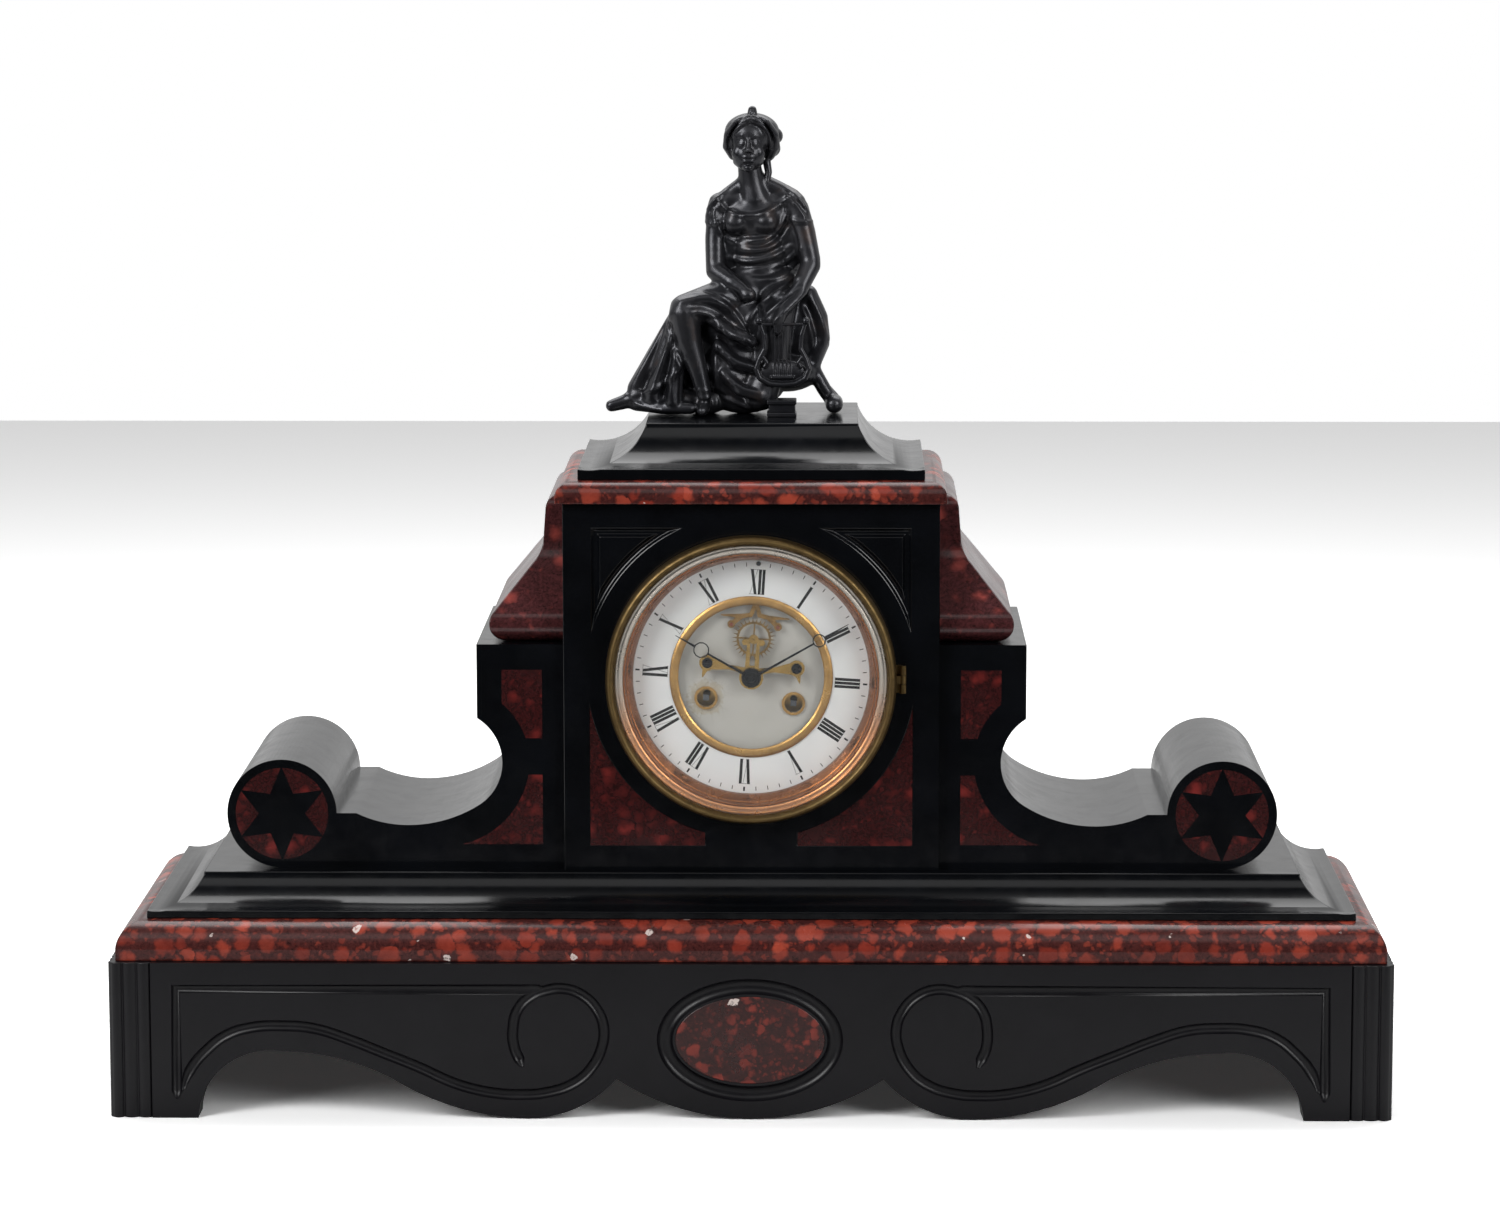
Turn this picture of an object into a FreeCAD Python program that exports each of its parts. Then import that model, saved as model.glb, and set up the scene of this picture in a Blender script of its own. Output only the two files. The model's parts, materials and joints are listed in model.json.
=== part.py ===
import FreeCAD, Part
import math
import os

Vector = FreeCAD.Vector

# Slate mantel clock with red marble mouldings, a round movement behind a visible escapement, and a seated figure.
# Frame: +X to the viewer's right, +Y away from the viewer, +Z up, in millimetres.
# The origin is the middle of the base's footprint, on the surface that the clock stands on.

# Base
base_width = 644.0
base_depth = 184.0
base_height = 79.6
base_wall = 18.0
corner_block_width = 21.5
reed_count = 3
reed_depth = 1.6
arch_peak_height = 34.6
arch_rise_height = 24.4
arch_fall_height = 31.1
swell_height = 21.0
side_lobe_inner_height = 5.4
lobe_cusp_height = 20.7
lobe_shoulder_height = 5.2
lobe_clearance = 0.4
oval_height = 40.8
oval_radius_x = 37.5
oval_radius_z = 22.3
oval_ring_gap = 2.4
oval_ring_width = 5.6
oval_ring_depth = 1.4
carving_depth = 1.8
inlay_thickness = 3.0

# Red base slab
red_slab_width = 637.0
red_slab_setback = 4.0
red_slab_height = 19.2
red_slab_fillet_height = 6.0
red_slab_round = 15.0

# Slate plinth
plinth_width = 607.8
plinth_setback = 16.9
plinth_height = 18.8
plinth_fillet_height = 4.0
plinth_cove = 25.9
plinth_top_fillet = 2.0

# Centre block
block_width = 190.0
block_front_setback = 48.6
block_height = 188.2
block_front_thickness = 18.0
block_wall = 14.0
dial_height_in_block = 99.0
dial_turn = 3.7
movement_hole_radius = 64.6
spandrel_margin_x = 14.3
spandrel_margin_z = 12.8
spandrel_arc_gap = 3.3
spandrel_groove = 4.6
spandrel_bevel = 1.5
corner_inlay_margin = 13.4
corner_inlay_foot = 12.8
corner_inlay_side = 6.6
corner_inlay_arc_gap = 1.4

# Wings
wing_setback = 53.6
wing_width = 44.2
wing_height = 115.3
wing_neck_height = 77.4
bay_top_radius = 27.0
bay_radius = 26.0
bay_turn = 58.0
bay_floor_radius = 68.0
bay_floor_turn = 32.0
bay_rise_radius = 60.0
bay_rise_turn = 26.0
scroll_radius = 27.9
scroll_centre_x = 239.0
star_radius = 23.6
star_point_count = 6
star_inner_share = 0.5
star_tip_width = 0.7
wing_inlay_arc = 40.0
wing_inlay_inset = 11.1
upper_inlay_top = 102.3
upper_inlay_foot = 67.1
upper_inlay_width = 20.5
upper_inlay_step = 8.6
lower_inlay_top = 48.3
lower_inlay_foot = 12.3
lower_inlay_width = 40.7
lower_inlay_bend = -40
lower_inlay_step = 7.2

# Red marble consoles
console_height = 72.9
console_neck = 10.5
console_foot = 37.9
console_setback = 57.4
console_shoulder = 8.0
console_neck_slope = 1.0
console_cove_height = 50.5
console_cove_radius = 17.0
console_cove_turn = 45.0
console_bulge_radius = 9.5

# Red top slab and cap
top_slab_overhang = 3.7
top_slab_front = 5.7
top_slab_height = 10.9
top_slab_fillet_height = 3.2
top_slab_round = 8.0
cap_width = 175.0
cap_setback = 53.0
cap_height = 25.1
cap_fillet_height = 5.6
cap_cove = 33.3
cap_top_fillet = 1.2

# Figure
figure_height = 159.2
figure_setback = 140.0

# Dial and glazed bezel
chapter_radius = 61.0
chapter_inner_radius = 40.2
chapter_thickness = 1.5
chapter_setback = 4.4
recess_depth = 3.5
recess_radius = 40.0
pan_thickness = 1.0
pan_radius = 62.9
pan_floor_radius = 30.0
gilt_ring_inner = 36.8
gilt_ring_outer = 41.4
gilt_ring_height = 1.3
casing_radius = 71.5
casing_flange = 1.8
casing_tube_radius = 63.3
casing_tube_wall = 1.1
casing_tube_length = 14.0
casing_lip_radius = 60.0
bezel_radius = 73.3
bezel_lap = 0.4
bezel_height = 10.6
bezel_inner_radius = 64.4
bezel_rebate_radius = 68.8
bezel_bead = 3.2
bezel_shoulder_inset = 0.9
bezel_shoulder_drop = 1.4
bezel_crest_inset = 2.1
bezel_lip_inset = 3.3
bezel_lip_drop = 1.2
glass_thickness = 2.0
glass_bevel = 4.2
glass_bevel_depth = 1.3
sight_ring_wall = 0.8
sight_ring_foot_radius = 59.7
sight_ring_clearance = 0.5
hinge_radius = 1.7
hinge_pin_radius = 0.8
hinge_length = 14.0
hinge_gap = 0.3
hinge_offset = 1.6
hinge_arm = 2.4
pivot_clearance = 0.05

# Movement plates
plate_radius = 45.0
plate_thickness = 2.5
plate_spacing = 30.0
plate_setback = 20.9
pillar_radius = 2.6
pillar_circle = 41.0
pillar_angles = [50.0, 130.0, 242.0, 298.0]
dial_foot_radius = 1.5
dial_foot_angles = [27.5, 147.5, 267.5]
centre_arbor_radius = 0.9
arbor_radius = 0.6
pivot_radius = 0.4
end_shake = 0.15
wheel_thickness = 1.2
pinion_length = 3.2
tooth_relief = 0.12

# Winding barrels
winding_x = 22.2
winding_drop = 12.75
barrel_length = 18.0
going_barrel_radius = 17.0
strike_barrel_radius = 15.8
winding_arbor_radius = 2.2
winding_pivot_radius = 1.6
winding_clearance = 0.1
winding_square = 3.0
ferrule_outer_radius = 6.0
ferrule_inner_radius = 4.5
ferrule_height = 1.0

# Going train
great_teeth = 72
great_module = 0.52
intermediate_pinion_leaves = 12
intermediate_teeth = 60
intermediate_module = 0.42
centre_pinion_leaves = 10
centre_teeth = 84
centre_module = 0.31
third_pinion_leaves = 6
third_teeth = 78
third_module = 0.32
escape_pinion_leaves = 6
escape_teeth = 30
escape_height = 19.6
escape_tip_radius = 11.2
escape_rim_radius = 8.7
escape_rim_width = 1.0
escape_hub_radius = 2.4
escape_spoke_width = 0.8
escape_thickness = 0.9
escape_standoff = 0.8

# Escapement
anchor_height = 38.0
anchor_hub_radius = 1.9
anchor_arm_width = 2.2
anchor_thickness = 0.9
anchor_standoff = 0.5
anchor_arbor_radius = 0.8
pallet_angle = 61.0
pallet_circle_radius = 13.5
pallet_socket_radius = 2.1
pallet_stone_radius = 1.0
pallet_stone_length = 2.6
curl_length = 5.6
bridge_thickness = 1.0
bridge_boss_radius = 6.2
bridge_bore_radius = 3.1
bridge_top_radius = 2.5
bridge_leaf_radius = 1.7
bridge_leg_width = 1.5
bridge_leg_spread = 2.4
bridge_foot_x = 22.6
bridge_foot_height = 6.1
bridge_foot_radius = 4.2
bridge_post_radius = 2.0
bridge_arm_width = 2.4
bridge_setback = 1.9
screw_head_radius = 2.7
screw_head_height = 1.1
screw_slot_width = 0.5
screw_slot_depth = 0.5

# Motion work and hands
cannon_leaves = 12
minute_wheel_teeth = 36
minute_pinion_leaves = 10
hour_wheel_teeth = 40
motion_distance = 9.72
motion_angle = -60.0
cannon_radius = 1.5
hour_pipe_radius = 2.5
running_clearance = 0.06
hour_hand_length = 44.0
hour_ring_at = 29.0
hour_ring_radius = 4.1
hour_boss_radius = 5.0
hour_hand_angle = 299.7
minute_hand_length = 56.5
minute_ring_at = 39.5
minute_ring_radius = 3.5
minute_boss_radius = 3.4
minute_hand_angle = 60.5
hand_thickness = 0.6
hand_gap = 0.9
hand_root_width = 1.3
hand_tip_width = 0.5
hand_ring_wall = 0.7
collet_radius = 2.3
collet_height = 1.2

# Strike train, hammer and bell
strike_great_module = 0.48
hammer_wheel_teeth = 60
hammer_wheel_module = 0.34
hammer_wheel_angle = 100.0
hammer_pin_count = 10
hammer_pin_circle = 7.6
hammer_pin_radius = 0.5
hammer_pin_length = 1.3
fly_pinion_leaves = 6
fly_angle = 120.0
fly_span = 12.0
fly_length = 15.0
fly_thickness = 0.5
hammer_u = -16.0
hammer_w = 30.0
hammer_head_u = -33.2
hammer_head_w = 24.4
hammer_head_radius = 3.5
hammer_head_length = 13.0
hammer_arm_width = 2.0
hammer_tail_gap = 0.4
hammer_arbor_radius = 0.9
bell_radius = 36.0
bell_depth_share = 0.3754
bell_wall = 1.8
bell_gap = 18.0
bell_boss_radius = 5.0
bell_hole_radius = 2.5
stand_radius = 2.0
stand_foot_radius = 3.2
stand_u = -34.5
stand_w = -23.0

# Pendulum
pendulum_length = 108.0
pendulum_gap = 9.5
spring_length = 8.0
spring_width = 5.0
spring_thickness = 0.25
pendulum_rod_radius = 1.0
bob_radius = 17.0
bob_thickness = 8.0
bob_edge = 2.0
nut_radius = 3.0
nut_height = 3.5
crutch_length = 20.0
crutch_width = 2.0
crutch_fork_gap = 0.25
cock_width = 14.0
cock_height = 12.0
cock_leg_width = 3.5
cock_thickness = 7.0
regulator_height = 58.0
regulator_radius = 1.1
regulator_hole_radius = 1.25

# Straps, rear ring and rear door
strap_width = 12.0
strap_thickness = 1.4
strap_clearance = 0.1
strap_lug_length = 5.4
strap_lug_thickness = 1.6
strap_screw_radius = 1.4
strap_screw_head_radius = 2.4
strap_screw_head_height = 0.5
rear_ring_radius = 70.0
rear_ring_thickness = 3.0
rear_ring_recess = 0.6
rear_ledge_radius = 49.0
rear_ledge_thickness = 0.6
door_radius = 52.0
door_thickness = 2.2
door_bevel = 1.0
door_clearance = 0.3
door_hinge_radius = 1.2
door_hinge_pin_radius = 0.6
door_hinge_length = 12.0
door_hinge_offset = 1.3

# Flats of round bars and of turned rings
flat_depth = 0.13
fewest_flat_count = 8
oval_side_count = 48
ring_flat_count = 48
hidden_ring_flat_count = 36
bell_flat_count = 36

# Places that follow from the sizes above
overrun = 5.0
front_y = -base_depth / 2
back_y = base_depth / 2
slab_z = base_height
plinth_z = slab_z + red_slab_height
block_z = plinth_z + plinth_height
block_top_z = block_z + block_height
block_front_y = front_y + block_front_setback
wing_front_y = front_y + wing_setback
console_z = block_z + wing_height
console_front_y = front_y + console_setback
cap_z = block_top_z + top_slab_height
cap_top_z = cap_z + cap_height
cap_front_y = front_y + cap_setback
dial_z = block_z + dial_height_in_block
chapter_front_y = block_front_y + chapter_setback
chapter_back_y = chapter_front_y + chapter_thickness
pan_back_y = chapter_back_y + pan_thickness
recess_front_y = chapter_front_y + recess_depth
recess_back_y = recess_front_y + chapter_thickness
front_plate_y = block_front_y + plate_setback
between_y = front_plate_y + plate_thickness
back_plate_y = between_y + plate_spacing
behind_plate_y = back_plate_y + plate_thickness
escape_wheel_y = chapter_front_y + escape_standoff - escape_thickness
bridge_y = escape_wheel_y - bridge_setback
hour_hand_y = bridge_y - hand_gap - hand_thickness
minute_hand_y = hour_hand_y - hand_gap - hand_thickness
bezel_back_y = block_front_y - casing_flange - bezel_lap
bezel_front_y = bezel_back_y - bezel_height
glass_y = bezel_front_y + bezel_bead
pendulum_y = behind_plate_y + pendulum_gap
bell_mouth_y = behind_plate_y + bell_gap
figure_y = front_y + figure_setback
rear_ring_y = back_y - rear_ring_recess - rear_ring_thickness
door_y = rear_ring_y + rear_ledge_thickness + door_clearance / 3
bell_depth = (door_y - bell_mouth_y) * bell_depth_share
bell_back_y = bell_mouth_y + bell_depth
strap_x = math.sqrt((casing_tube_radius - strap_clearance) ** 2 - (strap_width / 2) ** 2)
strap_screw_x = strap_x - strap_lug_length / 2
y_axis = Vector(0, 1, 0)
x_axis = Vector(1, 0, 0)
z_axis = Vector(0, 0, 1)


def at_dial(u, w, y):
    """A point of the movement: u to the right and w up from the dial's centre, in the turned movement."""
    turn = math.radians(dial_turn)
    x = u * math.cos(turn) + w * math.sin(turn)
    z = -u * math.sin(turn) + w * math.cos(turn)
    return Vector(x, y, dial_z + z)


def polar(u, w, radius, angle):
    """A place on a circle about (u, w), angle counted anticlockwise from the movement's right."""
    turn = math.radians(angle)
    return (u + radius * math.cos(turn), w + radius * math.sin(turn))


def box(low, high):
    return Part.makeBox(high[0] - low[0], high[1] - low[1], high[2] - low[2], Vector(*low))


def line(a, b):
    return Part.makeLine(a, b)


def arc(a, middle, b):
    return Part.Arc(a, middle, b).toShape()


def slab_from(edges, direction):
    """A solid from closed edges in one plane, carried along a direction."""
    return Part.Face(Part.Wire(edges)).extrude(direction)


def movement_plate(points, y0, y1):
    """A plate with straight edges in the turned movement; points are (u, w)."""
    ring = [at_dial(u, w, y0) for u, w in points]
    return Part.Face(Part.makePolygon(ring + [ring[0]])).extrude(Vector(0, y1 - y0, 0))


def flat_count(radius):
    """Flats that a round piece gets, so that none lies deeper than flat_depth under the true circle."""
    return 4 * max(fewest_flat_count // 4, round(math.pi * math.sqrt(radius / (2 * flat_depth)) / 4))


def round_bar(place, axis, radius, length):
    """A round bar made of narrow flats; its corners lie on the named radius."""
    across = z_axis if axis.z == 0 else x_axis
    upward = axis.cross(across)
    sides = flat_count(radius)
    ring = []
    for index in range(sides):
        angle = 2 * math.pi * (index + 0.5) / sides
        ring.append(place.add(across * (radius * math.cos(angle))).add(upward * (radius * math.sin(angle))))
    return Part.Face(Part.makePolygon(ring + [ring[0]])).extrude(axis * length)


def round_bore(place, axis, radius, length):
    """Cutter for a bore; its flats touch the named radius from outside, so what turns in it stays clear."""
    return round_bar(place, axis, radius / math.cos(math.pi / flat_count(radius)), length)


def rod(u, w, radius, y0, y1):
    """A round bar along the depth of the movement."""
    return round_bar(at_dial(u, w, y0), y_axis, radius, y1 - y0)


def bore(u, w, radius, y0, y1):
    """Cutter for a bore along the depth of the movement."""
    return round_bore(at_dial(u, w, y0), y_axis, radius, y1 - y0)


def turned_in_flats(profile, centre, sides):
    """A ring or dish with many flats round an axis along the depth; profile points are (radius, y)."""
    rings = []
    for radius, y in profile:
        if radius == 0:
            rings.append([Vector(centre.x, y, centre.z)] * sides)
            continue
        ring = []
        for index in range(sides):
            angle = 2 * math.pi * (index + 0.5) / sides
            ring.append(Vector(centre.x + radius * math.cos(angle), y, centre.z + radius * math.sin(angle)))
        rings.append(ring)
    faces = []
    for place, ring in enumerate(rings):
        after_ring = rings[(place + 1) % len(rings)]
        radius, y = profile[place]
        after_radius, after_y = profile[(place + 1) % len(rings)]
        if radius == 0 and after_radius == 0:
            continue
        if y == after_y and radius * after_radius == 0:
            faces.append(facet(ring if after_radius == 0 else after_ring[::-1]))
            continue
        for index in range(sides):
            after = (index + 1) % sides
            corners = [ring[index], ring[after], after_ring[after], after_ring[index]]
            if radius == 0:
                corners = [ring[index], after_ring[after], after_ring[index]]
            elif after_radius == 0:
                corners = [ring[index], ring[after], after_ring[index]]
            faces.append(facet(corners))
    shell = Part.makeShell(faces)
    shell.sewShape()
    solid = Part.makeSolid(shell)
    if solid.Volume < 0:
        solid.reverse()
    return solid


def facet(points):
    return Part.Face(Part.makePolygon(points + [points[0]]))


def fused(shapes):
    whole = shapes[0]
    if len(shapes) > 1:
        whole = shapes[0].fuse(shapes[1:])
    return whole.removeSplitter()


def mirrored(shape):
    return shape.mirror(Vector(0, 0, 0), x_axis)


def save(name, shapes):
    """One STEP file for each piece; a list of solids is a group of separate pieces."""
    if isinstance(shapes, list):
        whole = Part.makeCompound([solid for shape in shapes for solid in shape.Solids])
    else:
        whole = shapes
    solids = whole.Solids
    if not solids or not all(solid.isValid() for solid in solids):
        raise ValueError("not a valid solid: " + name)
    if not isinstance(shapes, list) and len(solids) != 1:
        raise ValueError("not one solid: " + name)
    if len(solids) == 1:
        solids[0].exportStep("parts/" + name + ".step")
    else:
        Part.makeCompound(solids).exportStep("parts/" + name + ".step")


# Mouldings that run along the front and both sides, cut flat at the back

def side_profile(half, z, outline):
    """Closed edges in the XZ plane: the outline on the right, mirrored on the left."""
    right = []
    left = []
    for kind, points in outline:
        places = [Vector(half - inset, front_y - overrun, z + rise) for inset, rise in points]
        mirror_places = [Vector(-p.x, p.y, p.z) for p in places]
        if kind == "line":
            right.append(line(places[0], places[1]))
            left.append(line(mirror_places[1], mirror_places[0]))
        else:
            right.append(arc(places[0], places[1], places[2]))
            left.append(arc(mirror_places[2], mirror_places[1], mirror_places[0]))
    low = half - outline[0][1][0][0]
    high = half - outline[-1][1][-1][0]
    top = z + outline[-1][1][-1][1]
    bottom = z + outline[0][1][0][1]
    y = front_y - overrun
    edges = [line(Vector(-low, y, bottom), Vector(low, y, bottom))]
    edges += right
    edges.append(line(Vector(high, y, top), Vector(-high, y, top)))
    edges += left[::-1]
    return edges


def front_profile(front, z, outline, reach):
    """Closed edges in the YZ plane: the outline on the front, straight at the back."""
    edges = []
    for kind, points in outline:
        places = [Vector(-reach, front + inset, z + rise) for inset, rise in points]
        if kind == "line":
            edges.append(line(places[0], places[1]))
        else:
            edges.append(arc(places[0], places[1], places[2]))
    first = outline[0][1][0]
    last = outline[-1][1][-1]
    top = z + last[1]
    bottom = z + first[1]
    edges.append(line(Vector(-reach, front + last[0], top), Vector(-reach, back_y, top)))
    edges.append(line(Vector(-reach, back_y, top), Vector(-reach, back_y, bottom)))
    edges.append(line(Vector(-reach, back_y, bottom), Vector(-reach, front + first[0], bottom)))
    return edges


def moulded_slab(half, front, z, outline):
    """Front and side mouldings meet in mitres where the two profiles cross."""
    across = slab_from(side_profile(half, z, outline), Vector(0, base_depth + overrun + overrun, 0))
    along = slab_from(front_profile(front, z, outline, half + overrun), Vector(2 * (half + overrun), 0, 0))
    return across.common(along)


def cove_outline(cove, height, fillet, top_fillet):
    """A straight fillet, a hollow quarter curve and a small fillet at the top."""
    rise = height - fillet - top_fillet
    quarter = math.sqrt(0.5)
    return [
        ("line", [(0, 0), (0, fillet)]),
        ("arc", [(0, fillet), (cove * quarter, fillet + rise * (1 - quarter)), (cove, fillet + rise)]),
        ("line", [(cove, fillet + rise), (cove, height)]),
    ]


def bull_outline(bulge, height, fillet):
    """A straight fillet and a rounded top edge."""
    rise = height - fillet
    quarter = math.sqrt(0.5)
    return [
        ("line", [(0, 0), (0, fillet)]),
        ("arc", [(0, fillet), (bulge * (1 - quarter), fillet + rise * quarter), (bulge, height)]),
    ]


def base_red_slab():
    outline = bull_outline(red_slab_round, red_slab_height, red_slab_fillet_height)
    return moulded_slab(red_slab_width / 2, front_y + red_slab_setback, slab_z, outline)


def plinth():
    outline = cove_outline(plinth_cove, plinth_height, plinth_fillet_height, plinth_top_fillet)
    return moulded_slab(plinth_width / 2, front_y + plinth_setback, plinth_z, outline)


def top_red_slab():
    outline = bull_outline(top_slab_round, top_slab_height, top_slab_fillet_height)
    half = block_width / 2 + top_slab_overhang
    return moulded_slab(half, block_front_y - top_slab_front, block_top_z, outline)


def cap():
    outline = cove_outline(cap_cove, cap_height, cap_fillet_height, cap_top_fillet)
    return moulded_slab(cap_width / 2, cap_front_y, cap_z, outline)


# Base

# Places along the apron's lower edge as shares of half the base's width
apron_foot_share = 0.862
arch_rise_share = 0.8276
arch_peak_share = 0.7292
arch_fall_share = 0.6429
swell_share = 0.5596
side_lobe_inner_share = 0.4534
side_lobe_share = 0.3593
lobe_shoulder_share = 0.2733
lobe_cusp_share = 0.2081


def apron_lower_edge(y):
    """The arched and lobed lower edge, from the left foot to the right foot."""
    half = base_width / 2 - corner_block_width
    foot_inner_x = base_width / 2 * apron_foot_share
    arch_rise_x = base_width / 2 * arch_rise_share
    arch_peak_x = base_width / 2 * arch_peak_share
    arch_fall_x = base_width / 2 * arch_fall_share
    swell_x = base_width / 2 * swell_share
    side_lobe_inner_x = base_width / 2 * side_lobe_inner_share
    side_lobe_x = base_width / 2 * side_lobe_share
    lobe_shoulder_x = base_width / 2 * lobe_shoulder_share
    lobe_cusp_x = base_width / 2 * lobe_cusp_share
    left = [
        (Vector(-foot_inner_x, y, 0), Vector(-arch_rise_x, y, arch_rise_height),
         Vector(-arch_peak_x, y, arch_peak_height)),
        (Vector(-arch_peak_x, y, arch_peak_height), Vector(-arch_fall_x, y, arch_fall_height),
         Vector(-swell_x, y, swell_height)),
        (Vector(-swell_x, y, swell_height), Vector(-side_lobe_inner_x, y, side_lobe_inner_height),
         Vector(-side_lobe_x, y, lobe_clearance)),
        (Vector(-side_lobe_x, y, lobe_clearance), Vector(-lobe_shoulder_x, y, lobe_shoulder_height),
         Vector(-lobe_cusp_x, y, lobe_cusp_height)),
    ]
    edges = [line(Vector(-half, y, 0), Vector(-foot_inner_x, y, 0))]
    edges += [arc(*points) for points in left]
    cusp = Vector(-lobe_cusp_x, y, lobe_cusp_height)
    edges.append(arc(cusp, Vector(0, y, lobe_clearance), Vector(lobe_cusp_x, y, lobe_cusp_height)))
    for points in left[::-1]:
        flipped = [Vector(-p.x, p.y, p.z) for p in points[::-1]]
        edges.append(arc(*flipped))
    edges.append(line(Vector(foot_inner_x, y, 0), Vector(half, y, 0)))
    return edges


def oval(extra, y, depth):
    """An oval disc about the middle of the apron, larger all round by extra."""
    ring = []
    for index in range(oval_side_count):
        angle = 2 * math.pi * index / oval_side_count
        ring.append(Vector((oval_radius_x + extra) * math.cos(angle), y,
                           oval_height + (oval_radius_z + extra) * math.sin(angle)))
    return Part.Face(Part.makePolygon(ring + [ring[0]])).extrude(Vector(0, depth, 0))


def base_apron():
    half = base_width / 2 - corner_block_width
    edges = apron_lower_edge(front_y)
    edges.append(line(Vector(half, front_y, 0), Vector(half, front_y, base_height)))
    edges.append(line(Vector(half, front_y, base_height), Vector(-half, front_y, base_height)))
    edges.append(line(Vector(-half, front_y, base_height), Vector(-half, front_y, 0)))
    panel = slab_from(edges, Vector(0, base_wall, 0))
    pocket = oval(0, front_y - overrun, overrun + inlay_thickness)
    ring = oval(oval_ring_gap + oval_ring_width, front_y - overrun, overrun + oval_ring_depth)
    ring = ring.cut(oval(oval_ring_gap, front_y - overrun, overrun + oval_ring_depth))
    return panel.cut(pocket).cut(ring)


def apron_oval_inlay():
    return oval(0, front_y, inlay_thickness)


def corner_block():
    """A square post with rounded upright reeds on its front and its outer side."""
    half = base_width / 2
    inner = half - corner_block_width
    step = corner_block_width / reed_count
    edges = []
    for index in range(reed_count):
        x0 = inner + index * step
        a = Vector(x0, front_y + reed_depth, 0)
        b = Vector(x0 + step, front_y + reed_depth, 0)
        if index == reed_count - 1:
            b = Vector(half - reed_depth, front_y + reed_depth, 0)
        edges.append(arc(a, Vector((a.x + b.x) / 2, front_y, 0), b))
    for index in range(reed_count):
        y0 = front_y + index * step
        a = Vector(half - reed_depth, y0, 0)
        if index == 0:
            a = Vector(half - reed_depth, front_y + reed_depth, 0)
        b = Vector(half - reed_depth, y0 + step, 0)
        edges.append(arc(a, Vector(half, (a.y + b.y) / 2, 0), b))
    back = front_y + corner_block_width
    edges.append(line(Vector(half - reed_depth, back, 0), Vector(inner, back, 0)))
    edges.append(line(Vector(inner, back, 0), Vector(inner, front_y + reed_depth, 0)))
    return slab_from(edges, Vector(0, 0, base_height))


def base_side_panel():
    half = base_width / 2
    low = (half - base_wall, front_y + corner_block_width, 0)
    high = (half, back_y - base_wall, base_height)
    return box(low, high)


def base_back_panel():
    half = base_width / 2
    low = (-half, back_y - base_wall, 0)
    high = (half, back_y, base_height)
    return box(low, high)


# Centre block

def spandrel(inset, y):
    """Edges of the incised corner: a level edge, an upright edge and an arc about the dial."""
    left = -(block_width / 2 - spandrel_margin_x - inset)
    top = block_top_z - spandrel_margin_z - inset
    reach = max(block_width / 2 - spandrel_margin_x, block_top_z - spandrel_margin_z - dial_z)
    radius = reach + spandrel_arc_gap + inset
    level = Vector(-math.sqrt(radius ** 2 - (top - dial_z) ** 2), y, top)
    upright = Vector(left, y, dial_z + math.sqrt(radius ** 2 - left ** 2))
    corner = Vector(left, y, top)
    start = math.atan2(level.z - dial_z, level.x)
    end = math.atan2(upright.z - dial_z, upright.x)
    half_way = (start + end) / 2
    middle = Vector(radius * math.cos(half_way), y, dial_z + radius * math.sin(half_way))
    return Part.Wire([line(corner, level), arc(level, middle, upright), line(upright, corner)])


def spandrel_groove_cutter():
    """A channel with sloping walls round a panel that stands level with the block."""
    top = block_front_y
    floor = block_front_y + carving_depth
    outer = Part.makeLoft([spandrel(0, top), spandrel(spandrel_bevel, floor)], True, True)
    inner = Part.makeLoft([spandrel(spandrel_groove, top), spandrel(spandrel_groove - spandrel_bevel, floor)],
                          True, True)
    return outer.cut(inner)


def corner_inlay(y, depth):
    """The lower corner inlay: a rectangle with its inner corner cut by an arc about the dial."""
    left = -(block_width / 2 - corner_inlay_margin)
    foot = block_z + corner_inlay_foot
    drop = dial_z - foot - corner_inlay_side
    radius = max(-left, drop) + corner_inlay_arc_gap
    upper = Vector(left, y, dial_z - math.sqrt(radius ** 2 - left ** 2))
    right = -math.sqrt(radius ** 2 - drop ** 2)
    side = Vector(right, y, dial_z - drop)
    start = math.atan2(upper.z - dial_z, upper.x)
    end = math.atan2(side.z - dial_z, side.x)
    half_way = (start + end) / 2
    middle = Vector(radius * math.cos(half_way), y, dial_z + radius * math.sin(half_way))
    edges = [
        line(Vector(left, y, foot), upper),
        arc(upper, middle, side),
        line(side, Vector(right, y, foot)),
        line(Vector(right, y, foot), Vector(left, y, foot)),
    ]
    return slab_from(edges, Vector(0, depth, 0))


def block_front():
    half = block_width / 2
    panel = box((-half, block_front_y, block_z), (half, block_front_y + block_front_thickness, block_top_z))
    hole = round_bore(Vector(0, block_front_y - overrun, dial_z), y_axis, movement_hole_radius,
                      block_front_thickness + overrun + overrun)
    panel = panel.cut(hole)
    groove = spandrel_groove_cutter()
    panel = panel.cut(groove).cut(mirrored(groove))
    pocket = corner_inlay(block_front_y - overrun, overrun + inlay_thickness)
    return panel.cut(pocket).cut(mirrored(pocket))


def block_corner_inlays():
    inlay = corner_inlay(block_front_y, inlay_thickness)
    return [inlay, mirrored(inlay)]


def block_side():
    half = block_width / 2
    low = (half - block_wall, block_front_y + block_front_thickness, block_z)
    high = (half, back_y - block_wall, block_top_z)
    return box(low, high)


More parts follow.
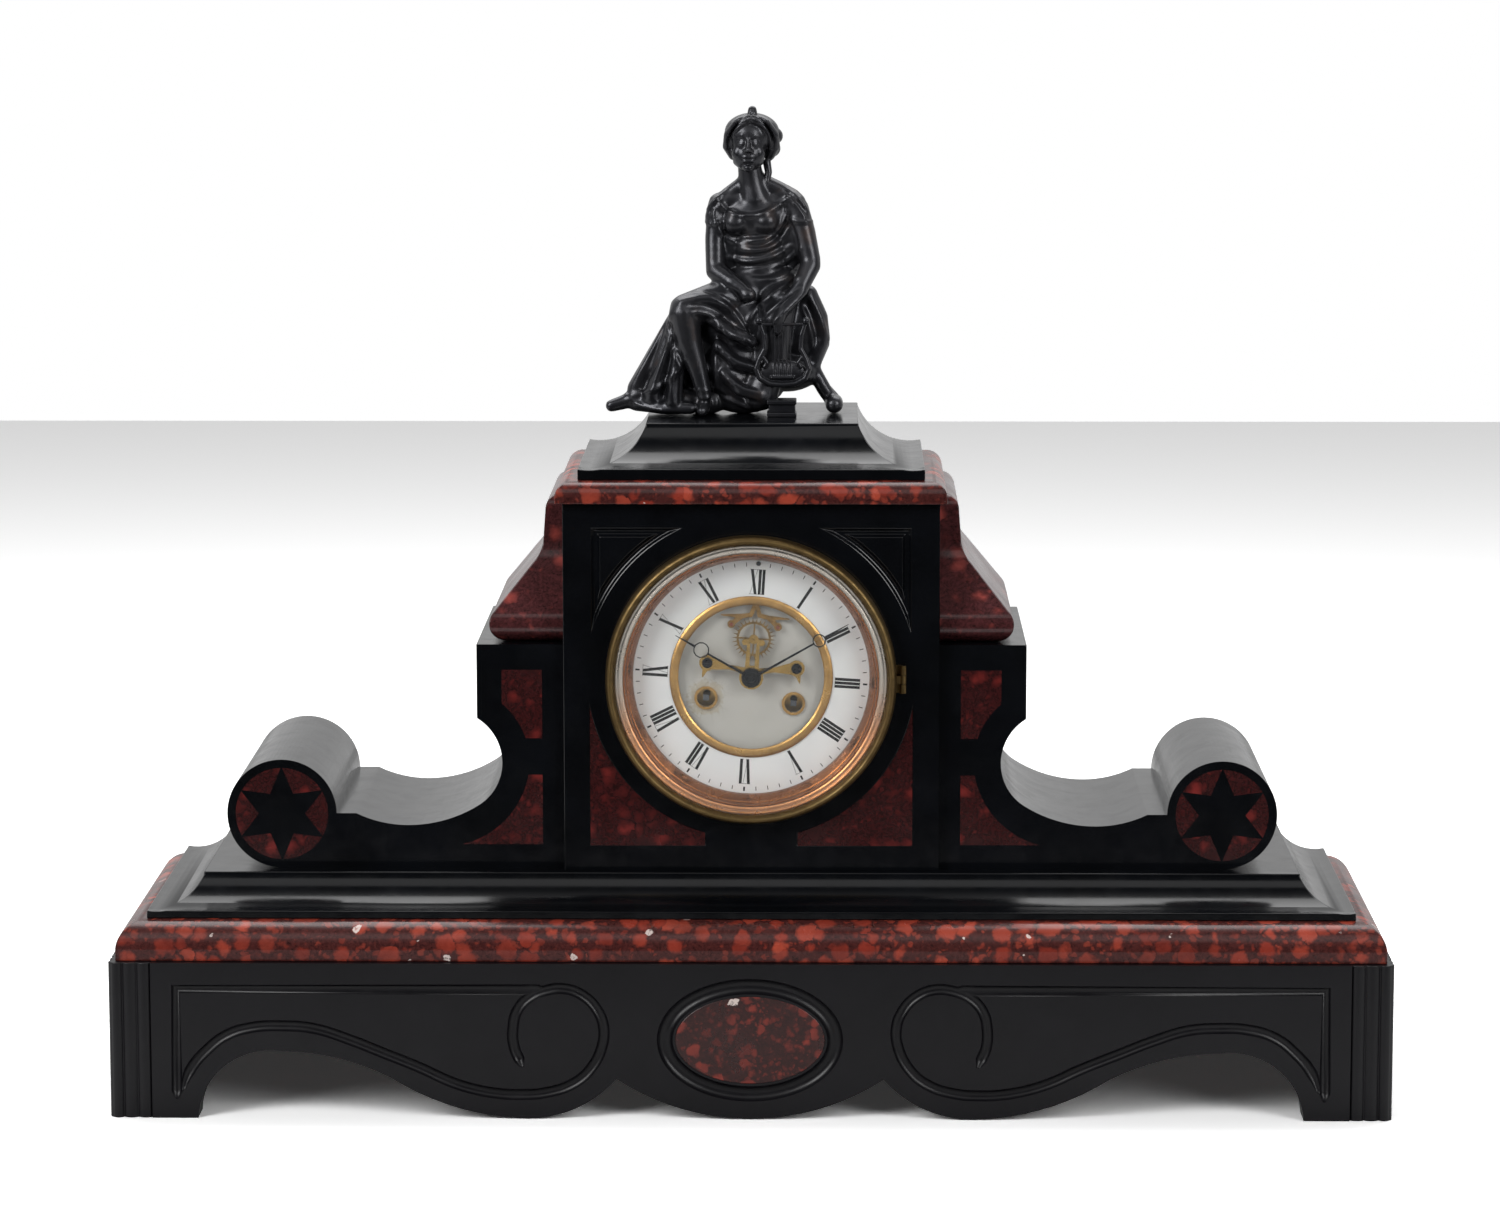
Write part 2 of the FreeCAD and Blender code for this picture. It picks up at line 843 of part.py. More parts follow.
def block_back():
    half = block_width / 2
    panel = box((-half, back_y - block_wall, block_z), (half, back_y, block_top_z))
    hole = round_bore(Vector(0, back_y - block_wall - overrun, dial_z), y_axis, movement_hole_radius,
                      block_wall + overrun + overrun)
    seat = round_bore(Vector(0, rear_ring_y, dial_z), y_axis, rear_ring_radius + door_clearance,
                      back_y - rear_ring_y + overrun)
    return panel.cut(hole).cut(seat)


# Wings

def turn_point(start, heading, radius, angle):
    """End and middle of an arc that leaves start along heading (degrees) and turns by angle."""
    side = 1 if angle > 0 else -1
    normal = math.radians(heading + 90 * side)
    centre = (start[0] + radius * math.cos(normal), start[1] + radius * math.sin(normal))
    places = []
    for share in (0.5, 1.0):
        place = normal + math.pi + math.radians(angle * share)
        places.append((centre[0] + radius * math.cos(place), centre[1] + radius * math.sin(place)))
    return places


def bay_points():
    """The hollow curve of the left wing, from under its neck down to the ledge by the scroll."""
    neck = (-(block_width / 2 + wing_width), block_z + wing_neck_height)
    reach = bay_top_radius * math.sin(math.radians(bay_turn))
    run = bay_top_radius * (1 - math.cos(math.radians(bay_turn)))
    waist = (neck[0] + run, neck[1] - reach)
    middle = turn_point(waist, 90, bay_top_radius, bay_turn)[0]
    lower = turn_point(waist, -90, bay_radius, -bay_turn)
    floor = turn_point(lower[1], -90 - bay_turn, bay_floor_radius, -bay_floor_turn)
    rise = turn_point(floor[1], -90 - bay_turn - bay_floor_turn, bay_rise_radius, -bay_rise_turn)
    return neck, middle, waist, lower, floor, rise


def wing():
    """The left wing: neck, hollow bay, ledge and a round scroll at its end."""
    y = wing_front_y
    neck, middle, waist, lower, floor, rise = bay_points()
    inner = -block_width / 2
    top = block_z + wing_height

    def at(point):
        return Vector(point[0], y, point[1])

    scroll_z = block_z + scroll_radius
    ledge = rise[1]
    ledge_rise = ledge[1] - scroll_z
    contact_x = -scroll_centre_x + math.sqrt(scroll_radius ** 2 - ledge_rise ** 2)
    contact = (contact_x, ledge[1])
    start = math.atan2(ledge_rise, contact_x + scroll_centre_x)
    end = math.radians(270)
    half_way = (start + end) / 2
    round_middle = (-scroll_centre_x + scroll_radius * math.cos(half_way),
                    scroll_z + scroll_radius * math.sin(half_way))
    foot = (-scroll_centre_x, block_z)
    edges = [
        line(at((inner, block_z)), at((inner, top))),
        line(at((inner, top)), at((neck[0], top))),
        line(at((neck[0], top)), at(neck)),
        arc(at(neck), at(middle), at(waist)),
        arc(at(waist), at(lower[0]), at(lower[1])),
        arc(at(lower[1]), at(floor[0]), at(floor[1])),
        arc(at(floor[1]), at(rise[0]), at(rise[1])),
        line(at(ledge), at(contact)),
        arc(at(contact), at(round_middle), at(foot)),
        line(at(foot), at((inner, block_z))),
    ]
    body = slab_from(edges, Vector(0, back_y - wing_front_y, 0))
    pockets = wing_inlay_solids(wing_front_y - overrun, overrun + inlay_thickness)
    pockets += star_solids(wing_front_y - overrun, overrun + inlay_thickness)
    return body.cut(pockets)


def wing_inlay_solids(y, depth):
    """Two inlays beside the block, each cut by an arc that follows the wing's hollow."""
    waist = bay_points()[2]
    centre = (waist[0] - bay_radius, waist[1])
    right = -(block_width / 2 + wing_inlay_inset)
    top = block_z + upper_inlay_top
    foot = block_z + upper_inlay_foot
    left = right - upper_inlay_width
    low_x = right - upper_inlay_step

    def on_arc_z(x, sign):
        return centre[1] + sign * math.sqrt(wing_inlay_arc ** 2 - (x - centre[0]) ** 2)

    def on_arc_x(z):
        return centre[0] + math.sqrt(wing_inlay_arc ** 2 - (z - centre[1]) ** 2)

    arc_top = (left, on_arc_z(left, 1))
    arc_foot = (on_arc_x(foot), foot)
    middle_z = (arc_top[1] + arc_foot[1]) / 2
    upper = slab_from([
        line(Vector(right, y, foot), Vector(right, y, top)),
        line(Vector(right, y, top), Vector(left, y, top)),
        line(Vector(left, y, top), Vector(arc_top[0], y, arc_top[1])),
        arc(Vector(arc_top[0], y, arc_top[1]), Vector(on_arc_x(middle_z), y, middle_z),
            Vector(arc_foot[0], y, foot)),
        line(Vector(arc_foot[0], y, foot), Vector(right, y, foot)),
    ], Vector(0, depth, 0))
    head = block_z + lower_inlay_top
    base = block_z + lower_inlay_foot
    start_x = right - lower_inlay_step
    end_x = right - lower_inlay_width
    bend_angle = math.radians(lower_inlay_bend)
    bend = Vector(centre[0] + wing_inlay_arc * math.cos(bend_angle), y,
                  centre[1] + wing_inlay_arc * math.sin(bend_angle))
    lower = slab_from([
        line(Vector(right, y, base), Vector(right, y, head)),
        line(Vector(right, y, head), Vector(start_x, y, head)),
        arc(Vector(start_x, y, head), bend, Vector(end_x, y, base)),
        line(Vector(end_x, y, base), Vector(right, y, base)),
    ], Vector(0, depth, 0))
    return [upper, lower]


def star_solids(y, depth):
    """Six red segments that leave a six-pointed star in the end of the left scroll."""
    centre = Vector(-scroll_centre_x, y, block_z + scroll_radius)
    step = math.pi / star_point_count
    segments = []

    def place(radius, angle):
        return Vector(centre.x + radius * math.cos(angle), y, centre.z + radius * math.sin(angle))

    for index in range(star_point_count):
        middle = 2 * index * step
        tip = star_tip_width / (2 * star_radius)
        first = place(star_radius, middle - step + tip)
        last = place(star_radius, middle + step - tip)
        notch = place(star_radius * star_inner_share, middle)
        edges = [arc(first, place(star_radius, middle), last), line(last, notch), line(notch, first)]
        segments.append(slab_from(edges, Vector(0, depth, 0)))
    return segments


def wing_inlays():
    left = wing_inlay_solids(wing_front_y, inlay_thickness)
    return left + [mirrored(solid) for solid in left]


def scroll_star_inlays():
    left = star_solids(wing_front_y, inlay_thickness)
    return left + [mirrored(solid) for solid in left]


# Consoles

def console_outline():
    """Reach from the inner plane against height: rounded shoulder, neck, hollow and rounded foot."""
    quarter = math.sqrt(0.5)
    height = console_height
    neck = console_neck
    bulge = console_bulge_radius
    turn = math.radians(console_cove_turn)
    cove_start = (neck + console_neck_slope, console_cove_height)
    cove_end = (cove_start[0] + console_cove_radius * (1 - math.cos(turn)),
                cove_start[1] - console_cove_radius * math.sin(turn))
    cove_middle = (cove_start[0] + console_cove_radius * (1 - math.cos(turn / 2)),
                   cove_start[1] - console_cove_radius * math.sin(turn / 2))
    bulge_centre = (console_foot - bulge, bulge)
    bulge_top = (bulge_centre[0] + bulge * math.sin(turn), bulge_centre[1] + bulge * math.cos(turn))
    return [
        ("line", [(bulge_centre[0], 0), (0, 0)]),
        ("line", [(0, 0), (0, height)]),
        ("line", [(0, height), (neck - console_shoulder, height)]),
        ("arc", [(neck - console_shoulder, height),
                 (neck - console_shoulder * (1 - quarter), height - console_shoulder * (1 - quarter)),
                 (neck, height - console_shoulder)]),
        ("line", [(neck, height - console_shoulder), cove_start]),
        ("arc", [cove_start, cove_middle, cove_end]),
        ("line", [cove_end, bulge_top]),
        ("arc", [bulge_top, (console_foot, bulge), (bulge_centre[0], 0)]),
    ]


def console():
    """The left console: one ogee on its outer side and the same on its front, mitred at the corner."""
    inner = -block_width / 2
    outline = console_outline()
    side_edges = []
    front_edges = []
    front_inner = console_front_y + console_foot
    for kind, points in outline:
        side_points = [Vector(inner - reach, front_y, console_z + rise) for reach, rise in points]
        if kind == "line":
            side_edges.append(line(*side_points))
        else:
            side_edges.append(arc(*side_points))
    for kind, points in outline[2:]:
        places = [Vector(inner, front_inner - reach, console_z + rise) for reach, rise in points]
        if kind == "line":
            first = places[0]
            if points is outline[2][1]:
                first = Vector(inner, back_y, console_z + console_height)
            front_edges.append(line(first, places[1]))
        else:
            front_edges.append(arc(*places))
    last = outline[-1][1][-1]
    front_edges.append(line(Vector(inner, front_inner - last[0], console_z), Vector(inner, back_y, console_z)))
    front_edges.append(line(Vector(inner, back_y, console_z),
                            Vector(inner, back_y, console_z + console_height)))
    across = slab_from(side_edges, Vector(0, base_depth, 0))
    along = slab_from(front_edges, Vector(-console_foot - overrun, 0, 0))
    return across.common(along)


# Figure

# Everything of the figure is in shares of its height: right, back, up, and the half width and half depth
skirt_shares = [(-0.195, 0.00, 0.000, 0.170, 0.105), (-0.205, 0.00, 0.095, 0.190, 0.110),
                (-0.170, -0.01, 0.215, 0.170, 0.105), (-0.125, -0.02, 0.340, 0.145, 0.095),
                (-0.110, -0.02, 0.385, 0.105, 0.070)]
seat_shares = [(0.060, 0.02, 0.000, 0.085, 0.090), (0.075, 0.02, 0.060, 0.105, 0.105),
               (0.085, 0.02, 0.135, 0.130, 0.120), (0.095, 0.02, 0.245, 0.150, 0.125),
               (0.085, 0.02, 0.320, 0.145, 0.115), (0.060, 0.02, 0.375, 0.110, 0.095)]
torso_shares = [(0.025, 0.01, 0.310, 0.165, 0.105), (0.025, 0.01, 0.400, 0.150, 0.090),
                (0.020, 0.00, 0.475, 0.130, 0.085), (0.012, 0.00, 0.565, 0.138, 0.097),
                (0.006, 0.00, 0.645, 0.155, 0.085), (0.002, 0.00, 0.690, 0.130, 0.068),
                (0.000, 0.00, 0.727, 0.068, 0.052)]
head_shares = [(-0.004, -0.015, 0.775, 0.030, 0.035), (-0.004, -0.015, 0.795, 0.045, 0.055),
               (-0.004, -0.010, 0.835, 0.058, 0.070), (-0.004, -0.008, 0.870, 0.062, 0.075),
               (-0.004, -0.005, 0.905, 0.058, 0.070), (-0.004, 0.000, 0.935, 0.040, 0.050)]
hair_shares = [(0.004, 0.030, 0.810, 0.052, 0.045), (0.000, 0.020, 0.850, 0.082, 0.070),
               (0.000, 0.015, 0.895, 0.091, 0.080), (-0.002, 0.010, 0.930, 0.078, 0.072),
               (-0.003, 0.005, 0.960, 0.045, 0.045)]
diadem_shares = [(-0.003, -0.045, 0.935, 0.018, 0.014), (-0.003, -0.040, 0.970, 0.021, 0.017),
                 (-0.003, -0.038, 0.998, 0.010, 0.008)]
book_shares = [(0.100, -0.065, 0.000, 0.056, 0.055), (0.100, -0.065, 0.050, 0.050, 0.050)]
limb_shares = [
    (-0.006, 0.00, 0.700, 0.053, -0.005, -0.01, 0.800, 0.047),
    (-0.118, 0.01, 0.655, 0.046, -0.118, -0.03, 0.462, 0.038),
    (-0.118, -0.03, 0.462, 0.038, -0.025, -0.11, 0.400, 0.026),
    (-0.025, -0.11, 0.398, 0.027, 0.012, -0.13, 0.375, 0.022),
    (0.135, 0.01, 0.665, 0.048, 0.178, -0.02, 0.480, 0.040),
    (0.178, -0.02, 0.480, 0.040, 0.096, -0.115, 0.345, 0.023),
    (0.096, -0.115, 0.340, 0.027, 0.082, -0.125, 0.275, 0.018),
    (-0.020, -0.01, 0.310, 0.095, -0.195, -0.11, 0.315, 0.073),
    (-0.195, -0.11, 0.310, 0.068, -0.155, -0.08, 0.075, 0.038),
    (-0.155, -0.075, 0.040, 0.038, -0.160, -0.125, 0.022, 0.022),
    (-0.340, 0.01, 0.060, 0.048, -0.470, 0.00, 0.026, 0.018),
    (-0.175, -0.04, 0.300, 0.080, -0.355, -0.01, 0.090, 0.060),
    (0.195, -0.02, 0.140, 0.026, 0.258, -0.03, 0.055, 0.021),
    (0.195, 0.09, 0.140, 0.026, 0.258, 0.10, 0.055, 0.021),
    (0.062, 0.05, 0.860, 0.040, 0.085, 0.045, 0.880, 0.022),
]
foot_scroll_shares = [(0.268, -0.055, 0.032, 0.030), (0.268, 0.075, 0.032, 0.030)]
foot_scroll_width_share = 0.05
lyre_shares = [(-0.075, 0.060), (-0.090, 0.100), (-0.080, 0.150), (-0.050, 0.165), (-0.058, 0.290),
               (-0.090, 0.325), (0.090, 0.325), (0.058, 0.290), (0.050, 0.165), (0.080, 0.150),
               (0.090, 0.100), (0.075, 0.060), (0.040, 0.040), (-0.040, 0.040)]
lyre_opening_shares = [(-0.050, 0.070), (-0.060, 0.105), (-0.030, 0.140), (-0.034, 0.290),
                       (0.034, 0.290), (0.030, 0.140), (0.060, 0.105), (0.050, 0.070)]
lyre_place_share = (0.095, -0.135, 0.055)
lyre_thickness_share = 0.03
ring_sides = 10
limb_sides = 8


def figure_point(right, back, up):
    """A place of the figure, from shares of its height."""
    return Vector(right * figure_height, figure_y + back * figure_height, cap_top_z + up * figure_height)


def skin(rings):
    """A closed faceted body through rings of points with equally many points in each."""
    faces = [facet(rings[0][::-1]), facet(rings[-1])]
    count = len(rings[0])
    for lower, upper in zip(rings[:-1], rings[1:]):
        for index in range(count):
            after = (index + 1) % count
            faces.append(facet([lower[index], lower[after], upper[after]]))
            faces.append(facet([lower[index], upper[after], upper[index]]))
    return Part.Solid(Part.Shell(faces))


def oval_ring(share):
    right, back, up, half_width, half_depth = share
    ring = []
    for index in range(ring_sides):
        angle = 2 * math.pi * (index + 0.5) / ring_sides
        ring.append(figure_point(right + half_width * math.cos(angle), back + half_depth * math.sin(angle), up))
    return ring


def round_ring(centre, axis, radius):
    """Points round an axis."""
    across = axis.cross(z_axis)
    if across.Length < abs(axis.z) / ring_sides:
        across = axis.cross(y_axis)
    across.normalize()
    upward = across.cross(axis)
    upward.normalize()
    ring = []
    for index in range(limb_sides):
        angle = 2 * math.pi * (index + 0.5) / limb_sides
        side = across * (radius * math.cos(angle))
        ring.append(centre.add(side).add(upward * (radius * math.sin(angle))))
    return ring[::-1]


def limb(shares):
    """A tapered limb with blunt rounded ends."""
    start = figure_point(*shares[0:3])
    end = figure_point(*shares[4:7])
    start_radius = shares[3] * figure_height
    end_radius = shares[7] * figure_height
    axis = end.sub(start)
    along = Vector(axis)
    along.normalize()
    rings = [
        round_ring(start.sub(along * (start_radius * 0.8)), axis, start_radius / 2),
        round_ring(start, axis, start_radius),
        round_ring(end, axis, end_radius),
        round_ring(end.add(along * (end_radius * 0.8)), axis, end_radius / 2),
    ]
    return skin(rings)


def foot_scroll(shares):
    """The rolled foot of the seat's leg, seen end on."""
    centre = figure_point(*shares[0:3])
    width = foot_scroll_width_share * figure_height
    near = Vector(centre.x, centre.y - width / 2, centre.z)
    far = Vector(centre.x, centre.y + width / 2, centre.z)
    radius = shares[3] * figure_height
    return skin([round_ring(near, y_axis, radius), round_ring(far, y_axis, radius)])


def lyre():
    """The lyre that leans on the seat: rounded sound box, two horns, crossbar and a band of strings."""
    foot = figure_point(*lyre_place_share)
    thick = lyre_thickness_share * figure_height
    outline = []
    for shares, depth, start in ((lyre_shares, thick, 0), (lyre_opening_shares, 2 * thick, -thick / 2)):
        ring = [Vector(foot.x + right * figure_height, foot.y + start, cap_top_z + up * figure_height)
                for right, up in shares]
        outline.append(Part.Face(Part.makePolygon(ring + [ring[0]])).extrude(Vector(0, depth, 0)))
    strings = box((foot.x - thick / 2, foot.y + thick / 3, foot.z + thick / 2),
                  (foot.x + thick / 2, foot.y + thick * 2 / 3, foot.z + 8 * thick))
    return [outline[0].cut(outline[1]), strings]


def figure():
    """The cast figure: skirt, seat, torso, head and hair, arms, legs, the seat's feet, a book and a lyre."""
    pieces = []
    for rings in (skirt_shares, seat_shares, torso_shares, head_shares, hair_shares, diadem_shares, book_shares):
        pieces.append(skin([oval_ring(share) for share in rings]))
    pieces += [limb(shares) for shares in limb_shares]
    pieces += [foot_scroll(shares) for shares in foot_scroll_shares]
    pieces += lyre()
    whole = fused(pieces)
    floor = box((-figure_height, front_y, cap_z), (figure_height, back_y, cap_top_z))
    return whole.cut(floor)


# Dial, casing ring and glazed bezel

def casing_ring():
    """Brass ring on the face of the block, with a tube into the hole, a lip for the dial and the hinge."""
    face = block_front_y
    tube_end = face + casing_tube_length
    outer = casing_tube_radius + casing_tube_wall
    seat = pan_back_y
    profile = [
        (casing_radius, face - casing_flange), (casing_radius, face), (outer, face), (outer, tube_end),
        (casing_tube_radius, tube_end), (casing_tube_radius, seat + casing_tube_wall),
        (casing_lip_radius, seat + casing_tube_wall), (casing_lip_radius, seat),
        (casing_tube_radius, seat), (casing_tube_radius, face - casing_flange),
    ]
    ring = turned_in_flats(profile, Vector(0, 0, dial_z), ring_flat_count)
    knuckle = hinge_knuckles(True)
    return fused([ring] + knuckle)


def hinge_x():
    return bezel_radius + hinge_radius + hinge_offset


def hinge_y():
    return block_front_y - casing_flange - hinge_radius


def hinge_barrel(low, high, bore_radius):
    length = high - low
    place = Vector(hinge_x(), hinge_y(), dial_z + low)
    barrel = round_bar(place, z_axis, hinge_radius, length)
    if bore_radius > 0:
        barrel = barrel.cut(round_bore(place, z_axis, bore_radius, length))
    return barrel


def hinge_knuckles(fixed):
    """Outer knuckles and the pin stay with the casing ring; the middle knuckle is the bezel's."""
    third = hinge_length / 3
    half = hinge_length / 2
    if not fixed:
        low = -third / 2 + hinge_gap
        high = third / 2 - hinge_gap
        barrel = hinge_barrel(low, high, hinge_pin_radius + pivot_clearance)
        tongue = box((bezel_radius - hinge_arm, bezel_back_y - hinge_radius, dial_z + low),
                     (hinge_x(), bezel_back_y, dial_z + high))
        opening = round_bore(Vector(hinge_x(), hinge_y(), dial_z + low), z_axis,
                             hinge_pin_radius + pivot_clearance, high - low)
        return [barrel, tongue.cut(opening)]
    pin = round_bar(Vector(hinge_x(), hinge_y(), dial_z - half), z_axis, hinge_pin_radius, hinge_length)
    pieces = [pin]
    for low, high in ((-half, -third / 2), (third / 2, half)):
        pieces.append(hinge_barrel(low, high, 0))
        pieces.append(box((casing_radius - hinge_arm, block_front_y - casing_flange, dial_z + low),
                          (hinge_x(), block_front_y, dial_z + high)))
        pieces.append(box((hinge_x() - hinge_radius, hinge_y(), dial_z + low),
                          (hinge_x(), block_front_y, dial_z + high)))
    return pieces


def bezel_ring():
    """The hinged ring: a bold outer bead, a hollow and a raised inner edge that holds the glass."""
    back = bezel_back_y
    front = bezel_front_y
    glass_back = glass_y + glass_thickness
    profile = [
        (bezel_radius, back), (bezel_radius, (back + front) / 2),
        (bezel_radius - bezel_shoulder_inset, front + bezel_shoulder_drop),
        (bezel_radius - bezel_crest_inset, front),
        (bezel_radius - bezel_lip_inset, front + bezel_lip_drop),
        (bezel_rebate_radius, glass_y), (bezel_rebate_radius, glass_back),
        (bezel_inner_radius, glass_back), (bezel_inner_radius, glass_back + bezel_bead),
        (bezel_inner_radius + bezel_shoulder_drop, back),
    ]
    ring = turned_in_flats(profile, Vector(0, 0, dial_z), ring_flat_count)
    return fused([ring] + hinge_knuckles(False))


def bezel_glass():
    radius = bezel_rebate_radius
    profile = [
        (0, glass_y), (radius - glass_bevel, glass_y), (radius, glass_y + glass_bevel_depth),
        (radius, glass_y + glass_thickness), (0, glass_y + glass_thickness),
    ]
    return turned_in_flats(profile, Vector(0, 0, dial_z), ring_flat_count)


def sight_ring():
    """Sloping copper-coloured ring between the glass and the dial; it swings with the bezel."""
    front = glass_y + glass_thickness
    back = chapter_front_y - sight_ring_clearance
    profile = [
        (bezel_inner_radius - sight_ring_wall, front), (bezel_inner_radius, front),
        (bezel_inner_radius, front + bezel_bead), (sight_ring_foot_radius + sight_ring_wall, back),
        (sight_ring_foot_radius, back),
    ]
    return turned_in_flats(profile, Vector(0, 0, dial_z), ring_flat_count)


def dial_pan():
    """Brass plate behind the enamel, with a sunk floor for the centre and feet to the front plate."""
    back = pan_back_y
    wall = chapter_inner_radius + pan_thickness
    floor = recess_back_y
    profile = [
        (pan_radius, chapter_back_y), (pan_radius, back), (wall, back), (wall, floor + pan_thickness),
        (pan_floor_radius, floor + pan_thickness), (pan_floor_radius, floor),
        (chapter_inner_radius, floor), (chapter_inner_radius, chapter_back_y),
    ]
    pan = turned_in_flats(profile, Vector(0, 0, dial_z), hidden_ring_flat_count)
    pan = pan.cut(bore(0, regulator_height, regulator_hole_radius, chapter_back_y - overrun, back + overrun))
    pan = pan.cut(bore(0, anchor_height, anchor_arbor_radius + hinge_gap, floor - overrun,
                       floor + pan_thickness + overrun))
    feet = []
    for angle in dial_foot_angles:
        u, w = polar(0, 0, (pan_floor_radius + chapter_inner_radius) / 2, angle)
        feet.append(rod(u, w, dial_foot_radius, floor, front_plate_y))
    return fused([pan] + feet)


def chapter_ring():
    """White enamel hour ring with the small regulator hole above twelve."""
    ring = turned_in_flats([
        (chapter_inner_radius, chapter_front_y), (chapter_radius, chapter_front_y),
        (chapter_radius, chapter_back_y), (chapter_inner_radius, chapter_back_y),
    ], Vector(0, 0, dial_z), ring_flat_count)
    hole = bore(0, regulator_height, regulator_hole_radius, chapter_front_y - overrun, chapter_back_y + overrun)
    return ring.cut(hole)


def centre_dial():
    """Sunk enamel centre with holes for the hands, both winding squares, the escapement and the bridge."""
    disc = turned_in_flats([(0, recess_front_y), (recess_radius, recess_front_y),
                            (recess_radius, recess_back_y), (0, recess_back_y)],
                           Vector(0, 0, dial_z), ring_flat_count)
    front = recess_front_y - overrun
    back = recess_back_y + overrun
    holes = [bore(0, 0, bridge_bore_radius, front, back)]
    for side in (-1, 1):
        holes.append(bore(side * winding_x, -winding_drop, ferrule_inner_radius, front, back))
        holes.append(bore(side * bridge_foot_x, bridge_foot_height, bridge_post_radius + hinge_gap, front, back))
    holes.append(bore(0, escape_height, arbor_radius + hinge_gap, front, back))
    holes.append(bore(0, anchor_height, anchor_arbor_radius + hinge_gap, front, back))
    return disc.cut(holes)


def gilt_ring():
    """Gilt moulding that covers the edge of the sunk centre."""
    back = chapter_front_y
    front = back - gilt_ring_height
    third = (gilt_ring_outer - gilt_ring_inner) / 3
    return turned_in_flats([
        (gilt_ring_inner, back), (gilt_ring_inner + third, front), (gilt_ring_outer - third, front),
        (gilt_ring_outer, back),
    ], Vector(0, 0, dial_z), ring_flat_count)


def winding_ferrules():
    """Two brass rings round the winding holes."""
    ferrules = []
    for side in (-1, 1):
        u, w = side * winding_x, -winding_drop
        outer = rod(u, w, ferrule_outer_radius, recess_front_y - ferrule_height, recess_front_y)
        inner = bore(u, w, ferrule_inner_radius, recess_front_y - ferrule_height, recess_front_y)
        ferrules.append(outer.cut(inner))
    return ferrules


# Wheels and pinions

def meshed_phase(toward, teeth_a, phase_a, teeth_b):
    """Phase of wheel b so that its teeth stand in the gaps of wheel a, which lies before it."""
    return toward + 180 - (180 - teeth_a * (toward - phase_a)) / teeth_b


def wheel_disc(u, w, module, teeth, phase, y0, y1):
    """A wheel with pointed teeth."""
    tip = module * teeth / 2 + module * tip_share
    root = module * teeth / 2 - module * root_share
    step = 360 / teeth
    ring = []
    for index in range(teeth):
        ring.append(polar(u, w, tip, phase + index * step))
        ring.append(polar(u, w, root, phase + index * step + step / 2))
    return movement_plate(ring, y0, y1)


def pinion(u, w, module, leaves, phase, y0, y1):
    """A pinion with narrow leaves."""
    tip = module * leaves / 2 + module * tip_share
    root = module * leaves / 2 - module * root_share
    step = 360 / leaves
    ring = []
    for index in range(leaves):
        middle = phase + index * step
        for radius, share in ((root, -leaf_root_share), (tip, -leaf_tip_share), (tip, leaf_tip_share),
                              (root, leaf_root_share)):
            ring.append(polar(u, w, radius, middle + share * step))
    return movement_plate(ring, y0, y1)


# Tooth height as shares of the module, and leaf width as shares of the pitch
tip_share = 0.75
root_share = 1.0
leaf_root_share = 0.2
leaf_tip_share = 0.1
crossing_count = 4
rim_corner_shares = [0.3, 0.5, 0.7]


def crossed_out(wheel, u, w, rim, hub, spoke, y0, y1):
    """Openings between a wheel's rim and hub leave a spoke between each two."""
    openings = []
    part_turn = 360 / crossing_count
    for index in range(crossing_count):
        start = part_turn * index
        end = start + part_turn
        wide = math.degrees(math.asin(spoke / 2 / rim))
        narrow = math.degrees(math.asin(spoke / 2 / hub))
        points = [polar(u, w, hub, start + narrow), polar(u, w, rim, start + wide)]
        for share in rim_corner_shares:
            points.append(polar(u, w, rim, start + part_turn * share))
        points += [polar(u, w, rim, end - wide), polar(u, w, hub, end - narrow)]
        openings.append(movement_plate(points, y0, y1))
    return wheel.cut(openings)


def train_places():
    """Arbor places and tooth phases, each worked out from the wheel before it."""
    going = (winding_x, -winding_drop)
    cd_great = great_module * (great_teeth + intermediate_pinion_leaves) / 2 + tooth_relief
    cd_centre = intermediate_module * (intermediate_teeth + centre_pinion_leaves) / 2 + tooth_relief
    span = math.hypot(*going)
    along = (cd_centre ** 2 - cd_great ** 2 + span ** 2) / (2 * span)
    aside = math.sqrt(cd_centre ** 2 - along ** 2)
    d = (going[0] / span, going[1] / span)
    intermediate = (along * d[0] + aside * d[1], along * d[1] - aside * d[0])
    cd_third = centre_module * (centre_teeth + third_pinion_leaves) / 2 + tooth_relief
    cd_escape = third_module * (third_teeth + escape_pinion_leaves) / 2 + tooth_relief
    third_w = (cd_third ** 2 - cd_escape ** 2 + escape_height ** 2) / (2 * escape_height)
    third = (-math.sqrt(cd_third ** 2 - third_w ** 2), third_w)
    places = {"going": going, "intermediate": intermediate, "centre": (0, 0), "third": third,
              "escape": (0, escape_height), "strike": (-winding_x, -winding_drop)}
    cd_hammer = strike_great_module * (great_teeth + intermediate_pinion_leaves) / 2 + tooth_relief
    places["hammer_wheel"] = polar(places["strike"][0], places["strike"][1], cd_hammer, hammer_wheel_angle)
    cd_fly = hammer_wheel_module * (hammer_wheel_teeth + fly_pinion_leaves) / 2 + tooth_relief
    places["fly"] = polar(places["hammer_wheel"][0], places["hammer_wheel"][1], cd_fly, fly_angle)
    places["minute_wheel"] = polar(0, 0, motion_distance, motion_angle)
    return places


def bearing(place, other):
    return math.degrees(math.atan2(other[1] - place[1], other[0] - place[0]))


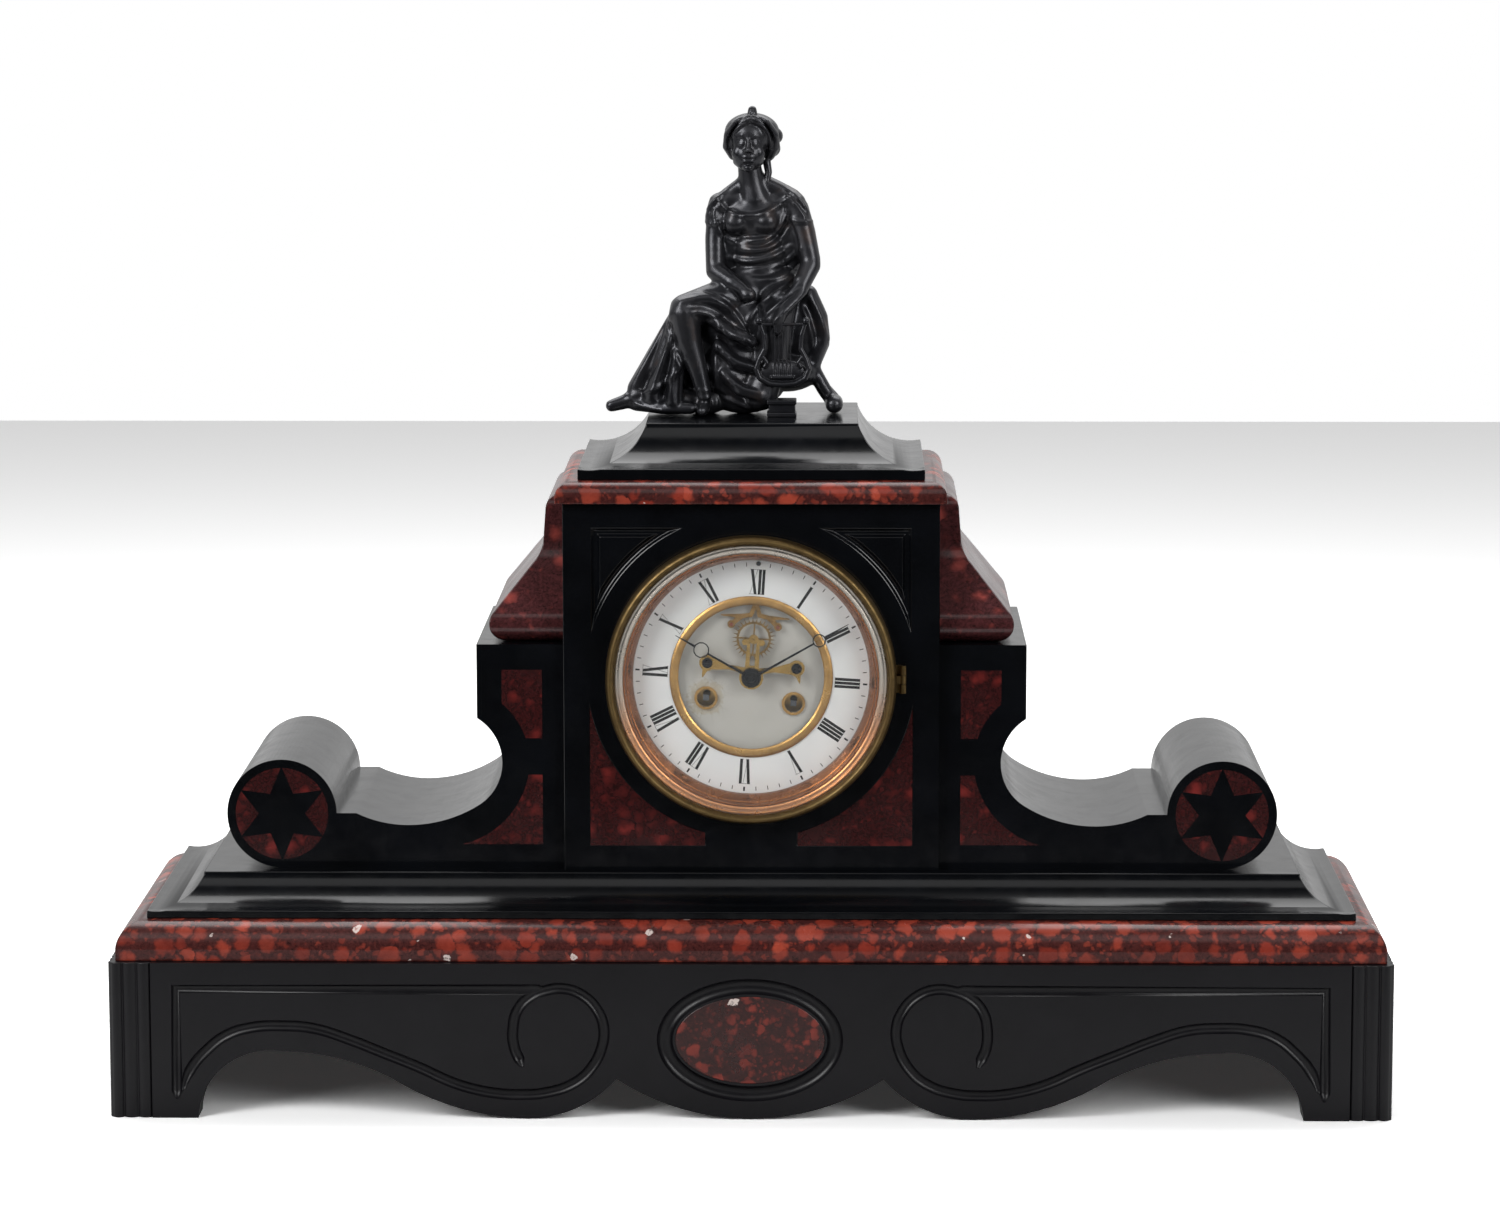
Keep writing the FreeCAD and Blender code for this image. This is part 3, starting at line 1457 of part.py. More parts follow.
def train_phases():
    """Angle of one tooth of each wheel and pinion at rest."""
    at = train_places()
    phases = {"going": 0.0, "strike": 0.0}
    toward = bearing(at["going"], at["intermediate"])
    phases["intermediate_pinion"] = meshed_phase(toward, great_teeth, 0, intermediate_pinion_leaves)
    phases["intermediate"] = 0.0
    toward = bearing(at["intermediate"], at["centre"])
    phases["centre_pinion"] = meshed_phase(toward, intermediate_teeth, 0, centre_pinion_leaves)
    phases["centre"] = 0.0
    toward = bearing(at["centre"], at["third"])
    phases["third_pinion"] = meshed_phase(toward, centre_teeth, 0, third_pinion_leaves)
    phases["third"] = 0.0
    toward = bearing(at["third"], at["escape"])
    phases["escape_pinion"] = meshed_phase(toward, third_teeth, 0, escape_pinion_leaves)
    toward = bearing(at["strike"], at["hammer_wheel"])
    phases["hammer_pinion"] = meshed_phase(toward, great_teeth, 0, intermediate_pinion_leaves)
    phases["hammer_wheel"] = 0.0
    toward = bearing(at["hammer_wheel"], at["fly"])
    phases["fly_pinion"] = meshed_phase(toward, hammer_wheel_teeth, 0, fly_pinion_leaves)
    phases["cannon"] = 0.0
    toward = bearing(at["centre"], at["minute_wheel"])
    phases["minute_wheel"] = meshed_phase(toward, cannon_leaves, 0, minute_wheel_teeth)
    phases["minute_pinion"] = 0.0
    toward = bearing(at["minute_wheel"], at["centre"])
    phases["hour_wheel"] = meshed_phase(toward, minute_pinion_leaves, 0, hour_wheel_teeth)
    return phases


place_of = train_places()
phase_of = train_phases()

# Depths of the wheels between the plates
great_wheel_y = back_plate_y - 2 * pinion_length
barrel_y = great_wheel_y - barrel_length
intermediate_y = between_y + wheel_thickness
third_y = barrel_y - wheel_thickness - 2 * end_shake
centre_wheel_y = back_plate_y - pinion_length
cannon_y = front_plate_y - pinion_length - end_shake
hour_wheel_y = cannon_y - 2 * wheel_thickness - end_shake


def plain_arbor(place, y0, y1, radius):
    return rod(place[0], place[1], radius, y0, y1)


def arbor_between_plates(place):
    """An arbor with thinner pivots that run in holes of both plates."""
    body = plain_arbor(place, between_y + end_shake, back_plate_y - end_shake, arbor_radius)
    pivots = plain_arbor(place, front_plate_y, behind_plate_y, pivot_radius)
    return [body, pivots]


def movement_front_plate():
    """Front plate with the stud that the minute wheel turns on."""
    plate = rod(0, 0, plate_radius, front_plate_y, between_y)
    plate = plate.cut(plate_holes(front_plate_y, between_y, True))
    u, w = place_of["minute_wheel"]
    stud = rod(u, w, centre_arbor_radius, hour_wheel_y - end_shake, front_plate_y)
    return fused([plate, stud])


def plate_holes(y0, y1, front):
    holes = []
    for name in ("intermediate", "third", "hammer_wheel", "fly"):
        place = place_of[name]
        holes.append(bore(place[0], place[1], pivot_radius + pivot_clearance, y0, y1))
    for side in (-1, 1):
        holes.append(bore(side * winding_x, -winding_drop, winding_pivot_radius + winding_clearance, y0, y1))
    holes.append(bore(0, anchor_height, anchor_arbor_radius + pivot_clearance, y0, y1))
    holes.append(bore(hammer_u, hammer_w, hammer_arbor_radius + pivot_clearance, y0, y1))
    centre_radius = centre_arbor_radius if front else pivot_radius
    holes.append(bore(0, 0, centre_radius + pivot_clearance, y0, y1))
    escape_radius = arbor_radius if front else pivot_radius
    holes.append(bore(0, escape_height, escape_radius + pivot_clearance, y0, y1))
    return holes


def movement_back_plate():
    """Back plate with the pillars riveted into it."""
    plate = rod(0, 0, plate_radius, back_plate_y, behind_plate_y)
    plate = plate.cut(plate_holes(back_plate_y, behind_plate_y, False))
    pillars = []
    for angle in pillar_angles:
        u, w = polar(0, 0, pillar_circle, angle)
        pillars.append(rod(u, w, pillar_radius, between_y, back_plate_y))
    return fused([plate] + pillars)


def barrel(place, radius, module):
    """Drum with its great wheel at the rear and a bore for the winding arbor."""
    u, w = place
    drum = rod(u, w, radius, barrel_y, great_wheel_y)
    wheel = wheel_disc(u, w, module, great_teeth, 0, great_wheel_y, great_wheel_y + wheel_thickness)
    opening = bore(u, w, winding_arbor_radius + winding_clearance, barrel_y - overrun,
                   great_wheel_y + wheel_thickness + overrun)
    return fused([drum, wheel]).cut(opening)


def going_barrel():
    return barrel(place_of["going"], going_barrel_radius, great_module)


def strike_barrel():
    return barrel(place_of["strike"], strike_barrel_radius, strike_great_module)


def winding_arbor(place):
    """Arbor through the barrel, with pivots in the plates and a square for the key."""
    u, w = place
    body = rod(u, w, winding_arbor_radius, between_y + end_shake, back_plate_y - end_shake)
    pivots = rod(u, w, winding_pivot_radius, front_plate_y - plate_thickness, behind_plate_y)
    half = winding_square / 2
    points = [(u - half, w - half), (u + half, w - half), (u + half, w + half), (u - half, w + half)]
    square = movement_plate(points, recess_front_y + hinge_gap, front_plate_y - plate_thickness)
    return fused([body, pivots, square])


def going_winding_arbor():
    return winding_arbor(place_of["going"])


def strike_winding_arbor():
    return winding_arbor(place_of["strike"])


def intermediate_wheel():
    u, w = place_of["intermediate"]
    wheel = wheel_disc(u, w, intermediate_module, intermediate_teeth, phase_of["intermediate"],
                       intermediate_y, intermediate_y + wheel_thickness)
    leaves = pinion(u, w, great_module, intermediate_pinion_leaves, phase_of["intermediate_pinion"],
                    great_wheel_y - end_shake, great_wheel_y + wheel_thickness + end_shake)
    return fused([wheel, leaves] + arbor_between_plates((u, w)))


def centre_wheel():
    """Centre wheel and pinion on the long arbor that carries the hands."""
    wheel = wheel_disc(0, 0, centre_module, centre_teeth, phase_of["centre"],
                       centre_wheel_y, centre_wheel_y + wheel_thickness)
    leaves = pinion(0, 0, intermediate_module, centre_pinion_leaves, phase_of["centre_pinion"],
                    intermediate_y - end_shake, intermediate_y + wheel_thickness + end_shake)
    body = rod(0, 0, centre_arbor_radius, minute_hand_y - hand_gap, back_plate_y - end_shake)
    pivot = rod(0, 0, pivot_radius, back_plate_y - end_shake, behind_plate_y)
    return fused([wheel, leaves, body, pivot])


def third_wheel():
    u, w = place_of["third"]
    wheel = wheel_disc(u, w, third_module, third_teeth, phase_of["third"], third_y, third_y + wheel_thickness)
    leaves = pinion(u, w, centre_module, third_pinion_leaves, phase_of["third_pinion"],
                    centre_wheel_y - end_shake, centre_wheel_y + wheel_thickness + end_shake)
    return fused([wheel, leaves] + arbor_between_plates((u, w)))


def escape_wheel():
    """Escape wheel in front of the dial: thirty fine pointed teeth, a thin rim and four spokes."""
    u, w = place_of["escape"]
    step = 360 / escape_teeth
    y0 = escape_wheel_y
    y1 = escape_wheel_y + escape_thickness
    ring = []
    for index in range(escape_teeth):
        middle = index * step
        ring.append(polar(u, w, escape_rim_radius, middle - step * leaf_root_share))
        ring.append(polar(u, w, escape_tip_radius, middle))
        ring.append(polar(u, w, escape_rim_radius, middle + step * leaf_root_share))
    wheel = movement_plate(ring, y0, y1)
    wheel = crossed_out(wheel, u, w, escape_rim_radius - escape_rim_width, escape_hub_radius,
                        escape_spoke_width, y0, y1)
    arbor = rod(u, w, arbor_radius, y1, back_plate_y - end_shake)
    front_pivot = rod(u, w, pivot_radius, bridge_y, y1)
    back_pivot = rod(u, w, pivot_radius, back_plate_y - end_shake, behind_plate_y)
    leaves = pinion(u, w, third_module, escape_pinion_leaves, phase_of["escape_pinion"],
                    third_y - end_shake, third_y + wheel_thickness + end_shake)
    return fused([wheel, arbor, front_pivot, back_pivot, leaves])


# Escapement in front of the dial

def bar_between(a, b, width_a, width_b, y0, y1):
    """A tapered flat bar between two places of the movement."""
    length = math.hypot(b[0] - a[0], b[1] - a[1])
    side = (-(b[1] - a[1]) / length, (b[0] - a[0]) / length)
    points = [
        (a[0] + side[0] * width_a / 2, a[1] + side[1] * width_a / 2),
        (a[0] - side[0] * width_a / 2, a[1] - side[1] * width_a / 2),
        (b[0] - side[0] * width_b / 2, b[1] - side[1] * width_b / 2),
        (b[0] + side[0] * width_b / 2, b[1] + side[1] * width_b / 2),
    ]
    return movement_plate(points, y0, y1)


def pallet_place(side):
    angle = math.radians(pallet_angle)
    return (side * pallet_circle_radius * math.sin(angle), escape_height + pallet_circle_radius * math.cos(angle))


def anchor():
    """Anchor with two curved arms, their curled tips and sockets, on the arbor that carries the crutch."""
    y1 = escape_wheel_y + escape_thickness + anchor_standoff + anchor_thickness
    y0 = y1 - anchor_thickness
    pieces = [rod(0, anchor_height, anchor_hub_radius, y0, y1)]
    for side in (-1, 1):
        socket = pallet_place(side)
        elbow = (side * anchor_arm_width, anchor_height - 3 * anchor_arm_width)
        shoulder = ((elbow[0] + socket[0]) / 2, socket[1] + 2 * anchor_arm_width)
        tip = (socket[0] + side * curl_length, socket[1] + 2 * anchor_arm_width)
        pieces.append(bar_between((0, anchor_height), elbow, anchor_arm_width, anchor_arm_width, y0, y1))
        pieces.append(bar_between(elbow, shoulder, anchor_arm_width, anchor_arm_width, y0, y1))
        pieces.append(bar_between(shoulder, socket, anchor_arm_width * 1.3, anchor_arm_width, y0, y1))
        pieces.append(bar_between(shoulder, tip, anchor_arm_width, anchor_arm_width / 4, y0, y1))
        for joint in (elbow, shoulder):
            pieces.append(rod(joint[0], joint[1], anchor_arm_width / 2, y0, y1))
        pieces.append(rod(socket[0], socket[1], pallet_socket_radius, y0, y1))
    whole = fused(pieces)
    for side in (-1, 1):
        socket = pallet_place(side)
        whole = whole.cut(rod(socket[0], socket[1], pallet_stone_radius, y0, y1))
    arbor = rod(0, anchor_height, anchor_arbor_radius, y0, crutch_y() + crutch_width)
    pivot = at_dial(0, anchor_height, crutch_y())
    inner = pendulum_rod_radius + crutch_fork_gap
    outer = inner + crutch_width
    foot = pivot.z - crutch_length
    back = pivot.y + crutch_width
    arm = box((pivot.x - crutch_width / 2, pivot.y, foot), (pivot.x + crutch_width / 2, back, pivot.z))
    bar = box((pivot.x - outer, pivot.y, foot), (pivot.x + outer, back, foot + crutch_width))
    fork_y = pendulum_y + pendulum_rod_radius + crutch_width
    pieces = [whole, arbor, arm, bar]
    for near, far in ((-outer, -inner), (inner, outer)):
        pieces.append(box((pivot.x + near, pivot.y, foot), (pivot.x + far, fork_y, foot + crutch_width)))
    return fused(pieces)


def crutch_y():
    return behind_plate_y + crutch_width


def pallet_stones():
    """Half-round red stones set in the anchor's sockets, their flat faces to the teeth."""
    stones = []
    y1 = escape_wheel_y + escape_thickness + anchor_standoff + anchor_thickness
    for side in (-1, 1):
        socket = pallet_place(side)
        stones.append(rod(socket[0], socket[1], pallet_stone_radius, y1 - pallet_stone_length, y1))
    return stones


def escapement_bridge():
    """Brass bridge: a ring round the hands, two legs up to a trefoil, and two leaf-shaped feet on posts."""
    y0 = bridge_y
    y1 = bridge_y + bridge_thickness
    pieces = [rod(0, 0, bridge_boss_radius, y0, y1), rod(0, escape_height, bridge_top_radius, y0, y1)]
    for side in (-1, 1):
        leaf = (side * (bridge_top_radius + bridge_leaf_radius), escape_height - bridge_leaf_radius)
        pieces.append(rod(leaf[0], leaf[1], bridge_leaf_radius, y0, y1))
        pieces.append(bar_between((0, escape_height), leaf, bridge_leg_width, bridge_leg_width, y0, y1))
        foot = (side * bridge_foot_x, bridge_foot_height)
        pieces.append(bar_between((side * bridge_leg_spread, escape_height),
                                  (side * bridge_leg_spread, bridge_boss_radius / 2),
                                  bridge_leg_width, bridge_leg_width * 1.6, y0, y1))
        waist = (side * bridge_foot_x / 2, bridge_foot_height * 0.75)
        pieces.append(bar_between((side * bridge_leg_spread, bridge_foot_height / 2), waist,
                                  bridge_arm_width * 1.4, bridge_arm_width, y0, y1))
        pieces.append(bar_between(waist, foot, bridge_arm_width, bridge_foot_radius * 1.7, y0, y1))
        pieces.append(rod(foot[0], foot[1], bridge_foot_radius, y0, y1))
        spur = (foot[0] + side * bridge_foot_radius / 2, foot[1] - bridge_foot_radius * 1.8)
        pieces.append(bar_between(foot, spur, bridge_foot_radius * 1.2, bridge_leg_width / 4, y0, y1))
        pieces.append(rod(foot[0], foot[1], bridge_post_radius, y1, front_plate_y))
    whole = fused(pieces)
    holes = [bore(0, 0, bridge_bore_radius, y0 - overrun, y1 + overrun),
             bore(0, escape_height, pivot_radius + pivot_clearance, y0 - overrun, y1 + overrun)]
    return whole.cut(holes)


def bridge_screws():
    """Blued screws that hold the bridge's feet."""
    screws = []
    for side in (-1, 1):
        u, w = side * bridge_foot_x, bridge_foot_height
        head = rod(u, w, screw_head_radius, bridge_y - screw_head_height, bridge_y)
        slot = movement_plate([
            (u - screw_head_radius, w - screw_slot_width / 2), (u + screw_head_radius, w - screw_slot_width / 2),
            (u + screw_head_radius, w + screw_slot_width / 2), (u - screw_head_radius, w + screw_slot_width / 2),
        ], bridge_y - screw_head_height, bridge_y - screw_head_height + screw_slot_depth)
        screws.append(head.cut(slot))
    return screws


# Motion work and hands

def motion_module(teeth_a, teeth_b):
    return 2 * (motion_distance - tooth_relief) / (teeth_a + teeth_b)


def cannon_pinion():
    """Pinion and pipe on the centre arbor; the pipe carries the minute hand."""
    module = motion_module(cannon_leaves, minute_wheel_teeth)
    leaves = pinion(0, 0, module, cannon_leaves, phase_of["cannon"], cannon_y, front_plate_y - end_shake)
    pipe = rod(0, 0, cannon_radius, minute_hand_y, front_plate_y - end_shake)
    opening = bore(0, 0, centre_arbor_radius + running_clearance, minute_hand_y - overrun,
                   front_plate_y + overrun)
    return fused([leaves, pipe]).cut(opening)


def minute_wheel():
    """Minute wheel and its pinion, bored for the stud in the front plate."""
    u, w = place_of["minute_wheel"]
    module = motion_module(cannon_leaves, minute_wheel_teeth)
    wheel = wheel_disc(u, w, module, minute_wheel_teeth, phase_of["minute_wheel"],
                       cannon_y, cannon_y + wheel_thickness)
    small = motion_module(minute_pinion_leaves, hour_wheel_teeth)
    leaves = pinion(u, w, small, minute_pinion_leaves, phase_of["minute_pinion"],
                    hour_wheel_y - end_shake, cannon_y)
    opening = bore(u, w, centre_arbor_radius + running_clearance, hour_wheel_y - overrun, front_plate_y)
    return fused([wheel, leaves]).cut(opening)


def hour_wheel():
    module = motion_module(minute_pinion_leaves, hour_wheel_teeth)
    wheel = wheel_disc(0, 0, module, hour_wheel_teeth, phase_of["hour_wheel"],
                       hour_wheel_y, hour_wheel_y + wheel_thickness)
    pipe = rod(0, 0, hour_pipe_radius, hour_hand_y, hour_wheel_y)
    opening = bore(0, 0, cannon_radius + running_clearance, hour_hand_y - overrun, hour_wheel_y + overrun)
    return fused([wheel, pipe]).cut(opening)


def moon_hand(length, ring_at, ring_radius, boss_radius, bore_radius, clock_angle, y):
    """A thin hand with a boss, a ring two thirds of the way out and a pointed tip."""
    angle = 90 - clock_angle + dial_turn
    y1 = y + hand_thickness
    inner = polar(0, 0, ring_at - ring_radius, angle)
    outer = polar(0, 0, ring_at + ring_radius - hand_ring_wall, angle)
    tip = polar(0, 0, length, angle)
    centre = polar(0, 0, ring_at, angle)
    ring = rod(centre[0], centre[1], ring_radius, y, y1)
    ring = ring.cut(bore(centre[0], centre[1], ring_radius - hand_ring_wall, y, y1))
    inner_bar = bar_between((0, 0), polar(0, 0, ring_at - ring_radius + hand_ring_wall / 2, angle),
                            hand_root_width, hand_root_width * 0.7, y, y1)
    outer_bar = bar_between(outer, tip, hand_root_width, hand_tip_width / 2, y, y1)
    boss = rod(0, 0, boss_radius, y, y1)
    return fused([boss, inner_bar, ring, outer_bar]).cut(bore(0, 0, bore_radius, y - overrun, y1 + overrun))


def hour_hand():
    return moon_hand(hour_hand_length, hour_ring_at, hour_ring_radius, hour_boss_radius,
                     cannon_radius + running_clearance, hour_hand_angle, hour_hand_y - hand_thickness)


# Front of the collet as a share of its radius
collet_taper_share = 0.7


def minute_hand():
    """Minute hand with the domed collet that holds it on the centre arbor."""
    y1 = minute_hand_y - hand_thickness
    hand = moon_hand(minute_hand_length, minute_ring_at, minute_ring_radius, minute_boss_radius,
                     centre_arbor_radius + running_clearance, minute_hand_angle, y1)
    collar = turned_in_flats([(0, y1 - collet_height), (collet_radius * collet_taper_share, y1 - collet_height),
                              (collet_radius, y1), (0, y1)], Vector(0, 0, dial_z), flat_count(collet_radius))
    opening = bore(0, 0, centre_arbor_radius + running_clearance, minute_hand_y - hand_gap, minute_hand_y)
    return fused([hand, collar.cut(opening)])


# Strike work and bell

def hammer_wheel():
    """Second strike wheel with the pins that lift the hammer."""
    u, w = place_of["hammer_wheel"]
    y0 = intermediate_y
    wheel = wheel_disc(u, w, hammer_wheel_module, hammer_wheel_teeth, phase_of["hammer_wheel"],
                       y0, y0 + wheel_thickness)
    leaves = pinion(u, w, strike_great_module, intermediate_pinion_leaves, phase_of["hammer_pinion"],
                    great_wheel_y - end_shake, great_wheel_y + wheel_thickness + end_shake)
    pins = []
    for index in range(hammer_pin_count):
        pu, pw = polar(u, w, hammer_pin_circle, 360 * index / hammer_pin_count)
        pins.append(rod(pu, pw, hammer_pin_radius, y0 + wheel_thickness, y0 + wheel_thickness + hammer_pin_length))
    return fused([wheel, leaves] + pins + arbor_between_plates((u, w)))


def fly():
    """Air brake of the strike train: two thin vanes on a pinion arbor."""
    u, w = place_of["fly"]
    leaves = pinion(u, w, hammer_wheel_module, fly_pinion_leaves, phase_of["fly_pinion"],
                    intermediate_y - end_shake, intermediate_y + wheel_thickness + end_shake)
    y0 = intermediate_y + pinion_length + wheel_thickness
    half = fly_span / 2
    points = [(u - half, w - fly_thickness), (u + half, w - fly_thickness), (u + half, w + fly_thickness),
              (u - half, w + fly_thickness)]
    vanes = movement_plate(points, y0, y0 + fly_length)
    return fused([leaves, vanes] + arbor_between_plates((u, w)))


def hammer():
    """Hammer on its own arbor: a tail that the pins lift, an arm behind the back plate and a round head."""
    arbor = rod(hammer_u, hammer_w, hammer_arbor_radius, front_plate_y, bell_mouth_y - hammer_arm_width)
    u, w = place_of["hammer_wheel"]
    reach = math.hypot(u - hammer_u, w - hammer_w)
    length = reach - hammer_pin_circle - hammer_pin_radius - hammer_tail_gap
    tail_end = (hammer_u + (u - hammer_u) * length / reach, hammer_w + (w - hammer_w) * length / reach)
    tail_y = intermediate_y + wheel_thickness + end_shake
    tail = bar_between((hammer_u, hammer_w), tail_end, hammer_arm_width, hammer_arm_width / 2,
                       tail_y, tail_y + hammer_pin_length - end_shake)
    arm_y = bell_mouth_y - 2 * hammer_arm_width
    arm = bar_between((hammer_u, hammer_w), (hammer_head_u, hammer_head_w), hammer_arm_width, hammer_arm_width,
                      arm_y, arm_y + hammer_arm_width)
    head = rod(hammer_head_u, hammer_head_w, hammer_head_radius, arm_y, arm_y + hammer_head_length)
    return fused([arbor, tail, arm, head])


# Bell profile as shares of its radius and depth, from the mouth to the crown
bell_profile_shares = [(1.0, 0.0), (0.93, 0.42), (0.68, 0.79), (0.3, 0.96)]


def bell():
    """Shallow cup bell, mouth towards the movement, with a boss and hole at its crown."""
    outer = [(radius * bell_radius, bell_mouth_y + depth * bell_depth) for radius, depth in bell_profile_shares]
    outer.append((bell_boss_radius, bell_back_y))
    outer.append((bell_hole_radius, bell_back_y))
    scale = (bell_radius - bell_wall) / bell_radius
    inner = [(radius * scale, y) for radius, y in outer[:-2]]
    lift = bell_wall
    inner = [(r, y - lift * (y - bell_mouth_y) / bell_depth) for r, y in inner]
    inner_end = (bell_hole_radius, inner[-1][1])
    return turned_in_flats(outer + [inner_end] + inner[::-1], Vector(0, 0, dial_z), bell_flat_count)


def bell_stand():
    """Steel stand from the back plate round the bell's edge to its crown, with a nut on the end."""
    top_y = bell_back_y + 2 * stand_radius
    post = rod(stand_u, stand_w, stand_radius, behind_plate_y, top_y)
    reach = bar_between((stand_u, stand_w), (0, 0), 2 * stand_radius, 2 * stand_radius,
                        bell_back_y, bell_back_y + 2 * stand_radius)
    stem = rod(0, 0, bell_hole_radius - running_clearance, bell_back_y - 2 * bell_wall, bell_back_y)
    nut = rod(0, 0, bell_boss_radius, bell_back_y + 2 * stand_radius,
              bell_back_y + 2 * stand_radius + bell_wall)
    foot = rod(stand_u, stand_w, stand_foot_radius, behind_plate_y, behind_plate_y + bell_wall)
    return fused([post, reach, stem, nut, foot])


# Pendulum and its suspension

def pendulum_pivot():
    return at_dial(0, anchor_height, pendulum_y)


def suspension_cock():
    """Cock on the back plate that clamps the suspension spring and carries the regulator."""
    half = cock_width / 2
    low = anchor_height + hinge_gap
    high = low + cock_height
    y1 = pendulum_y + cock_thickness / 2
    head = movement_plate([(-half, low), (half, low), (half, high), (-half, high)], y1 - cock_thickness, y1)
    pieces = [head]
    for side in (-1, 1):
        inner = side * (half - cock_leg_width)
        outer = side * half
        foot = low - cock_leg_width
        points = [(inner, foot), (outer, foot), (outer, low + cock_leg_width), (inner, low + cock_leg_width)]
        pieces.append(movement_plate(points, behind_plate_y, y1 - cock_thickness / 2))
    neck_points = [(-cock_leg_width, high), (cock_leg_width, high),
                   (cock_leg_width, regulator_height + cock_leg_width),
                   (-cock_leg_width, regulator_height + cock_leg_width)]
    pieces.append(movement_plate(neck_points, y1 - cock_thickness, y1))
    whole = fused(pieces)
    return whole.cut(bore(0, regulator_height, regulator_radius + running_clearance, behind_plate_y, y1))


def regulator_arbor():
    """Long thin arbor from the suspension cock to the small hole above twelve, squared for a key."""
    y0 = chapter_front_y + chapter_thickness / 2
    y1 = pendulum_y + cock_thickness / 2
    return rod(0, regulator_height, regulator_radius, y0, y1)


def pendulum_rod():
    """Suspension spring, hook and rod; the pendulum hangs plumb from the top of the spring."""
    pivot = pendulum_pivot()
    spring_top = pivot.z
    spring = box((pivot.x - spring_thickness / 2, pendulum_y - spring_width / 2, spring_top - spring_length),
                 (pivot.x + spring_thickness / 2, pendulum_y + spring_width / 2, spring_top))
    chops = box((pivot.x - pendulum_rod_radius, pendulum_y - spring_width / 2,
                 spring_top - spring_length - spring_width / 2),
                (pivot.x + pendulum_rod_radius, pendulum_y + spring_width / 2, spring_top - spring_length))
    rod_top = spring_top - spring_length - spring_width / 2
    rod_end = spring_top - pendulum_length - bob_radius - nut_height
    bar = round_bar(Vector(pivot.x, pendulum_y, rod_end), z_axis, pendulum_rod_radius, rod_top - rod_end)
    nut = round_bar(Vector(pivot.x, pendulum_y, rod_end), z_axis, nut_radius, nut_height)
    return fused([spring, chops, bar, nut])


def pendulum_bob():
    """Lens-shaped brass bob with a bore for the rod."""
    pivot = pendulum_pivot()
    centre = Vector(pivot.x, pendulum_y, pivot.z - pendulum_length)
    half = bob_thickness / 2
    edge = bob_edge / 2
    profile = [(bob_radius * 0.6, pendulum_y - half), (bob_radius, pendulum_y - edge),
               (bob_radius, pendulum_y + edge), (bob_radius * 0.6, pendulum_y + half)]
    ring = [(0, pendulum_y - half)] + profile + [(0, pendulum_y + half)]
    disc = turned_in_flats(ring, centre, bell_flat_count)
    opening = round_bore(Vector(pivot.x, pendulum_y, centre.z - bob_radius - overrun / 2), z_axis,
                         pendulum_rod_radius + running_clearance, 2 * bob_radius + overrun)
    return disc.cut(opening)


# Straps, rear ring and rear door

def casing_straps():
    """Two brass straps from the casing ring's tube to the rear ring, each with a lug for its screw."""
    straps = []
    front = pan_back_y + casing_tube_wall + strap_clearance
    back = rear_ring_y - strap_clearance
    half = strap_width / 2
    for side in (-1, 1):
        outer = side * strap_x
        inner = side * (strap_x - strap_thickness)
        end = side * (strap_x - strap_lug_length)
        strip = box((min(outer, inner), front, dial_z - half), (max(outer, inner), back, dial_z + half))
        lug = box((min(outer, end), back - strap_lug_thickness, dial_z - half),
                  (max(outer, end), back, dial_z + half))
        hole = round_bar(Vector(side * strap_screw_x, back - strap_lug_thickness, dial_z), y_axis,
                         strap_screw_radius, strap_lug_thickness + overrun)
        straps.append(fused([strip, lug]).cut(hole))
    return straps


def strap_screws():
    """Screws through the rear ring into the straps."""
    screws = []
    top = rear_ring_y + rear_ring_thickness
    for side in (-1, 1):
        foot = Vector(side * strap_screw_x, rear_ring_y - strap_clearance - strap_lug_thickness, dial_z)
        shank = round_bar(foot, y_axis, strap_screw_radius, top - foot.y)
        head = round_bar(Vector(side * strap_screw_x, top, dial_z), y_axis, strap_screw_head_radius,
                         strap_screw_head_height)
        slot = box((side * strap_screw_x - strap_screw_head_radius, top + strap_screw_head_height / 2,
                    dial_z - screw_slot_width / 2),
                   (side * strap_screw_x + strap_screw_head_radius, top + strap_screw_head_height,
                    dial_z + screw_slot_width / 2))
        screws.append(fused([shank, head]).cut(slot))
    return screws


def door_hinge_x():
    return -(door_radius + door_hinge_radius + door_hinge_offset)


def door_hinge_y():
    return rear_ring_y + rear_ring_thickness - door_hinge_radius / 2


def door_barrel(low, high, radius):
    return round_bar(Vector(door_hinge_x(), door_hinge_y(), dial_z + low), z_axis, radius, high - low)


def door_pin_bore(low, high):
    place = Vector(door_hinge_x(), door_hinge_y(), dial_z + low)
    return round_bore(place, z_axis, door_hinge_pin_radius + pivot_clearance, high - low)


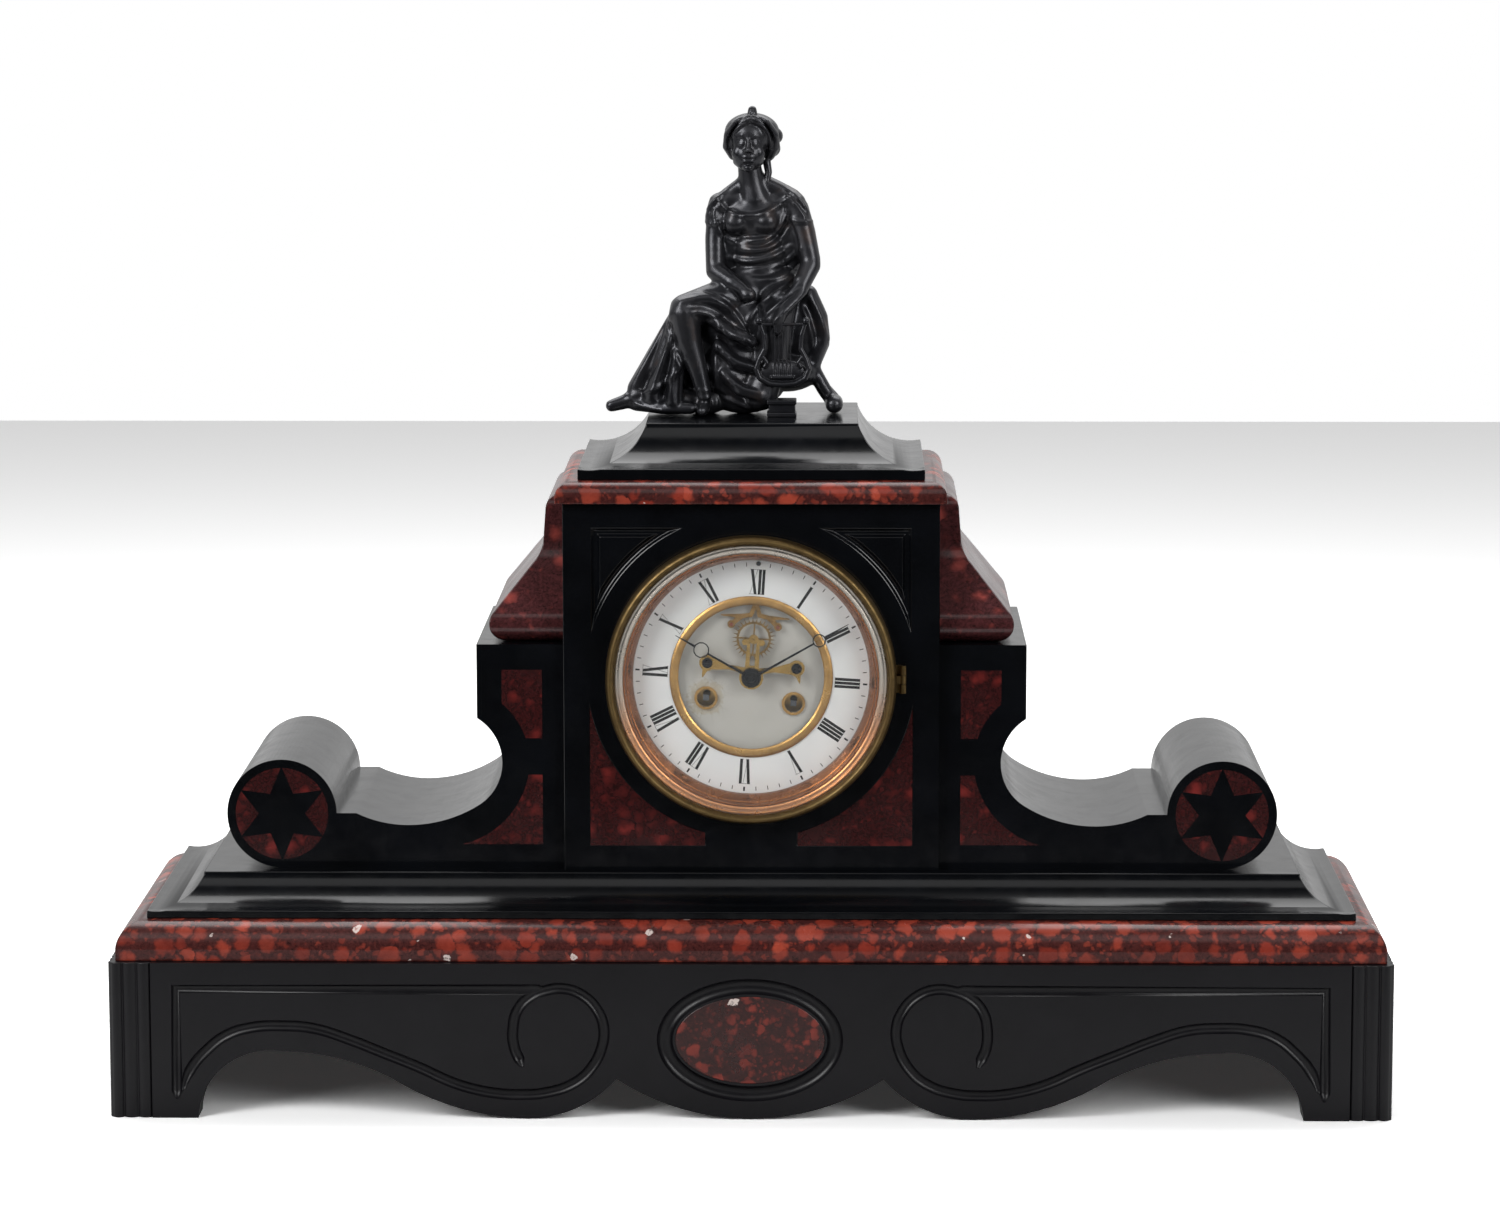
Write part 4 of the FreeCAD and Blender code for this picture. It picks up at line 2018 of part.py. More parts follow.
def rear_ring():
    """Brass ring let into the back slab, with a tube into the hole, a ledge and knuckles for the door."""
    back = rear_ring_y + rear_ring_thickness
    profile = [
        (rear_ledge_radius, rear_ring_y), (casing_tube_radius, rear_ring_y),
        (casing_tube_radius, back_y - block_wall), (casing_tube_radius + casing_tube_wall, back_y - block_wall),
        (casing_tube_radius + casing_tube_wall, rear_ring_y), (rear_ring_radius, rear_ring_y),
        (rear_ring_radius, back), (door_radius + door_clearance, back),
        (door_radius + door_clearance, rear_ring_y + rear_ledge_thickness),
        (rear_ledge_radius, rear_ring_y + rear_ledge_thickness),
    ]
    ring = turned_in_flats(profile, Vector(0, 0, dial_z), ring_flat_count)
    for side in (-1, 1):
        ring = ring.cut(round_bore(Vector(side * strap_screw_x, rear_ring_y, dial_z), y_axis,
                                   strap_screw_radius + pivot_clearance, rear_ring_thickness))
    half = door_hinge_length / 2
    third = door_hinge_length / 3
    swing = door_hinge_radius + door_clearance
    notch = box((door_hinge_x() - swing, door_hinge_y() - swing, dial_z - third / 2 - door_clearance),
                (-door_radius + door_clearance, back, dial_z + third / 2 + door_clearance))
    ring = ring.cut(notch)
    pieces = [ring, door_barrel(-half, half, door_hinge_pin_radius)]
    for low, high in ((-half, -third / 2 - door_clearance), (third / 2 + door_clearance, half)):
        pieces.append(door_barrel(low, high, door_hinge_radius))
    return fused(pieces)


def rear_door():
    """Round brass door, flush in the rear ring, with its hinge knuckle and a sunk finger hollow."""
    back = door_y + door_thickness
    profile = [
        (0, door_y), (door_radius, door_y), (door_radius, back - door_bevel / 2), (door_radius - door_bevel, back),
        (0, back),
    ]
    disc = turned_in_flats(profile, Vector(0, 0, dial_z), ring_flat_count)
    third = door_hinge_length / 3
    low = -third / 2
    high = third / 2
    tongue = box((door_hinge_x(), door_hinge_y() - door_hinge_radius / 2, dial_z + low),
                 (-door_radius + door_bevel, door_hinge_y() + door_hinge_radius / 2, dial_z + high))
    whole = fused([disc, door_barrel(low, high, door_hinge_radius), tongue])
    return whole.cut(door_pin_bore(low, high))


def build():
    os.makedirs("parts", exist_ok=True)
    left_wing = wing()
    left_console = console()
    block = corner_block()
    side_panel = base_side_panel()
    wall = block_side()
    nodes = {
        "base_front_apron": base_apron(),
        "base_corner_blocks": [block, mirrored(block)],
        "base_side_panels": [side_panel, mirrored(side_panel)],
        "base_back_panel": base_back_panel(),
        "apron_oval_inlay": apron_oval_inlay(),
        "base_red_slab": base_red_slab(),
        "plinth": plinth(),
        "block_front": block_front(),
        "block_side_slabs": [wall, mirrored(wall)],
        "block_back": block_back(),
        "corner_inlays": block_corner_inlays() + wing_inlays(),
        "left_wing": left_wing,
        "right_wing": mirrored(left_wing),
        "scroll_star_inlays": scroll_star_inlays(),
        "left_console": left_console,
        "right_console": mirrored(left_console),
        "top_red_slab": top_red_slab(),
        "cap": cap(),
        "figure": figure(),
        "casing_ring": casing_ring(),
        "bezel_ring": bezel_ring(),
        "bezel_glass": bezel_glass(),
        "sight_ring": sight_ring(),
        "dial_pan": dial_pan(),
        "chapter_ring": chapter_ring(),
        "centre_dial": centre_dial(),
        "gilt_ring": gilt_ring(),
        "winding_ferrules": winding_ferrules(),
        "movement_front_plate": movement_front_plate(),
        "movement_back_plate": movement_back_plate(),
        "going_barrel": going_barrel(),
        "strike_barrel": strike_barrel(),
        "going_winding_arbor": going_winding_arbor(),
        "strike_winding_arbor": strike_winding_arbor(),
        "intermediate_wheel": intermediate_wheel(),
        "centre_wheel": centre_wheel(),
        "third_wheel": third_wheel(),
        "escape_wheel": escape_wheel(),
        "anchor": anchor(),
        "pallet_stones": pallet_stones(),
        "escapement_bridge": escapement_bridge(),
        "bridge_screws": bridge_screws(),
        "cannon_pinion": cannon_pinion(),
        "minute_wheel": minute_wheel(),
        "hour_wheel": hour_wheel(),
        "hour_hand": hour_hand(),
        "minute_hand": minute_hand(),
        "hammer_wheel": hammer_wheel(),
        "fly": fly(),
        "hammer": hammer(),
        "bell": bell(),
        "bell_stand": bell_stand(),
        "suspension_cock": suspension_cock(),
        "regulator_arbor": regulator_arbor(),
        "pendulum_rod": pendulum_rod(),
        "pendulum_bob": pendulum_bob(),
        "rear_ring": rear_ring(),
        "rear_door": rear_door(),
        "casing_straps": casing_straps(),
        "strap_screws": strap_screws(),
    }
    for name, shape in nodes.items():
        save(name, shape)


build()
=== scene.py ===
import json
import math

import bmesh
import bpy
from mathutils import Matrix, Vector
from mathutils.bvhtree import BVHTree
from mathutils.kdtree import KDTree

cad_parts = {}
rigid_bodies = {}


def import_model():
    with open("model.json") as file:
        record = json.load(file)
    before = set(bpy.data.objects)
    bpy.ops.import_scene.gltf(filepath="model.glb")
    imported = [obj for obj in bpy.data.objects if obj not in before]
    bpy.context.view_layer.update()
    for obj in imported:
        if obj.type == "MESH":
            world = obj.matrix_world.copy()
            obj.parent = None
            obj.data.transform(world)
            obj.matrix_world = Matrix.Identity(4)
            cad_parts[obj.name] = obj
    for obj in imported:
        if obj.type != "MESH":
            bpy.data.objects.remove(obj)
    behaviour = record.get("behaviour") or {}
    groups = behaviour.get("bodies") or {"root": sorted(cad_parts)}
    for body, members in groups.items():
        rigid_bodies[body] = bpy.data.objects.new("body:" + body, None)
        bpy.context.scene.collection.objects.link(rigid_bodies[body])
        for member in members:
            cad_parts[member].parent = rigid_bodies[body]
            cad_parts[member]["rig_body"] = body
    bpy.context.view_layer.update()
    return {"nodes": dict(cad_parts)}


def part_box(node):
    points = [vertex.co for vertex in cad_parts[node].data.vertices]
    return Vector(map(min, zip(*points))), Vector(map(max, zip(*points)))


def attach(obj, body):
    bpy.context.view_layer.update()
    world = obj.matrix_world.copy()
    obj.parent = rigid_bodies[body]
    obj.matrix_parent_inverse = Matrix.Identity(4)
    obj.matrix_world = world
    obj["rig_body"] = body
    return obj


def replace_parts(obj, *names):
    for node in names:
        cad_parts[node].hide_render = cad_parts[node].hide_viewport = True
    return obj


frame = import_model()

# Slate mantel clock with red marble mouldings, a round enamel dial with a visible escapement, and a seated figure.
# Metres throughout; sizes that are easier to read in millimetres carry the factor below.
MM = 0.001

# Places that the pieces share with the solids
DIAL_Z = 216.6 * MM
DIAL_TURN = math.radians(3.7)
APRON_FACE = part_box("base_front_apron")[0].y
CHAPTER_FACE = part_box("chapter_ring")[0].y
RECESS_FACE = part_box("centre_dial")[0].y
FIGURE_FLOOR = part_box("cap")[1].z

bpy.context.scene.view_settings.view_transform = "Standard"


# Materials

# Settings that many nodes share, and the places of a colour mix's two colours among its inputs
OF_COLOURS = {"data_type": "RGBA"}
SOFT_STEP = {"interpolation_type": "SMOOTHSTEP"}
CELLS = {"feature": "F1"}
TIMES, MINUS, GREATER, TIMES_PLUS = (
    {"operation": way} for way in ("MULTIPLY", "SUBTRACT", "MAXIMUM", "MULTIPLY_ADD"))
COLOUR_A, COLOUR_B = 6, 7


def linear(hex_colour):
    """An sRGB hex colour as the linear values that a shader takes."""
    parts = [int(hex_colour[i:i + 2], 16) / 255 for i in (1, 3, 5)]
    return tuple(c / 12.92 if c <= 0.04045 else ((c + 0.055) / 1.055) ** 2.4 for c in parts) + (1.0,)


def node(tree, kind, inputs=None, settings=None, stops=()):
    """Adds one node; an input takes a value, the socket that feeds it or a node whose first live output does."""
    made = tree.nodes.new(kind)
    for name, value in (settings or {}).items():
        setattr(made, name, value)
    for name, value in (inputs or {}).items():
        if isinstance(value, bpy.types.Node):
            value = next(output for output in value.outputs if output.enabled)
        if isinstance(value, bpy.types.NodeSocket):
            tree.links.new(value, made.inputs[name])
        else:
            made.inputs[name].default_value = value
    for index, (place, hex_colour) in enumerate(stops):
        ramp = made.color_ramp
        element = ramp.elements[index] if index < 2 else ramp.elements.new(1.0)
        element.position = place
        element.color = linear(hex_colour)
    return made


def begin(name, settings, size_mm, detail, roughness=0.5):
    """A material with the values that are the same all over it, and the soft clouds that vary the rest."""
    material = bpy.data.materials.new(name)
    material.use_nodes = True
    tree = material.node_tree
    for key, value in settings.items():
        tree.nodes["Principled BSDF"].inputs[key].default_value = value
    place = tree.nodes.new("ShaderNodeTexCoord").outputs["Object"]
    clouds = node(tree, "ShaderNodeTexNoise", {
        "Vector": place, "Scale": 1 / (size_mm * MM), "Detail": detail, "Roughness": roughness})
    return material, tree, place, clouds


def finish_with(material, colour, gloss, relief):
    """Feeds the colour, the gloss from a field over a range, and the fine relief from a field and its depth."""
    tree = material.node_tree
    field, field_low, field_high, low, high = gloss
    rough = node(tree, "ShaderNodeMapRange", {
        "Value": field, "From Min": field_low, "From Max": field_high, "To Min": low, "To Max": high})
    field, strength, depth_mm = relief
    bump = node(tree, "ShaderNodeBump", {"Height": field, "Strength": strength, "Distance": depth_mm * MM})
    shader = tree.nodes["Principled BSDF"]
    for name, socket in (("Base Color", colour), ("Roughness", rough.outputs[0]), ("Normal", bump.outputs[0])):
        tree.links.new(socket, shader.inputs[name])
    return material


def slate(name, dark, light, low_polish, high_polish, grain_mm, ior=1.5):
    """Dense black slate. Sawn flat and polished, it is nearly featureless, with faint clouds and hand smears in
    its gloss and a very fine tooth; honed and not polished, it reflects less."""
    material, tree, place, clouds = begin(name, {"IOR": ior}, 38, 5.0, 0.6)
    colour = node(tree, "ShaderNodeValToRGB", {"Fac": clouds}, stops=[(0.3, dark), (0.72, light)])
    smears = node(tree, "ShaderNodeTexNoise", {
        "Vector": place, "Scale": 1 / (14 * MM), "Detail": 6.0, "Roughness": 0.62, "Distortion": 0.6})
    tooth = node(tree, "ShaderNodeTexNoise", {"Vector": place, "Scale": 1 / (grain_mm * MM), "Detail": 2.0})
    return finish_with(material, colour.outputs["Color"], (smears, 0.3, 0.75, low_polish, high_polish),
                       (tooth, 0.06, 0.02))


def blobs(tree, place, size_mm, low_radius, high_radius, softness):
    """Rounded lumps of stone: each grows from its own seed to its own radius, with a soft edge."""
    seeds = node(tree, "ShaderNodeTexVoronoi", {
        "Vector": place, "Scale": 1 / (size_mm * MM), "Randomness": 1.0}, CELLS)
    own = node(tree, "ShaderNodeSeparateColor", {"Color": seeds.outputs["Color"]})
    radius = node(tree, "ShaderNodeMapRange", {
        "Value": own.outputs["Red"], "To Min": low_radius, "To Max": high_radius})
    inside = node(tree, "ShaderNodeMath", {0: radius, 1: seeds.outputs["Distance"]}, MINUS)
    mask = node(tree, "ShaderNodeMapRange", {"Value": inside, "From Min": 0.0, "From Max": softness}, SOFT_STEP)
    return mask, own.outputs["Green"]


def griotte(name, matrix, reds, size_mm, radii, softness, flecks, polish):
    """Griotte marble: rounded cherry lumps in a brown-black ground, thin dark veins, and in the richest bed a few
    white curved shells; ground flat and waxed."""
    material, tree, place, clouds = begin(name, {"IOR": 1.52}, 34, 4.0, 0.6)
    warp = node(tree, "ShaderNodeTexNoise", {
        "Vector": place, "Scale": 1 / (7 * MM), "Detail": 4.0, "Roughness": 0.55})
    centred = node(tree, "ShaderNodeVectorMath", {0: warp.outputs["Color"], 1: (0.5, 0.5, 0.5)}, MINUS)
    pushed = node(tree, "ShaderNodeVectorMath", {0: centred, 1: (8 * MM, 8 * MM, 8 * MM), 2: place}, TIMES_PLUS)
    large, large_own = blobs(tree, pushed, size_mm, radii[0], radii[1], softness)
    small, _ = blobs(tree, pushed, size_mm * 0.42, radii[0] * 0.8, radii[1] * 0.85, softness)
    dim_small = node(tree, "ShaderNodeMath", {0: small, 1: 0.55}, TIMES)
    lumps = node(tree, "ShaderNodeMath", {0: large, 1: dim_small}, GREATER)
    richness = node(tree, "ShaderNodeMapRange", {
        "Value": clouds, "From Min": 0.34, "From Max": 0.58, "To Min": 0.4})
    body = node(tree, "ShaderNodeMath", {0: lumps, 1: richness}, TIMES)
    grain = node(tree, "ShaderNodeTexNoise", {
        "Vector": pushed, "Scale": 1 / (1.8 * MM), "Detail": 5.0, "Roughness": 0.7})
    shade = node(tree, "ShaderNodeMath", {0: grain, 1: 0.7, 2: large_own}, TIMES_PLUS)
    red = node(tree, "ShaderNodeMapRange", {"Value": shade, "From Min": 0.25, "From Max": 1.35})
    red_mix = node(tree, "ShaderNodeMix", {
        0: red, COLOUR_A: linear(reds[0]), COLOUR_B: linear(reds[1])}, OF_COLOURS)
    ground = node(tree, "ShaderNodeValToRGB", {"Fac": grain}, stops=[(0.34, matrix[0]), (0.68, matrix[1])])
    stone = node(tree, "ShaderNodeMix", {0: body, COLOUR_A: ground, COLOUR_B: red_mix}, OF_COLOURS)
    vein_field = node(tree, "ShaderNodeTexNoise", {
        "Vector": pushed, "Scale": 1 / (24 * MM), "Detail": 4.0, "Roughness": 0.55},
        {"noise_type": "RIDGED_MULTIFRACTAL"})
    veins = node(tree, "ShaderNodeMapRange", {
        "Value": vein_field, "From Min": 0.8, "From Max": 1.0, "To Max": 0.6})
    colour = node(tree, "ShaderNodeMix", {0: veins, COLOUR_A: stone, COLOUR_B: linear(matrix[0])}, OF_COLOURS)
    if flecks:
        shells = node(tree, "ShaderNodeTexVoronoi", {
            "Vector": pushed, "Scale": 1 / (12 * MM), "Randomness": 1.0}, CELLS)
        rare = node(tree, "ShaderNodeSeparateColor", {"Color": shells.outputs["Color"]})
        wide = node(tree, "ShaderNodeMapRange", {
            "Value": rare.outputs["Blue"], "From Min": 1 - flecks, "From Max": 1.0, "To Max": 0.22})
        near = node(tree, "ShaderNodeMath", {0: wide, 1: shells.outputs["Distance"]}, MINUS)
        disc = node(tree, "ShaderNodeMapRange", {"Value": near, "From Min": 0.0, "From Max": 0.02})
        hollow = node(tree, "ShaderNodeMapRange", {"Value": near, "From Min": 0.2, "From Max": 0.1})
        broken = node(tree, "ShaderNodeMapRange", {
            "Value": grain, "From Min": 0.34, "From Max": 0.46, "To Max": 0.9})
        rim = node(tree, "ShaderNodeMath", {0: disc, 1: hollow}, TIMES)
        mask = node(tree, "ShaderNodeMath", {0: rim, 1: broken}, TIMES)
        colour = node(tree, "ShaderNodeMix", {0: mask, COLOUR_A: colour, COLOUR_B: linear("#e2d2cb")}, OF_COLOURS)
    return finish_with(material, colour.outputs[2], (clouds, 0.3, 0.7, polish, polish + 0.1), (grain, 0.08, 0.03))


def turned_brass(name, clean, aged, polish, line_mm, blotch, painted_top_colour=None):
    """Cast brass turned in a lathe and lacquered long ago: fine rings about the dial's axis and brown tarnish;
    where a top colour is given, the upper part is painted pale grey as a painted reflection of the light above."""
    material, tree, place, stain = begin(name, {"Metallic": 1.0}, 9, 6.0, 0.65)
    centred = node(tree, "ShaderNodeMapping", {"Vector": place, "Location": (0.0, 0.0, -DIAL_Z)})
    rings = node(tree, "ShaderNodeTexWave", {
        "Vector": centred, "Scale": 1 / (line_mm * MM * 20), "Distortion": 1.2, "Detail": 3.0,
        "Detail Scale": 4.0}, {"wave_type": "RINGS", "rings_direction": "Y"})
    spread = node(tree, "ShaderNodeMapRange", {
        "Value": stain, "From Min": 0.38, "From Max": 0.68, "To Max": blotch})
    colour = node(tree, "ShaderNodeMix", {0: spread, COLOUR_A: linear(clean), COLOUR_B: linear(aged)}, OF_COLOURS)
    # Painted reflection: pale grey painted over the upper part, where light from above would be mirrored
    if painted_top_colour:
        height = node(tree, "ShaderNodeSeparateXYZ", {"Vector": centred})
        painted_top_sheen = node(tree, "ShaderNodeMapRange", {
            "Value": height.outputs["Z"], "From Min": -34 * MM, "From Max": 4 * MM, "To Max": 0.9}, SOFT_STEP)
        colour = node(tree, "ShaderNodeMix", {0: painted_top_sheen, COLOUR_A: colour, COLOUR_B: linear(painted_top_colour)}, OF_COLOURS)
    return finish_with(material, colour.outputs[2], (stain, 0.35, 0.7, polish, polish + 0.16),
                       (rings.outputs["Fac"], 0.1, 0.02))


def grained_metal(name, clean, aged, polish, grain_mm):
    """Sheet or bar metal finished with a fine stone: straight grain, soft blotches."""
    material, tree, place, stain = begin(name, {"Metallic": 1.0}, 6, 5.0)
    grain = node(tree, "ShaderNodeMapping", {"Vector": place, "Scale": (1.0, 6.0, 1.0)})
    lines = node(tree, "ShaderNodeTexNoise", {"Vector": grain, "Scale": 1 / (grain_mm * MM), "Detail": 3.0})
    mask = node(tree, "ShaderNodeMapRange", {"Value": stain, "From Min": 0.4, "From Max": 0.7, "To Max": 0.5})
    colour = node(tree, "ShaderNodeMix", {0: mask, COLOUR_A: linear(clean), COLOUR_B: linear(aged)}, OF_COLOURS)
    return finish_with(material, colour.outputs[2], (lines, 0.3, 0.7, polish, polish + 0.12), (lines, 0.04, 0.02))


def enamel(name, white, shade, chip_at=None):
    """Vitreous enamel on copper: milk white with a faint cool bloom, glassy, slightly uneven from the kiln."""
    material, tree, place, bloom = begin(
        name, {"IOR": 1.5, "Coat Weight": 0.3, "Coat Roughness": 0.06}, 30, 3.0)
    colour = node(tree, "ShaderNodeValToRGB", {"Fac": bloom}, stops=[(0.3, white), (0.75, shade)]).outputs[0]
    if chip_at:
        # Old chips round the winding hole have let brown oil creep under the glaze
        near = node(tree, "ShaderNodeVectorMath", {0: place, 1: chip_at}, {"operation": "DISTANCE"})
        near = near.outputs["Value"]
        ragged = node(tree, "ShaderNodeTexNoise", {
            "Vector": place, "Scale": 1 / (2.6 * MM), "Detail": 6.0, "Roughness": 0.7})
        reach = node(tree, "ShaderNodeMath", {0: ragged, 1: -16 * MM, 2: near}, TIMES_PLUS)
        mask = node(tree, "ShaderNodeMapRange", {
            "Value": reach, "From Min": 1.6 * MM, "From Max": 0.2 * MM, "To Max": 0.5})
        stained = node(tree, "ShaderNodeMix", {
            0: mask, COLOUR_A: colour, COLOUR_B: linear("#a89878")}, OF_COLOURS)
        cracks = node(tree, "ShaderNodeTexVoronoi", {
            "Vector": place, "Scale": 1 / (7 * MM), "Randomness": 1.0}, {"feature": "DISTANCE_TO_EDGE"})
        thin = node(tree, "ShaderNodeMapRange", {
            "Value": cracks.outputs["Distance"], "From Min": 0.02, "From Max": 0.0, "To Max": 0.6})
        fading = node(tree, "ShaderNodeMapRange", {"Value": near, "From Min": 15 * MM, "From Max": 8 * MM})
        hair = node(tree, "ShaderNodeMath", {0: thin, 1: fading}, TIMES)
        colour = node(tree, "ShaderNodeMix", {
            0: hair, COLOUR_A: stained, COLOUR_B: linear("#776b56")}, OF_COLOURS).outputs[2]
    kiln = node(tree, "ShaderNodeTexNoise", {"Vector": place, "Scale": 1 / (12 * MM), "Detail": 2.0})
    return finish_with(material, colour, (bloom, 0.0, 1.0, 0.14, 0.26), (kiln, 0.05, 0.1))


def bevelled_crystal():
    """Plate glass with a ground and polished bevel; light passes to the dial through it."""
    material, tree, _, dust = begin(
        "bevelled_plate_glass", {"IOR": 1.5, "Transmission Weight": 1.0, "Roughness": 0.0}, 16, 5.0)
    tone = node(tree, "ShaderNodeValToRGB", {"Fac": dust}, stops=[(0.3, "#fdfefe"), (0.8, "#f6f8f7")])
    shader = tree.nodes["Principled BSDF"]
    tree.links.new(tone.outputs["Color"], shader.inputs["Base Color"])
    rays = tree.nodes.new("ShaderNodeLightPath")
    clear = node(tree, "ShaderNodeBsdfTransparent", {"Color": (0.96, 0.96, 0.96, 1.0)})
    through = node(tree, "ShaderNodeMath", {
        0: rays.outputs["Is Shadow Ray"], 1: rays.outputs["Is Diffuse Ray"]}, GREATER)
    mixed = node(tree, "ShaderNodeMixShader", {0: through, 1: shader, 2: clear})
    tree.links.new(mixed.outputs["Shader"], tree.nodes["Material Output"].inputs["Surface"])
    return material


def black_bronze():
    """Spelter cast hollow and patinated black: waxy low gloss, brown where hands have rubbed it thin."""
    material, tree, place, rub = begin(
        "patinated_spelter", {"Metallic": 0.7, "Coat Weight": 0.35, "Coat Roughness": 0.22}, 17, 5.0, 0.6)
    colour = node(tree, "ShaderNodeValToRGB", {"Fac": rub},
                  stops=[(0.35, "#2e2f34"), (0.6, "#38383c"), (0.84, "#4c3b32")])
    skin = node(tree, "ShaderNodeTexNoise", {"Vector": place, "Scale": 1 / (1.1 * MM), "Detail": 4.0})
    return finish_with(material, colour.outputs["Color"], (rub, 0.3, 0.75, 0.32, 0.44), (skin, 0.12, 0.05))


def clouded(name, settings, size_mm, detail, stops, polish, relief_mm):
    """A dense surface whose colour, gloss and relief all follow the same fine clouds."""
    material, tree, _, clouds = begin(name, settings, size_mm, detail)
    colour = node(tree, "ShaderNodeValToRGB", {"Fac": clouds}, stops=stops)
    return finish_with(material, colour.outputs["Color"], (clouds, 0.0, 1.0, *polish), (clouds, 0.05, relief_mm))


POLISHED_SLATE = slate("polished_black_slate", "#050608", "#0c0e12", 0.13, 0.24, 0.6)
SAWN_SLATE = slate("sawn_slate", "#2b2c2f", "#3a3b3f", 0.7, 0.85, 0.4)
HONED_SLATE = slate("honed_black_slate", "#09080c", "#0f0e12", 0.3, 0.42, 0.5, 1.41)
SLAB_MARBLE = griotte("griotte_marble_slab", ("#301413", "#552825"), ("#842d21", "#ad4835"), 10.0, (0.34, 0.66),
                      0.22, 0.6, 0.2)
OVAL_MARBLE = griotte("griotte_marble_oval", ("#1f0a09", "#3c1614"), ("#5a1f1a", "#863126"), 7.0, (0.32, 0.62),
                      0.24, 0.16, 0.24)
INLAY_MARBLE = griotte("griotte_marble_inlay", ("#200b0b", "#401718"), ("#571d1c", "#8a2e2a"), 9.0,
                       (0.2, 0.62), 0.5, 0.0, 0.2)
DARK_MARBLE = griotte("griotte_marble_dark", ("#2c1616", "#582c2e"), ("#823630", "#b6544c"), 12.0, (0.12, 0.58),
                      0.5, 0.0, 0.16)
OLD_BRASS = turned_brass("lacquered_cast_brass", "#7c6743", "#50402a", 0.4, 0.5, 0.7)
COPPERY_BRASS = turned_brass("coppered_spun_brass", "#92582c", "#5c3418", 0.22, 0.35, 0.5)
GILT_BRASS = turned_brass("gilt_turned_brass", "#a8834e", "#6b4f2c", 0.26, 0.3, 0.6)
CLOCK_BRASS = grained_metal("stoned_clock_brass", "#b3925a", "#7c5f32", 0.28, 0.5)
BRIDGE_BRASS = grained_metal("polished_bridge_brass", "#9a7c46", "#66502a", 0.2, 0.4)
# The coppered bead is painted pale grey over its top as a painted reflection of the light above
BEAD_BRASS = turned_brass("copper_bead_painted_top_sheen", "#b87c4c", "#7c4e2c", 0.24, 0.35, 0.5, "#a8a39b")
# Painted shade: the dial pan is near-black brass, so the recess seen through the dial's holes reads as shade
PAN_BRASS_PAINTED_SHADE = grained_metal("pan_brass_painted_shade", "#15110b", "#0d0a07", 0.4, 0.4)
ESCAPE_BRASS = grained_metal("aged_escape_brass", "#7a6036", "#4c3a1e", 0.24, 0.4)
ARBOR_STEEL = grained_metal("dark_arbor_steel", "#54565a", "#34363a", 0.3, 0.4)
ANCHOR_BRASS = grained_metal("brown_lacquered_anchor", "#86683c", "#4a351b", 0.26, 0.4)
CLOCK_STEEL = grained_metal("ground_clock_steel", "#8d8f92", "#5e5f60", 0.28, 0.4)
BLUED_STEEL = grained_metal("blued_steel", "#0d0f14", "#171920", 0.24, 0.4)
BELL_BRONZE = turned_brass("turned_bell_bronze", "#b99a62", "#7d6238", 0.24, 0.8, 0.5)
WHITE_ENAMEL = enamel("white_hour_enamel", "#f4f5f3", "#ecedee")
# Black enamel paint fired on the dial: dense, a little matt, thinner in places
PAINT = clouded("fired_black_paint", {"IOR": 1.45, "Specular IOR Level": 0.15}, 1.2, 4.0,
                [(0.4, "#050506"), (0.85, "#141416")], (0.3, 0.5), 0.02)
CRYSTAL = bevelled_crystal()
PATINATED = black_bronze()
# Cut and polished: deep red, a little light goes in
CARNELIAN = clouded("carnelian", {"IOR": 1.54, "Transmission Weight": 0.25}, 1.5, 3.0,
                    [(0.3, "#5a1a10"), (0.75, "#9a3a1e")], (0.08, 0.2), 0.05)


# Making pieces

# Least cosine that counts as facing straight forwards or back, and greatest that counts as a shallow bend
FACING = 0.9995
SHALLOW = 0.9998
# Faces that meet at more than this angle get an eased arris
ARRIS_ANGLE = 30.0
# Steps of a full turn about the dial's axis
TURN_STEPS = 180
# Steps round an eased corner of a turned section
ROUND_STEPS = 4


def as_mesh(bm, name):
    """A mesh from a bmesh, which is freed."""
    mesh = bpy.data.meshes.new(name)
    bm.to_mesh(mesh)
    bm.free()
    return mesh


def placed(name, data):
    """An object in the scene for a mesh, a curve, a lamp or a camera."""
    made = bpy.data.objects.new(name, data)
    bpy.context.scene.collection.objects.link(made)
    return made


def dressed(mesh, name, material, body, smooth_under):
    """A finished piece from a mesh, smooth where its faces meet at less than the angle."""
    for polygon in mesh.polygons:
        polygon.use_smooth = True
    mesh.set_sharp_from_angle(angle=math.radians(smooth_under))
    mesh.materials.clear()
    mesh.materials.append(material)
    piece = placed(name, mesh)
    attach(piece, body)
    return piece


def piece_from(bm, name, material, body, smooth_under=35.0):
    """The same from a bmesh, whose doubles are merged and whose faces are turned outwards first."""
    bmesh.ops.remove_doubles(bm, verts=bm.verts, dist=0.0005 * MM)
    bmesh.ops.recalc_face_normals(bm, faces=bm.faces)
    return dressed(as_mesh(bm, name), name, material, body, smooth_under)


def crisp_flats(mesh):
    """Keeps the flats that face the front or the back crisp against shallow neighbours."""
    bm = bmesh.new()
    bm.from_mesh(mesh)
    for edge in bm.edges:
        if len(edge.link_faces) == 2:
            first, second = edge.link_faces
            flat = max(abs(first.normal.y), abs(second.normal.y)) > FACING
            if flat and first.normal.dot(second.normal) < SHALLOW:
                edge.smooth = False
    bm.to_mesh(mesh)
    bm.free()


def merged_copy(node_name, whole_faces=True):
    """A solid's mesh with its loose triangles joined and, where it helps, its flat faces made whole."""
    bm = bmesh.new()
    bm.from_mesh(frame["nodes"][node_name].data)
    bmesh.ops.remove_doubles(bm, verts=bm.verts, dist=0.001 * MM)
    if whole_faces:
        bmesh.ops.dissolve_limit(bm, angle_limit=math.radians(0.6), verts=bm.verts, edges=bm.edges)
    return bm


